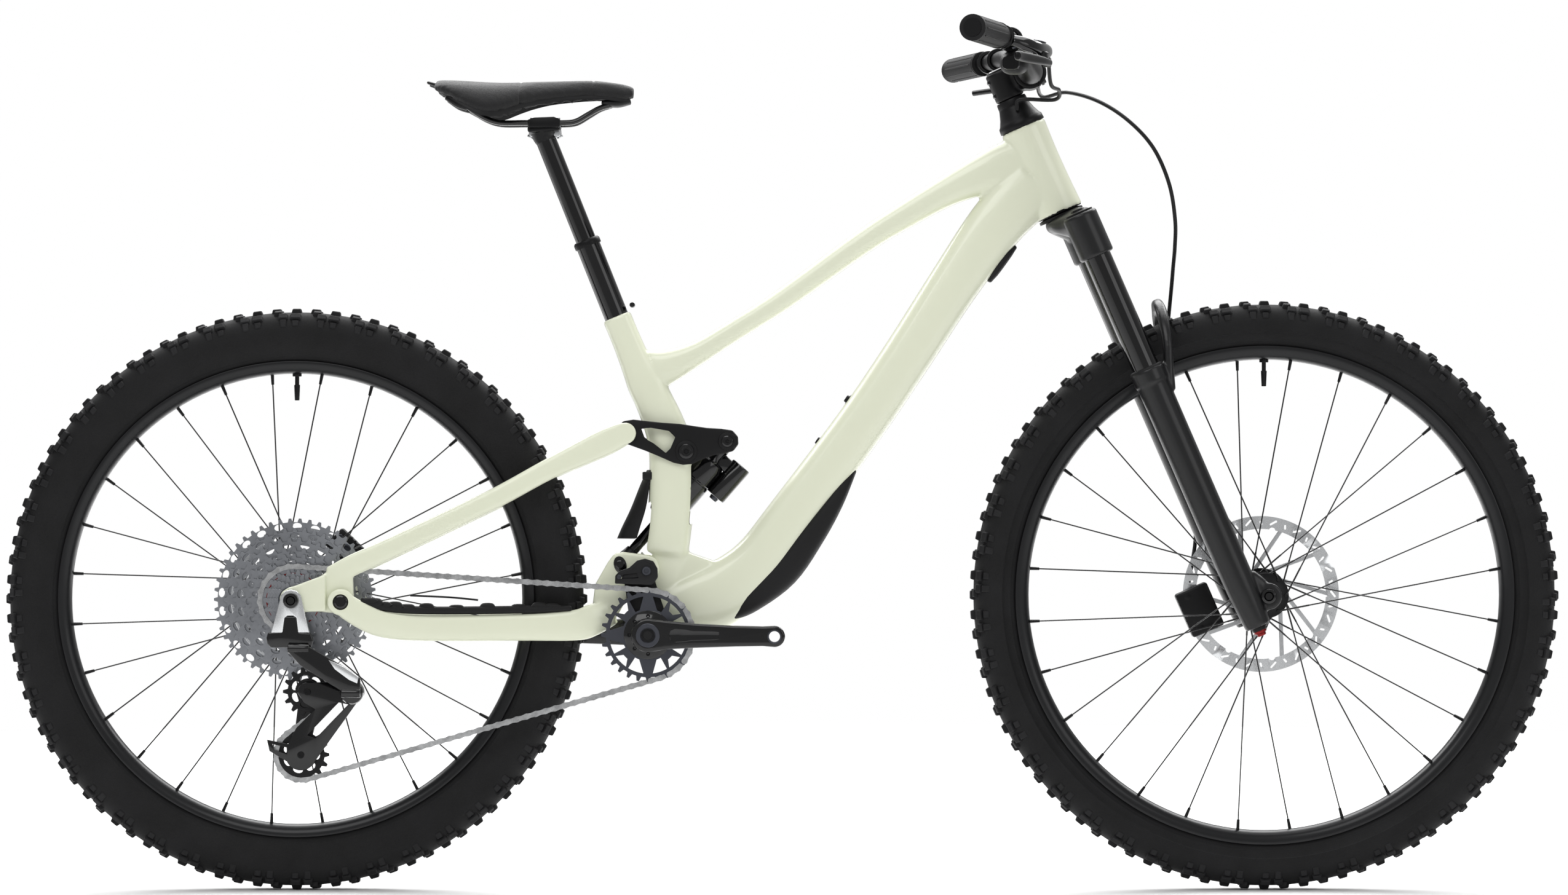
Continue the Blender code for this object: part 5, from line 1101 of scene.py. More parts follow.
class BIKE_OT_chainstay(bpy.types.Operator):
    """Lower rear member with its yoke, pivot bolts and ribbed chain guard"""
    bl_idname = "bike.chainstay"
    bl_label = "Chainstay"

    def execute(self, context):
        arms = []
        ear = [(0.012, 0.013), (0.004, 0.0165), (-0.004, 0.018), (-0.030, 0.0215), (-0.042, 0.019),
               (-0.050, 0.008), (-0.066, -0.020), (-0.069, -0.045), (-0.066, -0.060), (-0.052, -0.066),
               (-0.040, -0.063), (-0.028, -0.042), (-0.014, -0.026), (-0.002, -0.0175), (0.012, -0.012),
               (0.017, 0.0)]
        for side in (-1, 1):
            low, high = sorted((side * 0.0228, side * 0.0330))
            arms.append(plate([(MAIN.x + x, MAIN.z + z) for x, z in ear], low, high, 0.003, 3))
            stations = [((BB.x - 0.048, side * 0.0295, 0.3540), 0.0170, 0.0050),
                        ((BB.x - 0.072, side * 0.0375, 0.3435), 0.0200, 0.0068),
                        ((BB.x - 0.094, side * 0.0425, 0.3375), 0.0195, 0.0068),
                        ((BB.x - 0.160, side * 0.0470, 0.3350), 0.0170, 0.0078),
                        ((BB.x - 0.280, side * 0.0622, 0.3345), 0.0163, 0.0080),
                        ((HORST.x + 0.056, side * 0.0752, 0.3390), 0.0165, 0.0060),
                        ((HORST.x + 0.030, side * 0.0797, 0.3490), 0.0165, 0.0046),
                        ((HORST.x + 0.008, side * 0.0803, HORST.z - 0.006), 0.0158, 0.0043)]
            arms.append(tube("arm", stations, 36, 0.62))
            low, high = sorted((side * 0.0760, side * 0.0846))
            arms.append(across(HORST, low, high, 0.0168, 40, 0.0012))
        arms.append(brick((BB.x - 0.0595, 0, 0.362), (0.0125, 0.056, 0.040), None, 0.004, 3))
        body = fused("chainstay", arms, 0.0016, 5)
        piece("chainstay_body", cut(body, across(HORST, -0.1, 0.1, 0.0100, 32)), "chainstay_arm", paint(),
              ["chainstay"], 35)
        caps = []
        for side in (-1, 1):
            caps.append(pivot_cap(HORST, side * 0.0790, 0.0098, 0.0052))
            caps.append(pivot_cap(MAIN, side * 0.0328, 0.0080, 0.0030))
            oval = [(FOOT.x + 0.0082 * math.cos(a) - 0.0015 * math.sin(a), FOOT.z + 0.0110 * math.sin(a))
                    for a in [2 * math.pi * k / 32 for k in range(32)]]
            low, high = sorted((side * 0.0322, side * 0.0340))
            caps.append(plate(oval, low, high, 0.0006, 2))
            caps.append(pivot_cap(FOOT, side * 0.0338, 0.0062, 0.0024))
            low, high = sorted((side * 0.0665, side * 0.0800))
            caps.append(across(HORST, low, high, 0.0063))
        caps.append(across(FOOT, -0.0325, 0.0325, 0.0049))
        caps.append(across(MAIN, -0.0325, 0.0325, 0.0064))
        piece("chainstay_bolts", caps, "chainstay_arm", gloss_black(), smooth=30)
        self.guard()
        return {"FINISHED"}

    def guard(self):
        """A low pad on the drive-side arm with a row of soft waves on its top."""
        a, h = BB, HORST
        base = [(Vector((a.x - 0.100, -0.0435, 0.3590)), 0.0035, 0.0060),
                (Vector((a.x - 0.160, -0.0465, 0.3575)), 0.0050, 0.0072),
                (Vector((a.x - 0.280, -0.0620, 0.3570)), 0.0050, 0.0075),
                (Vector((h.x + 0.052, -0.0742, 0.3615)), 0.0050, 0.0056),
                (Vector((h.x + 0.028, -0.0785, 0.3700)), 0.0035, 0.0040)]
        pad = [tube("pad", base, 24, 0.75, cap=0.003)]
        line = smooth_line([s[0] for s in base], 24)
        total = len(line) - 1
        for k in range(11):
            point = line[round(total * (0.10 + 0.80 * k / 10))]
            tall = 0.0040 + 0.0018 * (k % 2)
            wave = [(point + Vector((x, 0, 0.0030)), high, 0.0056) for x, high in
                    ((-0.0105, 0.0010), (-0.0060, tall), (0.0060, tall), (0.0105, 0.0010))]
            pad.append(tube("wave", wave, 16, 0.8, cap=0.0008, steps=3))
        piece("chain_slap_guard", pad, "chainstay_arm", soft_rubber(), ["chainstay_guard"], 40)
        thin = cable("ridge", [(a.x - 0.215, -0.0585, 0.3700), (a.x - 0.250, -0.0632, 0.3735),
                               (a.x - 0.300, -0.0700, 0.3760)],
                     0.0012)
        piece("guard_ridge", thin, "chainstay_arm", soft_rubber())


class BIKE_OT_seatstay(bpy.types.Operator):
    """Upper rear member with dropouts, bridge, axle and brake"""
    bl_idname = "bike.seatstay"
    bl_label = "Seatstay"

    def execute(self, context):
        e, s, h = REAR, STAY, HORST
        parts = []
        for side in (-1, 1):
            low, high = sorted((side * 0.0745, side * 0.0822))
            drop = [(-0.0150, 0.004), (-0.012, 0.011), (-0.004, 0.0165), (0.004, 0.0185), (0.020, 0.0245),
                    (0.043, 0.0330),
                    (0.043, -0.0140), (0.020, -0.0146), (0.004, -0.0160), (-0.004, -0.0155),
                    (-0.012, -0.0105),
                    (-0.0150, -0.004)]
            parts.append(plate([(e.x + x, e.z + z) for x, z in drop], low, high, 0.0016, 2))
            low, high = sorted((side * 0.0661, side * 0.0755))
            knee = [(e.x + 0.030, e.z + 0.027), (e.x + 0.050, e.z + 0.040), (e.x + 0.074, e.z + 0.050),
                    (h.x + 0.0150, h.z + 0.030), (h.x + 0.0160, h.z + 0.006), (h.x + 0.0120, h.z - 0.0100),
                    (h.x, h.z - 0.0147), (e.x + 0.030, e.z - 0.0143)]
            parts.append(plate(knee, low, high, 0.0020, 2))
            stations = [((e.x + 0.050, side * 0.0712, e.z + 0.031), 0.0125, 0.0046),
                        ((e.x + 0.080, side * 0.0708, e.z + 0.046), 0.0135, 0.0052),
                        ((e.x + 0.120, side * 0.0682, e.z + 0.064), 0.0130, 0.0062),
                        ((e.x + 0.190, side * 0.0622, e.z + 0.097), 0.0128, 0.0070),
                        ((e.x + 0.260, side * 0.0555, e.z + 0.131), 0.0130, 0.0072),
                        ((s.x - 0.100, side * 0.0510, s.z - 0.0470), 0.0132, 0.0068),
                        ((s.x - 0.060, side * 0.0470, s.z - 0.0275), 0.0150, 0.0055),
                        ((s.x - 0.026, side * 0.0446, s.z - 0.0115), 0.0162, 0.0047),
                        ((s.x - 0.001, side * 0.0444, s.z + 0.0005), 0.0140, 0.0046)]
            parts.append(tube("arm", stations, 36, 0.60, cap=0.004))
            low, high = sorted((side * 0.0400, side * 0.0489))
            parts.append(across(s, low, high, 0.0135, 40))
        bridge = at(s, -0.072, -0.034)
        parts.append(tube("bridge", [((bridge.x, -0.048, bridge.z), 0.0125, 0.0085),
                                     ((bridge.x, -0.025, bridge.z), 0.0085, 0.0080),
                                     ((bridge.x, 0.025, bridge.z), 0.0085, 0.0080),
                                     ((bridge.x, 0.048, bridge.z), 0.0125, 0.0085)],
                          28, 0.85, (1, 0, 0)))
        body = fused("seatstay", parts, 0.0016, 4)
        cut(body, across(h, -0.1, 0.1, 0.0068, 32), across(e, -0.1, 0.1, 0.0064, 32))
        piece("seatstay_body", body, "rear_stay", paint(), ["seatstay"], 35)
        head = lathe("axle head", [(0.0001, -0.0951), (0.0046, -0.0951), (0.0050, -0.0935), (0.0060, -0.0951),
                                   (0.0092, -0.0945), (0.0099, -0.0930), (0.0099, -0.0902), (0.0060, -0.0902),
                                   (0.0060, 0.0833), (0.0001, 0.0833)], e, SIDE, 48)
        end = lathe("axle end", [(0.0061, 0.0824), (0.0100, 0.0824), (0.0096, 0.0836), (0.0061, 0.0840)], e,
                    SIDE, 36)
        piece("rear_axle_bolt", [head, end], "rear_stay", gloss_black(), ["rear_axle"])
        along = Vector((0.70, 0, 0.714)).normalized()
        caliper("rear", e + 0.086 * along, along, 0.0572, (0.032, 0.050), -0.0115, 0.0066, "rear_stay")
        return {"FINISHED"}


def caliper(where, centre, along, y, size, inside, outside, body):
    """A two-piece brake caliper with cooling fins, bolts and the slot for the rotor."""
    long, high = size
    turn = (0, math.atan2(-along.z, along.x), 0)
    cross = Vector((-along.z, 0, along.x))
    low, top = y + inside, y + outside

    def put(a, c, depth):
        return Vector((centre.x, depth, centre.z)) + a * along + c * cross

    block = brick(put(0, 0, (low + top) / 2), (long, top - low, high), turn, 0.0035, 3)
    cut(block, brick(put(-0.010, 0, y), (long, 0.0034, high + 0.02), turn))
    parts = [block]
    for k in range(5):
        parts.append(brick(put(long * 0.47, (k - 2) * high * 0.13, (low + top) / 2),
                           (0.0022, (top - low) * 0.9, high * 0.055), turn, 0.0005, 1))
    for c in (-0.36, 0.36):
        parts.append(rod(put(long * 0.18, c * high, low - 0.0001), put(long * 0.18, c * high, top + 0.0001),
                         0.0048,
                         sides=24, bevel=0.0008))
    piece("caliper_" + where, parts, body, anodised(), [where + "_brake_caliper"], 35)
    edge = top - 0.0002 if where == "front" else low + 0.0002
    out = SIDE if where == "front" else -SIDE
    ring = lathe("piston cap", [(0.0001, 0), (0.0098, 0), (0.0098, 0.0009), (0.0088, 0.0014),
                                (0.0060, 0.0014),
                                (0.0055, 0.0008), (0.0001, 0.0008)],
                 put(-0.002, 0.0, edge), out, 32)
    trim = [ring]
    for c in (-0.36, 0.36):
        trim.append(bolt(put(long * 0.18, c * high, edge), out, 0.0036, 0.0016))
    piece("caliper_trim_" + where, trim, body, dark_ring())


class BIKE_OT_linkage(bpy.types.Operator):
    """Forged rocker link and the shock with its reservoir"""
    bl_idname = "bike.linkage"
    bl_label = "Rocker and shock"

    def execute(self, context):
        r, s, t = ROCKER, STAY, EYE
        outline = [(s.x - 0.012, s.z - 0.003), (s.x - 0.0100, s.z + 0.008), (s.x - 0.003, s.z + 0.0155),
                   (s.x + 0.010, s.z + 0.0175), (s.x + 0.032, s.z + 0.0150), (r.x - 0.030, r.z + 0.0365),
                   (r.x - 0.008, r.z + 0.0350), (r.x + 0.012, r.z + 0.0320), (r.x + 0.026, r.z + 0.0300),
                   (t.x - 0.008, t.z + 0.0160), (t.x + 0.006, t.z + 0.0140), (t.x + 0.0130, t.z + 0.0060),
                   (t.x + 0.0135, t.z - 0.0040), (t.x + 0.0070, t.z - 0.0125), (t.x - 0.0040, t.z - 0.0155),
                   (t.x - 0.018, t.z - 0.0180), (r.x + 0.018, r.z - 0.0110), (r.x + 0.008, r.z - 0.0160),
                   (r.x - 0.004, r.z - 0.0170), (r.x - 0.016, r.z - 0.0145), (s.x + 0.044, s.z - 0.0300),
                   (s.x + 0.026, s.z - 0.0225), (s.x + 0.004, s.z - 0.0145), (s.x - 0.007, s.z - 0.0100)]
        window = [(s.x + 0.018, s.z + 0.006), (s.x + 0.032, s.z + 0.0070), (r.x - 0.022, r.z + 0.026),
                  (r.x - 0.014, r.z + 0.018), (r.x - 0.020, r.z + 0.004), (r.x - 0.026, r.z - 0.002),
                  (s.x + 0.036, s.z - 0.0130), (s.x + 0.022, s.z - 0.0050)]
        parts = []
        for side in (-1, 1):
            low, high = sorted((side * 0.0330, side * 0.0396))
            cheek = plate(outline, low, high, 0.0018, 3)
            cut(cheek, plate(window, low - 0.01, high + 0.01, 0.001, 2))
            parts.append(cheek)
            for centre, radius in ((r, 0.0140), (t, 0.0115), (s, 0.0112)):
                rise = 0.0410 if centre is not s else 0.0394
                parts.append(across(centre, *sorted((side * 0.0340, side * rise)), radius, 40, 0.0008))
        parts.append(across(r, -0.034, 0.034, 0.0064))
        parts.append(across(t, -0.034, 0.034, 0.0049))
        piece("rocker_body", parts, "rocker", forged(), ["rocker_link"], 30)
        caps = []
        for side in (-1, 1):
            caps.append(pivot_cap(r, side * 0.0405, 0.0100, 0.0026))
            caps.append(pivot_cap(t, side * 0.0405, 0.0076, 0.0024))
        piece("rocker_bolts", caps, "rocker", gloss_black(), smooth=30)
        self.shock()
        return {"FINISHED"}

    def shock(self):
        t, d = EYE, SHOCK_DOWN
        n = Vector((-d.z, 0, d.x))
        can = lathe("can", [(0.0074, 0.031), (0.0150, 0.031), (0.0200, 0.0335), (0.0222, 0.040),
                            (0.0222, 0.062),
                            (0.0215, 0.0630), (0.0215, 0.0645), (0.0222, 0.0655), (0.0222, 0.122),
                            (0.0210, 0.1250),
                            (0.0190, 0.1285), (0.0120, 0.1318), (0.0074, 0.1318)], t, d, 56)
        neck = lathe("neck", [(0.0001, 0.004), (0.0105, 0.006), (0.0115, 0.016), (0.0112, 0.026),
                              (0.0150, 0.0330),
                              (0.0001, 0.0330)], t, d, 40)
        eye = lathe("eye", [(0.0053, -0.0125), (0.0118, -0.0125), (0.0125, -0.0115), (0.0125, 0.0115),
                            (0.0118, 0.0125), (0.0053, 0.0125)], t, SIDE, 40)
        tank = rod(t + 0.012 * d + 0.034 * n, t + 0.064 * d + 0.034 * n, 0.0135, sides=40, bevel=0.0020)
        web = brick(t + 0.024 * d + 0.017 * n, (0.024, 0.013, 0.018), (0, math.atan2(-n.z, n.x), 0), 0.003, 3)
        piece("shock_can", [can, neck, eye, tank, web], "shock_upper", gloss_black(), ["shock_body"], 32)
        dial = rod(t + 0.0635 * d + 0.034 * n, t + 0.0690 * d + 0.034 * n, 0.0062, 0.0052, 20, 0.0006)
        knob_in = rod(t + 0.022 * d - 0.011 * n, t + 0.022 * d - 0.0165 * n, 0.0048, sides=18, bevel=0.0006)
        piece("shock_dial", [dial, knob_in], "shock_upper", dark_ring())
        far = FOOT
        shaft = rod(t + 0.085 * d, far - 0.008 * d, 0.0069, sides=32)
        end = lathe("lower eye", [(0.0078, -0.0125), (0.0116, -0.0125), (0.0125, -0.0115), (0.0125, 0.0115),
                                  (0.0116, 0.0125), (0.0078, 0.0125)], far, SIDE, 40)
        neck = rod(far - 0.024 * d, far - 0.010 * d, 0.0085, 0.0110, 28, 0.0008)
        piece("shock_rod", shaft, "shock_lower", stanchion_black(), ["shock_shaft"], 40)
        piece("shock_lower_eye", [end, neck], "shock_lower", anodised())


# ---- fork -----------------------------------------------------------------------------------
class BIKE_OT_fork(bpy.types.Operator):
    """Crown, stanchions, steerer, cast lowers, axle and adjusters"""
    bl_idname = "bike.fork"
    bl_label = "Fork"

    def execute(self, context):
        bridge = [(on_fork(0.031, 0.017, -STANCHION_Y - 0.0030), 0.0190, 0.0150),
                  (on_fork(0.026, 0.017, -0.056), 0.0200, 0.0200),
                  (on_fork(0.021, 0.012, -0.042), 0.0165, 0.0215),
                  (on_fork(0.0130, 0.004, -0.018), 0.0115, 0.0260),
                  (on_fork(0.0125, 0.003, 0.0), 0.0112, 0.0265)]
        mirror = [(Vector((c.x, -c.y, c.z)), h, w) for c, h, w in reversed(bridge[:-1])]
        parts = [tube("bridge", bridge + mirror, 40, 0.72, AHEAD)]
        for side in (-1, 1):
            foot = on_fork(0.0125, STANCHION_AHEAD, side * STANCHION_Y)
            parts.append(rod(foot, foot + 0.0585 * DOWN, 0.0225, 0.0226, 48, 0.003))
        body = fused("crown", parts, 0.0015, 4)
        hole = rod(on_fork(0.0200, 0, 0), on_fork(0.030, 0, 0), 0.0125, sides=32)
        piece("crown_body", cut(body, hole), "steering", lower_black(), ["fork_crown"], 40)
        legs, caps = [], []
        for side in (-1, 1):
            foot = on_fork(0.0, STANCHION_AHEAD, side * STANCHION_Y)
            legs.append(rod(foot + 0.030 * DOWN, foot + 0.3555 * DOWN, 0.0175, sides=56))
            caps.append(lathe("cap", [(0.0001, 0.0090), (0.0110, 0.0090), (0.0150, 0.0102), (0.0185, 0.0104),
                                      (0.0185, 0.0125), (0.0001, 0.0125)], foot, DOWN, 40))
            caps.append(rod(foot + 0.0095 * DOWN, foot + 0.0062 * DOWN, 0.0098, 0.0085, 8, 0.0006))
        piece("stanchions", legs, "steering", stanchion_black(), smooth=40)
        piece("crown_caps", caps, "steering", anodised())
        steerer = rod(on_fork(0.004), on_fork(-0.1960), 0.0142, sides=40)
        race = lathe("race", [(0.0142, 0.0060), (0.0295, 0.0060), (0.0295, 0.0025), (0.0235, 0.0008),
                              (0.0142, 0.0008)],
                     RACE, DOWN, 48)
        piece("steerer_tube", [steerer, race], "steering", anodised())
        self.lowers()
        return {"FINISHED"}

    def lowers(self):
        parts = []
        for side in (-1, 1):
            leg = [(on_fork(0.2359, STANCHION_AHEAD, side * STANCHION_Y), 0.0214, 0.0214)]
            for down, r in ((0.255, 0.0208), (0.300, 0.0205), (0.430, 0.0204), (0.515, 0.0202),
                            (0.545, 0.0192),
                            (0.570, 0.0176), (0.581, 0.0162)):
                leg.append((on_fork(down, STANCHION_AHEAD, side * STANCHION_Y), r, r))
            parts.append(tube("leg", leg, 40, 1.0, steps=3))
            collar = on_fork(0.0, STANCHION_AHEAD, side * STANCHION_Y)
            parts.append(rod(collar + 0.2262 * DOWN, collar + 0.2459 * DOWN, 0.0229, 0.0226, 48, 0.002))
            foot = [(on_fork(0.520, 0.026, side * 0.0650), 0.016, 0.0105),
                    (on_fork(0.536, 0.032, side * 0.0645), 0.018, 0.0095),
                    (on_fork(0.553, 0.0375, side * 0.0640), 0.0175, 0.0088),
                    (on_fork(0.563, 0.0400, side * 0.0638), 0.0120, 0.0084)]
            parts.append(tube("foot", foot, 32, 0.75, cap=0.003))
            drop = FRONT
            parts.append(across(Vector((drop.x, 0, drop.z)), *sorted((side * 0.0556, side * 0.0725)), 0.0170,
                                40, 0.0015))
        arch = [(on_fork(0.262, 0.034, -0.0640), 0.0105, 0.0075),
                (on_fork(0.236, 0.044, -0.0625), 0.0100, 0.0066),
                (on_fork(0.205, 0.056, -0.0590), 0.0095, 0.0066),
                (on_fork(0.180, 0.0625, -0.0480), 0.0090, 0.0070),
                (on_fork(0.167, 0.0660, -0.0320), 0.0088, 0.0072),
                (on_fork(0.160, 0.067, -0.014), 0.0088, 0.0070),
                (on_fork(0.159, 0.067, 0.0), 0.0088, 0.0068)]
        mirror = [(Vector((c.x, -c.y, c.z)), h, w) for c, h, w in reversed(arch[:-1])]
        parts.append(tube("arch", arch + mirror, 32, 0.72, AHEAD))
        body = fused("lowers", parts, 0.0017, 4)
        tools = [across(FRONT, -0.2, 0.2, 0.0078, 32)]
        for side in (-1, 1):
            top = on_fork(0.0, STANCHION_AHEAD, side * STANCHION_Y)
            tools.append(rod(top + 0.215 * DOWN, top + 0.512 * DOWN, 0.0178, sides=48))
        piece("lowers_body", cut(body, *tools), "fork_lower", lower_black(), ["fork_lowers"], 40)
        seals, knobs, reds = [], [], []
        for side in (-1, 1):
            top = on_fork(0.0, STANCHION_AHEAD, side * STANCHION_Y)
            seals.append(lathe("wiper", [(0.0177, 0.2258), (0.0188, 0.2240), (0.0212, 0.2248),
                                         (0.0222, 0.2264),
                                         (0.0222, 0.2300), (0.0180, 0.2300)], top, DOWN, 48))
            knobs.append(rod(top + 0.580 * DOWN, top + 0.5865 * DOWN, 0.0100, 0.0090, 6 if side > 0 else 28,
                             0.0008))
        base = on_fork(0.5860, STANCHION_AHEAD, -STANCHION_Y)
        reds.append(rod(base, base + 0.0035 * DOWN, 0.0086, 0.0080, 28, 0.0006))
        reds.append(rod(base + 0.0035 * DOWN, base + 0.0075 * DOWN, 0.0062, 0.0056, 14, 0.0008))
        piece("dust_wipers", seals, "fork_lower", soft_rubber())
        piece("foot_nuts", knobs, "fork_lower", anodised())
        piece("rebound_knob", reds, "fork_lower", accent())
        axle = lathe("axle", [(0.0001, -0.0768), (0.0045, -0.0768), (0.0050, -0.0750), (0.0062, -0.0768),
                              (0.0092, -0.0762),
                              (0.0100, -0.0748), (0.0100, -0.0730), (0.0074, -0.0728), (0.0074, 0.0722),
                              (0.0001, 0.0722)],
                     FRONT, SIDE, 44)
        piece("front_axle_bolt", axle, "fork_lower", gloss_black(), ["front_axle"])
        middle = on_fork(0.538, -0.0365)
        caliper("front", Vector((middle.x, 0, middle.z)), -AHEAD, 0.0456, (0.044, 0.060), -0.0120, 0.0118,
                "fork_lower")


# ---- cockpit --------------------------------------------------------------------------------
def bar_point(y):
    """The bar's centre line: level at the clamp, then swept back and up."""
    t = max(0.0, (abs(y) - 0.035) / 0.35)
    return Vector((CLAMP.x - 0.086 * t ** 1.15, y, CLAMP.z + 0.030 * min(1.0, 3.2 * t) ** 2))


def on_bar(side, y, x, z):
    return bar_point(side * y) + Vector((x, 0, z))


class BIKE_OT_cockpit(bpy.types.Operator):
    """Stem, bar, grips, brake levers, shifter and post remote"""
    bl_idname = "bike.cockpit"
    bl_label = "Cockpit"

    def execute(self, context):
        cover = lathe("cover", [(0.0146, -0.0380), (0.0190, -0.0382), (0.0197, -0.0360), (0.0200, -0.0285),
                                (0.0202, -0.0280), (0.0235, -0.0180), (0.0270, -0.0105), (0.0292, -0.0078),
                                (0.0298, -0.0010),
                                (0.0292, -0.0002), (0.0146, -0.0002)], HEAD_TOP, DOWN, 56)
        grooves = [lathe("groove", [(0.0194, a), (0.0204, a), (0.0204, a - 0.0008), (0.0194, a - 0.0008)],
                         HEAD_TOP, DOWN, 48)
                   for a in (-0.0300,)]
        piece("headset_cone", cut(cover, *grooves), "steering", anodised(), ["headset_cover"], 45)
        middle = on_fork(-0.178)
        parts = [rod(middle + 0.0202 * DOWN, middle - 0.0185 * DOWN, 0.0188, 0.0186, 48, 0.0025)]
        neck = [(middle - 0.004 * AHEAD, 0.0165, 0.0172), (middle + 0.010 * AHEAD, 0.0160, 0.0165),
                (middle + 0.022 * AHEAD, 0.0165, 0.0190), (CLAMP + 0.002 * AHEAD, 0.0170, 0.0225)]
        parts.append(tube("neck", neck, 32, 0.7))
        parts.append(across(CLAMP, -0.0243, 0.0243, 0.0208, 48, 0.0012))
        body = fused("stem", parts, 0.0013, 3)
        cut(body, across(CLAMP, -0.1, 0.1, 0.0160, 48),
            brick(CLAMP + 0.0035 * AHEAD, (0.0012, 0.06, 0.06), (0, math.atan2(-AHEAD.z, AHEAD.x), 0)),
            brick(middle - 0.017 * AHEAD, (0.02, 0.0018, 0.06), (0, math.atan2(-AHEAD.z, AHEAD.x), 0)))
        piece("stem_body", body, "steering", anodised(), ["stem"], 40)
        screws = []
        for side in (-1, 1):
            for high in (-1, 1):
                spot = CLAMP + 0.0125 * AHEAD + high * 0.0165 * DOWN + Vector((0, side * 0.0165, 0))
                screws.append(bolt(spot - 0.002 * AHEAD, AHEAD, 0.0034, 0.0040))
        for high in (-1, 1):
            spot = middle - 0.0165 * AHEAD + high * 0.0095 * DOWN
            screws.append(rod(spot - 0.0085 * SIDE, spot + 0.0085 * SIDE, 0.0030, sides=20, bevel=0.0005))
        screws.append(lathe("top cap", [(0.0001, 0.0186), (0.0165, 0.0186), (0.0165, 0.0200),
                                        (0.0145, 0.0212),
                                        (0.0040, 0.0212), (0.0040, 0.0200), (0.0001, 0.0200)], middle, -DOWN,
                                        40))
        piece("stem_bolts", screws, "steering", gloss_black(), smooth=30)
        half = sizes().bar_half
        steps = [half * (2 * k / 60 - 1) for k in range(61)]
        bar = []
        for y in steps:
            far = abs(y)
            radius = 0.0158 if far <= 0.055 else 0.0158 - 0.0047 * min(1.0, (far - 0.055) / 0.055)
            bar.append((bar_point(y), radius, radius))
        piece("bar_tube", tube("bar", bar, 32, 1.0, (1, 0, 0), steps=1), "steering", anodised(),
              ["handlebar"], 50)
        for side in (-1, 1):
            self.grip(side)
            self.brake(side)
        self.shifter()
        self.remote()
        return {"FINISHED"}

    def grip(self, side):
        name = "left" if side > 0 else "right"
        rings = []
        count = 34
        for k in range(count + 1):
            far = 0.2520 + (0.3840 - 0.2520) * k / count
            ends = min(k, count - k)
            radius = 0.0163 if ends < 2 else 0.0152 + 0.0006 * (k % 2)
            if k <= 1:
                radius = 0.0162
            rings.append((bar_point(side * far), radius, radius))
        body = tube("grip", rings, 28, 1.0, (1, 0, 0), steps=1)
        piece("grip_body_" + name, body, "steering", soft_rubber(), ["grip_" + name], 25)
        ribs = []
        axis = (bar_point(side * 0.384) - bar_point(side * 0.252)).normalized()
        for k in range(10):
            turn = Matrix.Rotation(2 * math.pi * k / 10, 3, axis)
            out = turn @ Vector((0, 0, 1)).cross(axis).normalized()
            a, b = bar_point(side * 0.266) + 0.0150 * out, bar_point(side * 0.370) + 0.0150 * out
            ribs.append(rod(a, b, 0.0013, sides=8))
        piece("grip_ribs_" + name, ribs, "steering", soft_rubber())
        ring = lathe("lock ring", [(0.0112, 0.2520), (0.0163, 0.2520), (0.0163, 0.2590), (0.0112, 0.2590)],
                     Vector((0, 0, 0)), side * SIDE, 36)
        ring.data.transform(Matrix.Translation(bar_point(side * 0.2555) - Vector((0, side * 0.2555, 0))))
        piece("grip_ring_" + name, ring, "steering", anodised())

    def brake(self, side):
        name = "left" if side > 0 else "right"
        tank = [(on_bar(side, 0.2310, 0.0130, -0.004), 0.0075, 0.0055),
                (on_bar(side, 0.226, 0.026, -0.0085), 0.0088, 0.0080),
                (on_bar(side, 0.214, 0.036, -0.0125), 0.0095, 0.0095),
                (on_bar(side, 0.190, 0.040, -0.014), 0.0098, 0.0098),
                (on_bar(side, 0.172, 0.0415, -0.014), 0.0085, 0.0085),
                (on_bar(side, 0.161, 0.042, -0.014), 0.0062, 0.0062)]
        parts = [tube("tank", tank, 32, 0.85, (1, 0, 0), cap=0.001)]
        ring = lathe("clamp", [(0.0112, -0.0062), (0.0148, -0.0062), (0.0150, -0.0045), (0.0150, 0.0045),
                               (0.0148, 0.0062),
                               (0.0112, 0.0062)], bar_point(side * 0.2285), SIDE, 40)
        parts.append(ring)
        parts.append(brick(on_bar(side, 0.2285, 0.0145, -0.0065), (0.010, 0.0110, 0.010), (0, 0.4, 0), 0.002))
        lever_ears = [brick(on_bar(side, 0.2040, 0.0455, -0.022), (0.012, 0.0115, 0.012), (0, 0.2, 0),
                            0.0025)]
        parts += lever_ears
        piece("brake_master_" + name, parts, "steering", gloss_black(), ["brake_body_" + name], 38)
        trim = [rod(on_bar(side, 0.1610, 0.042, -0.014), on_bar(side, 0.1585, 0.0422, -0.014), 0.0048, 0.0040,
                    20, 0.0005),
                bolt(on_bar(side, 0.2285, 0.0150, -0.0120), Vector((0.3, 0, -0.95)), 0.0032, 0.0022)]
        cap = [(on_bar(side, 0.220, 0.0335, -0.0035), 0.0012, 0.0055),
               (on_bar(side, 0.205, 0.0385, -0.0042), 0.0014, 0.0070),
               (on_bar(side, 0.188, 0.0400, -0.0044), 0.0012, 0.0060)]
        trim.append(tube("lid", cap, 20, 0.8, (1, 0, 0), cap=0.001))
        piece("brake_trim_" + name, trim, "steering", dark_ring())
        blade = [(on_bar(side, 0.2030, 0.0500, -0.0300), 0.0050, 0.0060),
                 (on_bar(side, 0.2180, 0.0540, -0.0310), 0.0045, 0.0050),
                 (on_bar(side, 0.2450, 0.0545, -0.0310), 0.0052, 0.0036),
                 (on_bar(side, 0.2800, 0.0480, -0.0305), 0.0060, 0.0030),
                 (on_bar(side, 0.3080, 0.0420, -0.0300), 0.0062, 0.0031),
                 (on_bar(side, 0.3240, 0.0405, -0.0300), 0.0058, 0.0038),
                 (on_bar(side, 0.3290, 0.0415, -0.0300), 0.0048, 0.0042)]
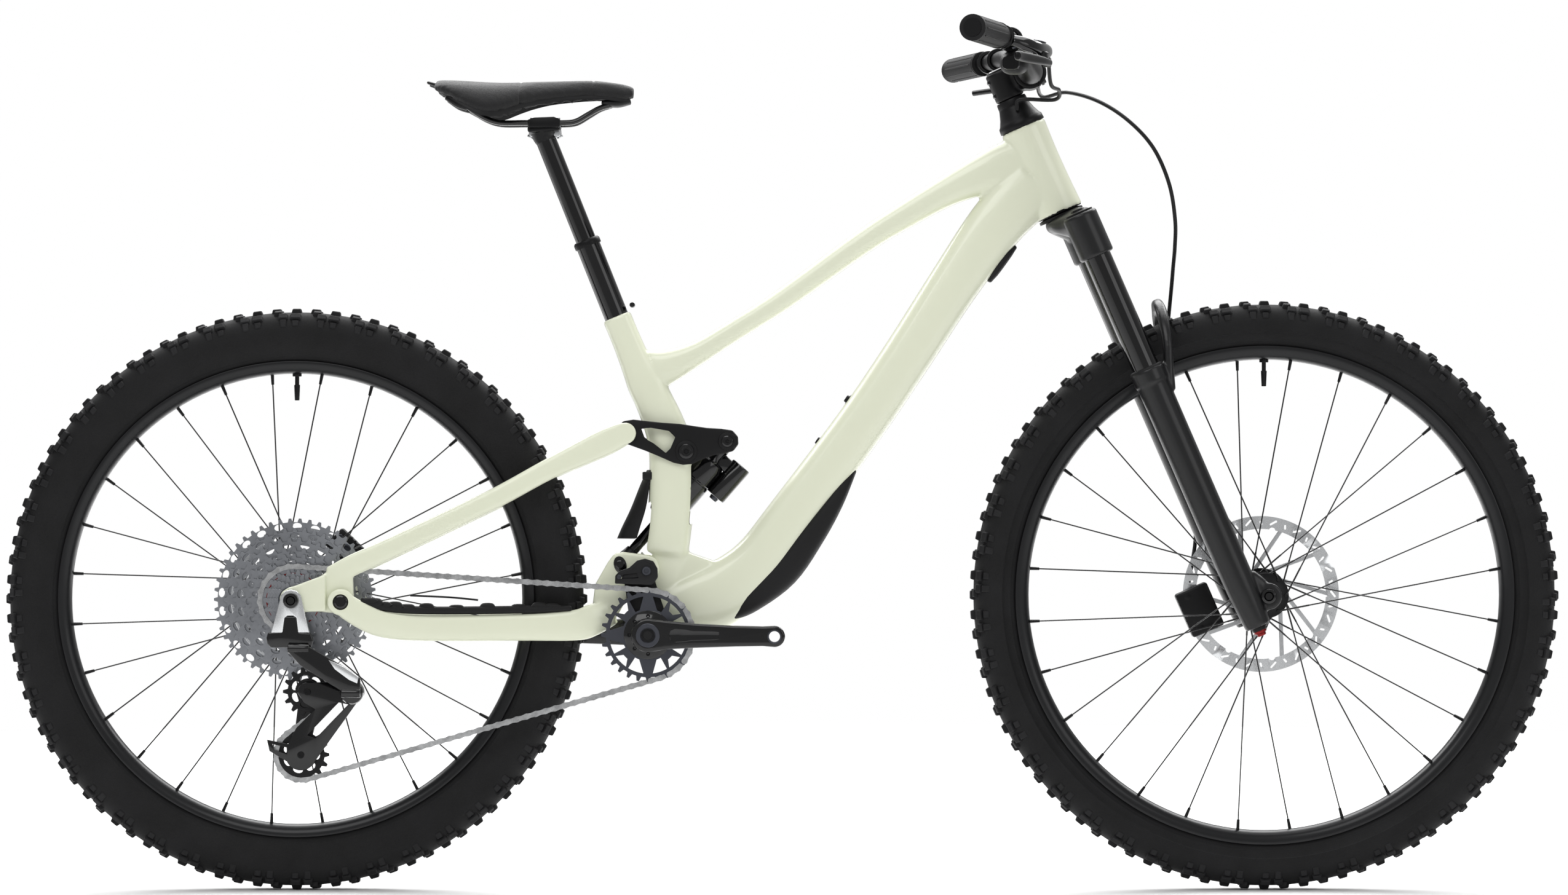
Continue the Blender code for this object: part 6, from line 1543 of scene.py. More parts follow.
        lever = [tube("blade", blade, 28, 0.85, (1, 0, 0), cap=0.002)]
        lever.append(rod(on_bar(side, 0.2030, 0.0500, -0.0355), on_bar(side, 0.2030, 0.0500, -0.0245), 0.0050,
                         sides=24,
                         bevel=0.0008))
        piece("brake_lever_blade_" + name, lever, "brake_lever_" + name, anodised(), ["brake_blade_" + name],
              45)

    def shifter(self):
        pod = [(on_bar(-1, 0.1640, 0.0050, -0.024), 0.0100, 0.0110),
               (on_bar(-1, 0.1720, 0.0060, -0.026), 0.0135, 0.0155),
               (on_bar(-1, 0.1850, 0.0060, -0.029), 0.0150, 0.0175),
               (on_bar(-1, 0.1970, 0.0060, -0.030), 0.0135, 0.0160),
               (on_bar(-1, 0.2045, 0.0060, -0.030), 0.0095, 0.0115)]
        body = tube("pod", pod, 32, 0.8, (1, 0, 0), cap=0.0008)
        collar = lathe("collar", [(0.0113, -0.0055), (0.0150, -0.0055), (0.0156, -0.0040), (0.0156, 0.0040),
                                  (0.0150, 0.0055),
                                  (0.0113, 0.0055)], bar_point(-0.182), SIDE, 36)
        piece("shift_pod", [body, collar], "steering", plastic(), ["shifter_pod"], 45)

    def remote(self):
        hub = on_bar(1, 0.186, 0.004, -0.030)
        ring = lathe("clamp", [(0.0113, -0.0050), (0.0150, -0.0050), (0.0154, -0.0038), (0.0154, 0.0038),
                               (0.0150, 0.0050),
                               (0.0113, 0.0050)], bar_point(0.186), SIDE, 36)
        post = rod(bar_point(0.186) + Vector((0.001, 0, -0.0140)), hub + Vector((0, 0, 0.0080)), 0.0058,
                   sides=24,
                   bevel=0.0008)
        drum = lathe("drum", [(0.0001, -0.0060), (0.0090, -0.0060), (0.0096, -0.0050), (0.0096, 0.0050),
                              (0.0090, 0.0060),
                              (0.0001, 0.0060)], hub, Vector((0, 0, 1)), 32)
        piece("remote_mount", [ring, post, drum], "steering", anodised(), ["dropper_remote"], 40)


# ---- saddle ---------------------------------------------------------------------------------
SEAMS = (-0.030, 0.062)


def saddle_section(x, top, half, drop, thick, curl, count=28):
    """One closed slice of the padded cover: flat on top, its sides turned down."""
    outer, inner = [], []
    for k in range(count + 1):
        t = 2 * k / count - 1
        lean = abs(t) ** 2.6
        outer.append(Vector((x, half * math.sin(t * math.pi / 2 * curl) / math.sin(math.pi / 2 * curl),
                             top - drop * lean)))
    for point in reversed(outer):
        inner.append(Vector((x, point.y * (1 - thick / half * 0.75), point.z - thick)))
    return [POST_HEAD + p for p in outer + inner]


class BIKE_OT_saddle(bpy.types.Operator):
    """Padded saddle cover, shell, rails and post"""
    bl_idname = "bike.saddle"
    bl_label = "Saddle"

    def execute(self, context):
        slices = [(-0.1420, 0.0690, 0.0420, 0.006, 0.0060), (-0.1360, 0.0710, 0.0520, 0.010, 0.0080),
                  (-0.1200, 0.0712, 0.0630, 0.017, 0.0090), (-0.1000, 0.0705, 0.0690, 0.026, 0.0100),
                  (-0.0780, 0.0692, 0.0700, 0.034, 0.0100), (-0.0560, 0.0685, 0.0640, 0.033, 0.0100),
                  (-0.0340, 0.0688, 0.0530, 0.026, 0.0100), (-0.0120, 0.0697, 0.0430, 0.021, 0.0100),
                  (0.0160, 0.0705, 0.0330, 0.0175, 0.0100), (0.0420, 0.0712, 0.0270, 0.0155, 0.0100),
                  (0.0660, 0.0712, 0.0230, 0.0150, 0.0100), (0.0880, 0.0690, 0.0205, 0.0150, 0.0100),
                  (0.1040, 0.0665, 0.0180, 0.0140, 0.0090), (0.1120, 0.0645, 0.0150, 0.0110, 0.0080),
                  (0.1155, 0.0625, 0.0110, 0.0070, 0.0060)]
        flat = smooth_rows(slices, 3)
        pad = skin("cover", [saddle_section(x, top, half, drop, thick, 0.86) for x, top, half, drop,
                             thick in flat])
        applied(pad, "REMESH", mode="VOXEL", voxel_size=0.0042, adaptivity=0.0)
        applied(pad, "SMOOTH", factor=0.5, iterations=4)
        self.filled(pad)
        subdivided(pad, 2)
        self.seamed(pad)
        cover = piece("saddle_pad", pad, "saddle_post", saddle_skin(), ["saddle_cover"], 60)
        self.shell()
        self.rails()
        self.post()
        return {"FINISHED"}

    def filled(self, pad):
        """Blows the cover up a little with a short cloth run, each point kept near its start."""
        starts = [v.co.copy() for v in pad.data.vertices]
        only(pad)
        cloth = pad.modifiers.new("cloth", "CLOTH")
        cloth.settings.use_pressure = True
        cloth.settings.uniform_pressure_force = 4
        cloth.settings.effector_weights.gravity = 0
        cloth.point_cache.frame_start, cloth.point_cache.frame_end = 1, 20
        for frame_number in range(1, 21):
            bpy.context.scene.frame_set(frame_number)
        bpy.ops.object.modifier_apply(modifier=cloth.name)
        bpy.context.scene.frame_set(1)
        for vert, start in zip(pad.data.vertices, starts):
            move = vert.co - start
            if move.length > 0.0014:
                vert.co = start + move.normalized() * 0.0014

    def seamed(self, pad):
        """Presses the two cross seams and the hem into the cover."""
        normals = [v.normal.copy() for v in pad.data.vertices]
        for vert, normal in zip(pad.data.vertices, normals):
            for seam in SEAMS:
                near = abs(vert.co.x - POST_HEAD.x - seam)
                if near < 0.0022:
                    vert.co -= 0.0011 * (1 - near / 0.0022) * normal
        pad.data.update()

    def shell(self):
        rows = [(-0.1330, 0.0630, 0.0440, 0.004), (-0.1200, 0.0600, 0.0560, 0.010),
                (-0.1000, 0.0585, 0.0650, 0.021),
                (-0.0780, 0.0570, 0.0672, 0.030), (-0.0560, 0.0565, 0.0610, 0.0285),
                (-0.0340, 0.0570, 0.0500, 0.0215),
                (-0.0120, 0.0580, 0.0395, 0.0160), (0.0160, 0.0590, 0.0295, 0.0120),
                (0.0660, 0.0595, 0.0200, 0.0090),
                (0.0960, 0.0560, 0.0165, 0.0085), (0.1080, 0.0535, 0.0120, 0.0050)]
        rings = []
        for x, top, half, drop in smooth_rows(rows, 3):
            outer = []
            for k in range(25):
                t = k / 12 - 1
                outer.append(Vector((x, half * math.sin(t * math.pi / 2 * 0.86) / math.sin(math.pi / 2 * 0.86),
                                     top - drop * abs(t) ** 2.6)))
            inner = [p + Vector((0, 0, -0.0022)) for p in reversed(outer)]
            rings.append([POST_HEAD + p for p in outer + inner])
        base = skin("base", rings)
        tails = []
        for side in (-1, 1):
            tails.append(tube("tail", [(POST_HEAD + Vector((-0.118, side * 0.034, 0.0560)), 0.0030, 0.0075),
                                       (POST_HEAD + Vector((-0.134, side * 0.030, 0.0640)), 0.0026, 0.0060),
                                       (POST_HEAD + Vector((-0.1465, side * 0.024, 0.0685)), 0.0020, 0.0050)],
                                       20, 0.8, cap=0.001))
            tails.append(tube("cradle", [(POST_HEAD + Vector((-0.124, side * 0.026, 0.0500)), 0.0035, 0.0060),
                                         (POST_HEAD + Vector((-0.110, side * 0.027, 0.0420)), 0.0050, 0.0065),
                                         (POST_HEAD + Vector((-0.098, side * 0.028, 0.0380)), 0.0050,
                                          0.0060)], 20, 0.8, cap=0.001))
        nose = tube("nose", [(POST_HEAD + Vector((0.074, 0, 0.0440)), 0.0040, 0.0140),
                             (POST_HEAD + Vector((0.092, 0, 0.0445)), 0.0060, 0.0145),
                             (POST_HEAD + Vector((0.107, 0, 0.0480)), 0.0060, 0.0110)], 24, 0.75, cap=0.002)
        piece("saddle_base", [base, nose] + tails, "saddle_post", plastic(), ["saddle_shell"], 45)

    def rails(self):
        half = [(-0.1000, 0.0405, 0.0280), (-0.0900, 0.0330, 0.0268), (-0.0740, 0.0235, 0.0240),
                (-0.0560, 0.0182, 0.0222),
                (-0.0260, 0.0180, 0.0220), (0.0000, 0.0180, 0.0220), (0.0250, 0.0180, 0.0218),
                (0.0400, 0.0200, 0.0208),
                (0.0560, 0.0290, 0.0180), (0.0700, 0.0370, 0.0130), (0.0840, 0.0415, 0.0080)]
        bars = []
        for side in (-1, 1):
            bars.append(cable("rail", [POST_HEAD + Vector((x, side * y, z)) for x, z, y in half], 0.0035, 5,
                              14))
        bars.append(cable("loop", [POST_HEAD + Vector((0.082, y, 0.0412)) for y in (-0.009, 0.0, 0.009)],
                          0.0034, 4, 14))
        piece("rail_pair", bars, "saddle_post", gloss_black(), ["saddle_rails"], 60)

    def post(self):
        h = POST_HEAD
        tube_low = SEAT_TOP - 0.088 * POST_UP
        outer = lathe("outer", [(0.0134, 0.0), (0.01545, 0.0),
                                (0.01545, (POST_RING - tube_low).length - 0.0090),
                                (0.0134, (POST_RING - tube_low).length - 0.0090)], tube_low, POST_UP, 48)
        piece("post_outer_tube", outer, "frame", gloss_black(), ["seatpost_outer"], 50)
        ring = lathe("ring", [(0.0136, -0.0090), (0.0169, -0.0090), (0.0173, -0.0082), (0.0173, -0.0030),
                              (0.0166, -0.0012),
                              (0.0152, 0.0), (0.0136, 0.0)], POST_RING, POST_UP, 48)
        piece("post_wiper_ring", ring, "frame", anodised())
        shaft = rod(POST_RING - 0.050 * POST_UP, h - 0.002 * POST_UP, 0.0131, sides=48)
        piece("post_shaft", shaft, "saddle_post", stanchion_black(), ["seatpost_inner"], 50)
        head = [tube("head", [(h - 0.0040 * POST_UP, 0.0134, 0.0134), (h + 0.0010 * POST_UP, 0.0150, 0.0165),
                              (h + Vector((-0.002, 0, 0.0075)), 0.0180, 0.0215)], 32, 0.85)]
        head.append(brick(h + Vector((-0.001, 0, 0.0110)), (0.041, 0.046, 0.008), (0, -0.06, 0), 0.0028, 3))
        for side in (-1, 1):
            low, high = sorted((side * 0.0165, side * 0.0278))
            head.append(plate([(h.x - 0.0200, h.z + 0.0120), (h.x - 0.0215, h.z + 0.0215),
                               (h.x - 0.0130, h.z + 0.0245),
                               (h.x + 0.0120, h.z + 0.0255), (h.x + 0.0200, h.z + 0.0225),
                               (h.x + 0.0195, h.z + 0.0120)],
                              low, high, 0.0012, 2))
        piece("post_head", head, "saddle_post", anodised(), smooth=40)
        pins = []
        for side in (-1, 1):
            spot = h + Vector((side * 0.0165, 0, 0.0055))
            pins.append(rod(spot - Vector((side * 0.001, 0.0095, 0)),
                            spot + Vector((-side * 0.001, 0.0095, 0)), 0.0048, sides=24,
                            bevel=0.0006))
            pins.append(rod(spot + Vector((side * 0.0022, 0, -0.0048)), spot + Vector((0, 0, 0.0200)), 0.0026,
                            sides=20))
            pins.append(rod(spot + Vector((side * 0.0030, 0, -0.0052)),
                            spot + Vector((side * 0.0018, 0, -0.0026)), 0.0038, sides=20,
                            bevel=0.0005))
        piece("post_bolts", pins, "saddle_post", steel())


def smooth_rows(rows, steps):
    """Rows of numbers with smooth rows put in between."""
    line = smooth_line([Vector(row) for row in rows], steps)
    return [tuple(row) for row in line]


# ---- cranks ---------------------------------------------------------------------------------
class BIKE_OT_cranks(bpy.types.Operator):
    """Forged crank arms, spindle, direct-mount chainring and its bolts"""
    bl_idname = "bike.cranks"
    bl_label = "Cranks"

    def execute(self, context):
        for side, reach, name in ((-1, 0.160, "drive"), (1, -0.160, "nondrive")):
            self.arm(side, reach, name)
        self.ring()
        return {"FINISHED"}

    def arm(self, side, reach, name):
        way = 1 if reach > 0 else -1
        tip = Vector((BB.x + reach, 0, BB.z - way * 0.0015))
        low, high = sorted((side * 0.0602, side * 0.0738))
        outline = []
        for k in range(25):
            a = math.radians(75 + 210 * k / 24)
            outline.append((BB.x + way * 0.0213 * math.cos(a), BB.z + 0.0213 * math.sin(a)))
        for x, z in ((0.030, -0.0172), (0.060, -0.0158), (0.110, -0.0142), (0.145, -0.0136)):
            outline.append((BB.x + way * x, BB.z + z))
        for k in range(17):
            a = math.radians(-90 + 180 * k / 16)
            outline.append((tip.x + way * 0.0134 * math.cos(a), tip.z + 0.0134 * math.sin(a)))
        for x, z in ((0.145, 0.0112), (0.110, 0.0122), (0.060, 0.0150), (0.030, 0.0178)):
            outline.append((BB.x + way * x, BB.z + z))
        arm = plate(outline, low, high, 0.0030, 4)
        pocket = [(BB.x + way * x, BB.z + z) for x, z in ((0.0285, -0.0060), (0.0270, 0.0), (0.0285, 0.0060),
                                                          (0.0340, 0.0085),
                                                          (0.0480, 0.0075), (0.0560, 0.0058),
                                                          (0.0830, 0.0052), (0.0900, 0.0045),
                                                          (0.0900, -0.0050), (0.0830, -0.0058), (0.0560,
                                                                  -0.0065),
                                                          (0.0480, -0.0080), (0.0340, -0.0088))]
        face = side * 0.0738
        cut(arm, plate(pocket, *sorted((face - side * 0.0022, face + side * 0.01)), 0.0006, 2),
            across(tip, -0.1, 0.1, 0.0070, 32), across(BB, *sorted((side * 0.0722, side * 0.08)), 0.0158, 40))
        parts = [arm]
        if side < 0:
            parts.append(across(BB, -0.0605, -0.0550, 0.0165, 40))
            parts.append(across(BB, -0.062, 0.0595, 0.0145, 40))
        piece("crank_arm_" + name, parts, "crankset", gloss_black(), ["crank_" + name], 32)
        ring = lathe("ring", [(0.0086, 0.0717), (0.0152, 0.0717), (0.0152, 0.0738), (0.0146, 0.0744),
                              (0.0098, 0.0744),
                              (0.0092, 0.0735), (0.0086, 0.0728)], BB, side * SIDE, 48)
        plug = lathe("plug", [(0.0001, 0.0706), (0.0084, 0.0706), (0.0084, 0.0724), (0.0060, 0.0726),
                              (0.0048, 0.0712),
                              (0.0001, 0.0712)], BB, side * SIDE, 40)
        insert = lathe("insert", [(0.0071, 0.0600), (0.0090, 0.0600), (0.0090, 0.0739), (0.0071, 0.0741)],
                       tip, side * SIDE, 36)
        piece("crank_ring_" + name, [ring, insert], "crankset", dark_ring())
        piece("crank_plug_" + name, plug, "crankset", anodised())

    def ring(self):
        y = -CHAINLINE
        disc = toothed(28, BB, y - 0.0018, y + 0.0018, 0.0030, 0.0030, 0.27, 0.0003)
        tools = []
        for quarter in range(4):
            middle = math.radians(45 + 90 * quarter)
            for start, end, low in ((-38, -16, 0.0330), (-12, 10, 0.0400), (14, 38, 0.0330)):
                outline = []
                for k in range(9):
                    a = middle + math.radians(start + (end - start) * k / 8)
                    outline.append((BB.x + 0.0490 * math.cos(a), BB.z + 0.0490 * math.sin(a)))
                a = middle + math.radians((start + end) / 2 + (6 if start < -20 else -6 if start > 0 else 0))
                for k in (5, 0, -5):
                    b = a + math.radians(k)
                    outline.append((BB.x + low * math.cos(b), BB.z + low * math.sin(b)))
                tools.append(plate(outline, y - 0.01, y + 0.01))
        cut(disc, together("windows", tools))
        hub = lathe("spider", [(0.0150, -0.0590), (0.0205, -0.0590), (0.0215, -0.0575), (0.0300, -0.0548),
                               (0.0310, -0.0536),
                               (0.0310, -0.0505), (0.0150, -0.0505)], BB, SIDE, 64)
        piece("chainring_body", disc, "crankset", dark_ring(), ["chainring"], 30)
        piece("chainring_hub", hub, "crankset", gloss_black())
        screws = [bolt(Vector((BB.x + 0.0240, -0.0562, BB.z)), -SIDE, 0.0026, 0.0014)]
        piece("chainring_bolts", round_axle(screws[0], BB, 8), "crankset", anodised())


# ---- rear changer ---------------------------------------------------------------------------
class BIKE_OT_derailleur(bpy.types.Operator):
    """Bracket on the axle, body, link, knuckle, cage and jockey wheels"""
    bl_idname = "bike.derailleur"
    bl_label = "Derailleur"

    def execute(self, context):
        e, k = REAR, KNUCKLE
        bracket = plate([(e.x - 0.0140, e.z + 0.001), (e.x - 0.0125, e.z + 0.0070),
                         (e.x - 0.0070, e.z + 0.0123),
                         (e.x, e.z + 0.0140), (e.x + 0.0070, e.z + 0.0123), (e.x + 0.0125, e.z + 0.0070),
                         (e.x + 0.0140, e.z + 0.001), (e.x + 0.0185, e.z - 0.020),
                         (e.x + 0.0235, e.z - 0.0405),
                         (e.x + 0.0090, e.z - 0.0405), (e.x + 0.0068, e.z - 0.0215),
                         (e.x + 0.0030, e.z - 0.0190),
                         (e.x - 0.0040, e.z - 0.0190), (e.x - 0.0078, e.z - 0.0215),
                         (e.x - 0.0105, e.z - 0.0405),
                         (e.x - 0.0255, e.z - 0.0405), (e.x - 0.0195, e.z - 0.020)], -0.0897, -0.0827, 0.0012,
                         3)
        cut(bracket, across(e, -0.12, -0.07, 0.0101, 40))
        piece("derailleur_bracket", bracket, "rear_stay", bright_steel(), ["derailleur_body"], 30)
        body = [plate([(e.x - 0.0110, e.z - 0.0195), (e.x + 0.0070, e.z - 0.0195),
                       (e.x + 0.0100, e.z - 0.0400),
                       (e.x + 0.0250, e.z - 0.0405), (e.x + 0.0285, e.z - 0.0500),
                       (e.x + 0.0255, e.z - 0.0592),
                       (e.x - 0.0255, e.z - 0.0592), (e.x - 0.0300, e.z - 0.0540),
                       (e.x - 0.0310, e.z - 0.0470),
                       (e.x - 0.0290, e.z - 0.0400), (e.x - 0.0120, e.z - 0.0395)], -0.0893, -0.0820, 0.0020,
                       3)]
        piece("derailleur_body_shell", body, "rear_stay", gloss_black(), smooth=35)
        t, low = LINK_TOP, LINK_LOW
        link = [plate([(t.x - 0.0135, t.z + 0.0035), (t.x - 0.0080, t.z + 0.0056),
                       (t.x + 0.0080, t.z + 0.0056),
                       (t.x + 0.0150, t.z + 0.0020), (low.x - 0.0080, low.z + 0.0330),
                       (low.x + 0.0120, low.z + 0.0190),
                       (low.x + 0.0120, low.z - 0.0020), (low.x + 0.0060, low.z - 0.0055),
                       (low.x - 0.0080, low.z - 0.0050),
                       (low.x - 0.0125, low.z + 0.0030), (t.x + 0.0020, t.z - 0.0210),
                       (t.x - 0.0130, t.z - 0.0040)],
                      t.y - 0.0034, t.y + 0.0034, 0.0020, 3)]
        link.append(rod((t.x - 0.0134, t.y, t.z), (t.x + 0.0134, t.y, t.z), 0.0058, sides=32, bevel=0.0010))
        link.append(rod((low.x - 0.0120, low.y, low.z), (low.x + 0.0120, low.y, low.z), 0.0058, sides=32,
                        bevel=0.0010))
        piece("derailleur_arm_body", link, "derailleur_arm", gloss_black(), ["derailleur_link"], 32)
        wedge = plate([(low.x - 0.0280, low.z + 0.0420), (low.x - 0.0090, low.z + 0.0335),
                       (low.x + 0.0100, low.z + 0.0205),
                       (low.x + 0.0085, low.z + 0.0120), (low.x - 0.0020, low.z + 0.0165),
                       (low.x - 0.0200, low.z + 0.0300)],
                      t.y - 0.0046, t.y - 0.0030, 0.0010, 2)
        piece("derailleur_wedge", wedge, "derailleur_arm", bright_steel(), smooth=30)
        knuckle = lathe("knuckle", [(0.0001, -0.0870), (0.0100, -0.0870), (0.0135, -0.0856),
                                    (0.0149, -0.0830),
                                    (0.0149, -0.0640), (0.0140, -0.0617), (0.0050, -0.0617),
                                    (0.0050, -0.0650), (0.0001, -0.0650)],
                        k, SIDE, 48)
        boss = across(k, -0.0900, -0.0850, 0.0054, 28)
        groove = lathe("groove", [(0.0142, -0.0740), (0.0160, -0.0740), (0.0160, -0.0728), (0.0142, -0.0728)],
                       k, SIDE, 48)
        piece("derailleur_p_knuckle", [cut(knuckle, groove), boss], "derailleur_knuckle_body", gloss_black(),
              ["derailleur_knuckle"], 32)
        self.cage()
        for index, name in ((0, "upper"), (1, "lower")):
            self.pulley(PULLEYS[index], (14, 16)[index], name, ("guide_pulley", "tension_pulley")[index])
        return {"FINISHED"}

    def cage(self):
        k, upper, lower = KNUCKLE, PULLEYS[0], PULLEYS[1]
        y = -CHAINLINE - 0.0090

        def arc(centre, radius, start, end, count=10):
            return [(centre.x + radius * math.cos(math.radians(start + (end - start) * i / count)),
                     centre.z + radius * math.sin(math.radians(start + (end - start) * i / count)))
                     for i in range(count + 1)]

        outer = arc(k, 0.0128, -55, 100) + arc(upper, 0.0120, 80, 190)
        outer += [(upper.x - 0.004, upper.z - 0.014), (upper.x + 0.010, upper.z - 0.022),
                  (lower.x - 0.006, lower.z + 0.034)]
        outer += [(lower.x - 0.016, lower.z + 0.014), (lower.x - 0.043, lower.z + 0.0195),
                  (lower.x - 0.0398, lower.z + 0.0050)]
        outer += arc(lower, 0.0196, 205, 335, 14)
        front = plate(outer, y, y + 0.003, 0.0007, 2)
        cut(front, plate([(lower.x - 0.036, lower.z + 0.0140), (lower.x - 0.0180, lower.z + 0.0095),
                          (lower.x - 0.0175, lower.z + 0.0010),
                          (lower.x - 0.0330, lower.z + 0.0062)], y - 0.01, y + 0.01),
            plate([(k.x - 0.0180, k.z - 0.0135), (k.x - 0.0060, k.z - 0.0160),
                   (lower.x + 0.0185, lower.z + 0.0210),
                   (lower.x + 0.0080, lower.z + 0.0250)], y - 0.01, y + 0.01))
        inner = arc(upper, 0.0165, 20, 170) + [(upper.x - 0.012, upper.z - 0.012),
                                               (lower.x - 0.010, lower.z + 0.020)]
        inner += arc(lower, 0.0196, 150, 340, 18) + [(lower.x + 0.013, lower.z + 0.020),
                                                     (upper.x + 0.017, upper.z - 0.012)]
        back = plate(inner, -CHAINLINE + 0.0043, -CHAINLINE + 0.0067, 0.0006, 2)
        cut(back, across(upper, -0.06, -0.03, 0.0085, 32), across(lower, -0.06, -0.03, 0.0085, 32))
        parts = [front, back, across(k, y - 0.0073, y + 0.0010, 0.0044, 24)]
        for spot in (upper, lower):
            parts.append(across(spot, y + 0.0010, -CHAINLINE + 0.0060, 0.0029, 20))
            parts.append(across(spot, -CHAINLINE + 0.0042, -CHAINLINE + 0.0066, 0.0088, 28))
        piece("derailleur_cage_plates", parts, "cage", gloss_black(), ["derailleur_cage"], 32)
        screws = [bolt(Vector((s.x, y, s.z)), -SIDE, 0.0045, 0.0016) for s in (upper, lower)]
        piece("derailleur_cage_bolts", screws, "cage", anodised())

    def pulley(self, spot, teeth, name, body):
        wheel = toothed(teeth, spot, -CHAINLINE - 0.0012, -CHAINLINE + 0.0012, 0.0028, 0.0030, 0.30)
        tools = [spun_holes(spot, pitch_radius(teeth) * 0.60, -CHAINLINE, 0.0042, 7, stretch=1.5),
                 across(spot, -0.06, -0.04, 0.0034, 24)]
        cut(wheel, *tools)
        rim = lathe("rim", [(pitch_radius(teeth) - 0.0060, -CHAINLINE - 0.0018),
                            (pitch_radius(teeth) - 0.0036, -CHAINLINE - 0.0018),
                            (pitch_radius(teeth) - 0.0036, -CHAINLINE + 0.0018),
                            (pitch_radius(teeth) - 0.0060, -CHAINLINE + 0.0018)],
                    spot, SIDE, 40)
        hub = lathe("hub", [(0.0034, -CHAINLINE - 0.0022), (0.0078, -CHAINLINE - 0.0022),
                            (0.0078, -CHAINLINE + 0.0022),
                            (0.0034, -CHAINLINE + 0.0022)], spot, SIDE, 32)
        piece("pulley_wheel_" + name, [wheel, rim, hub], body, plastic(), ["pulley_" + name], 30)


# ---- hoses and plain pieces -----------------------------------------------------------------
class BIKE_OT_hoses(bpy.types.Operator):
    """Brake hoses on their runs, and a finish on every piece left from the frame"""
    bl_idname = "bike.hoses"
    bl_label = "Hoses"

    def execute(self, context):
        c, top = CLAMP, HEAD_TOP

        def near(x, z, y):
            return Vector((c.x + x, y, c.z + z))

        front = [on_bar(1, 0.158, 0.042, -0.014), near(0.020, -0.022, 0.105), near(0.050, -0.020, 0.060),
                 near(0.088, -0.034, 0.015), near(0.125, -0.060, -0.010), near(0.157, -0.095, -0.012),
                 near(0.178, -0.140, 0.0), near(0.187, -0.185, 0.018), near(0.188, -0.220, 0.036),
                 near(0.186, -0.260, 0.056), on_fork(0.235, 0.051, 0.078), on_fork(0.290, 0.044, 0.088),
                 on_fork(0.360, 0.032, 0.0925), on_fork(0.440, 0.005, 0.091), on_fork(0.480, -0.018, 0.080),
                 on_fork(0.494, -0.030, 0.066), on_fork(0.5048, -0.0355, 0.0520)]
        hose = piece("hose_front", cable("hose", front, 0.0025, 8, 12), None, plastic(), ["front_brake_hose"],
                     60)
        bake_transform(hose)
        start = top - 0.036 * DOWN
        end = top - 0.0220 * DOWN
        rear = [on_bar(-1, 0.158, 0.042, -0.014), near(0.022, -0.020, -0.108), near(0.034, -0.026, -0.075),
                near(0.030, -0.036, -0.046), start + Vector((0.010, -0.0290, 0)),
                end + Vector((0, -0.0255, 0))]
        piece("hose_rear", cable("hose", rear, 0.0025, 8, 12), "steering", plastic(), ["rear_brake_hose"], 60)
        for obj in frame["nodes"].values():
            if not obj.hide_render:
                obj.data.materials.clear()
                obj.data.materials.append(anodised())
        return {"FINISHED"}


# ---- stage ----------------------------------------------------------------------------------
def lamp(name, place, target, size, power):
    clear()
    bpy.ops.object.light_add(type="AREA", location=place)
    light = bpy.context.object
    light.name = name
    light.data.shape = "RECTANGLE"
    light.data.size, light.data.size_y = size
    light.data.energy = power
    light.rotation_euler = (Vector(target) - Vector(place)).to_track_quat("-Z", "Y").to_euler()
    return light


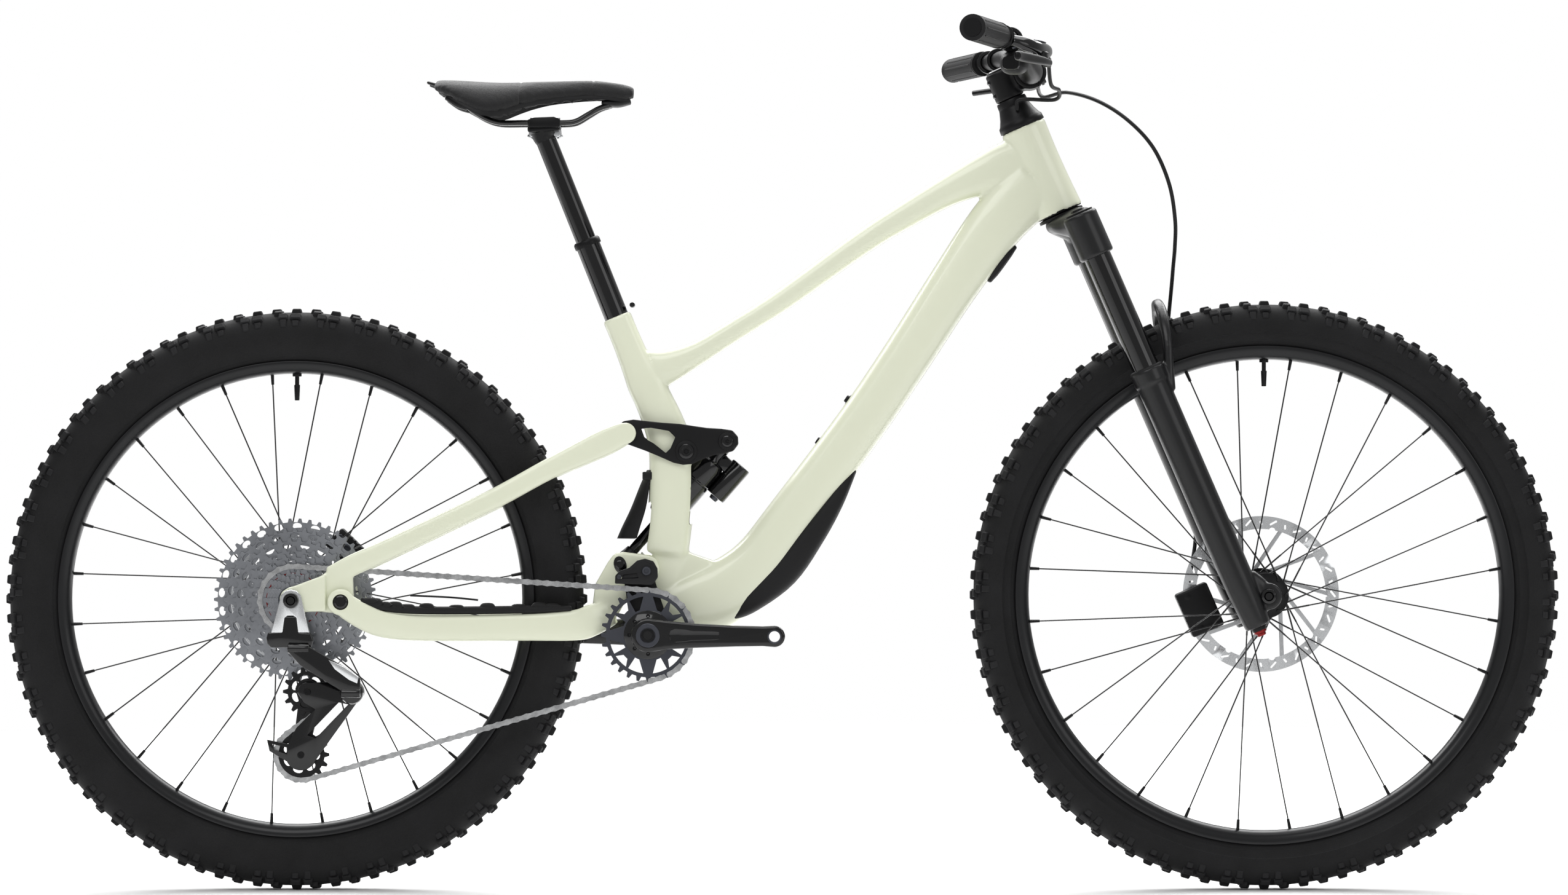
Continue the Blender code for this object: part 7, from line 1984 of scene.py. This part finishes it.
class BIKE_OT_stage(bpy.types.Operator):
    """Pale floor in a white room, soft lights and the side camera"""
    bl_idname = "bike.stage"
    bl_label = "Stage"

    def execute(self, context):
        clear()
        bpy.ops.mesh.primitive_circle_add(vertices=128, radius=4.2, fill_type="NGON",
                                          location=(0, 0, -0.0005))
        floor = settled(started("studio_floor"))
        floor.data.materials.append(finish("studio floor", (0.90, 0.90, 0.90), 0.55, spread=0.05, patch=0.006,
                                           patch_scale=0.7, grain_scale=120))
        lamp("key", (-1.2, -3.6, 3.6), (0, 0, 0.5), (3.4, 2.2), 62)
        lamp("fill", (3.4, -3.4, 2.0), (0.1, 0, 0.5), (2.4, 2.4), 26)
        lamp("top", (0.0, 0.1, 3.4), (0, 0, 0.4), (3.8, 1.6), 60)
        lamp("floor_far", (0.0, 2.6, 3.2), (0, 2.6, 0), (7.0, 3.0), 330)
        world = bpy.context.scene.world or bpy.data.worlds.new("studio")
        bpy.context.scene.world = world
        world.use_nodes = True
        nodes, links = world.node_tree.nodes, world.node_tree.links
        back = nodes["Background"]
        back.inputs["Color"].default_value = (1, 1, 1, 1)
        path = nodes.new("ShaderNodeLightPath")
        level = nodes.new("ShaderNodeMapRange")
        level.inputs["To Min"].default_value = 0.42
        level.inputs["To Max"].default_value = 1.0
        links.new(path.outputs["Is Camera Ray"], level.inputs["Value"])
        links.new(level.outputs["Result"], back.inputs["Strength"])
        clear()
        bpy.ops.object.camera_add(location=(0.002, -7.05, 0.563), rotation=(math.pi / 2, 0, 0))
        camera = bpy.context.object
        camera.name = "side_camera"
        camera.data.lens = 126.9
        camera.data.sensor_width = 36
        bpy.context.scene.camera = camera
        bpy.context.scene.view_settings.view_transform = "Standard"
        return {"FINISHED"}


STEPS = ("stage", "tyres", "wheels", "cassette", "chain", "frame", "chain_guide", "chainstay",
         "seatstay", "linkage", "fork", "cockpit", "saddle", "cranks", "derailleur", "hoses")


class BIKE_PT_panel(bpy.types.Panel):
    """Sizes, colours and the pieces in the order they are made"""
    bl_label = "Trail Bike"
    bl_idname = "BIKE_PT_panel"
    bl_space_type = "VIEW_3D"
    bl_region_type = "UI"
    bl_category = "Trail Bike"

    def draw(self, context):
        layout = self.layout
        for group in (context.scene.bike_sizes, context.scene.bike_colours):
            for key in group.bl_rna.properties.keys():
                if key not in ("rna_type", "name"):
                    layout.prop(group, key)
        for step in STEPS:
            layout.operator("bike." + step)


CLASSES = [BikeSizes, BikeColours, BIKE_OT_stage, BIKE_OT_tyres, BIKE_OT_wheels, BIKE_OT_cassette,
           BIKE_OT_chain, BIKE_OT_frame, BIKE_OT_chain_guide, BIKE_OT_chainstay, BIKE_OT_seatstay,
           BIKE_OT_linkage, BIKE_OT_fork, BIKE_OT_cockpit, BIKE_OT_saddle, BIKE_OT_cranks,
           BIKE_OT_derailleur, BIKE_OT_hoses, BIKE_PT_panel]


def register():
    for cls in CLASSES:
        bpy.utils.register_class(cls)
    bpy.types.Scene.bike_sizes = PointerProperty(type=BikeSizes)
    bpy.types.Scene.bike_colours = PointerProperty(type=BikeColours)


def unregister():
    del bpy.types.Scene.bike_sizes
    del bpy.types.Scene.bike_colours
    for cls in reversed(CLASSES):
        bpy.utils.unregister_class(cls)


def main():
    register()
    for step in STEPS:
        getattr(bpy.ops.bike, step)()


if __name__ == "__main__":
    main()
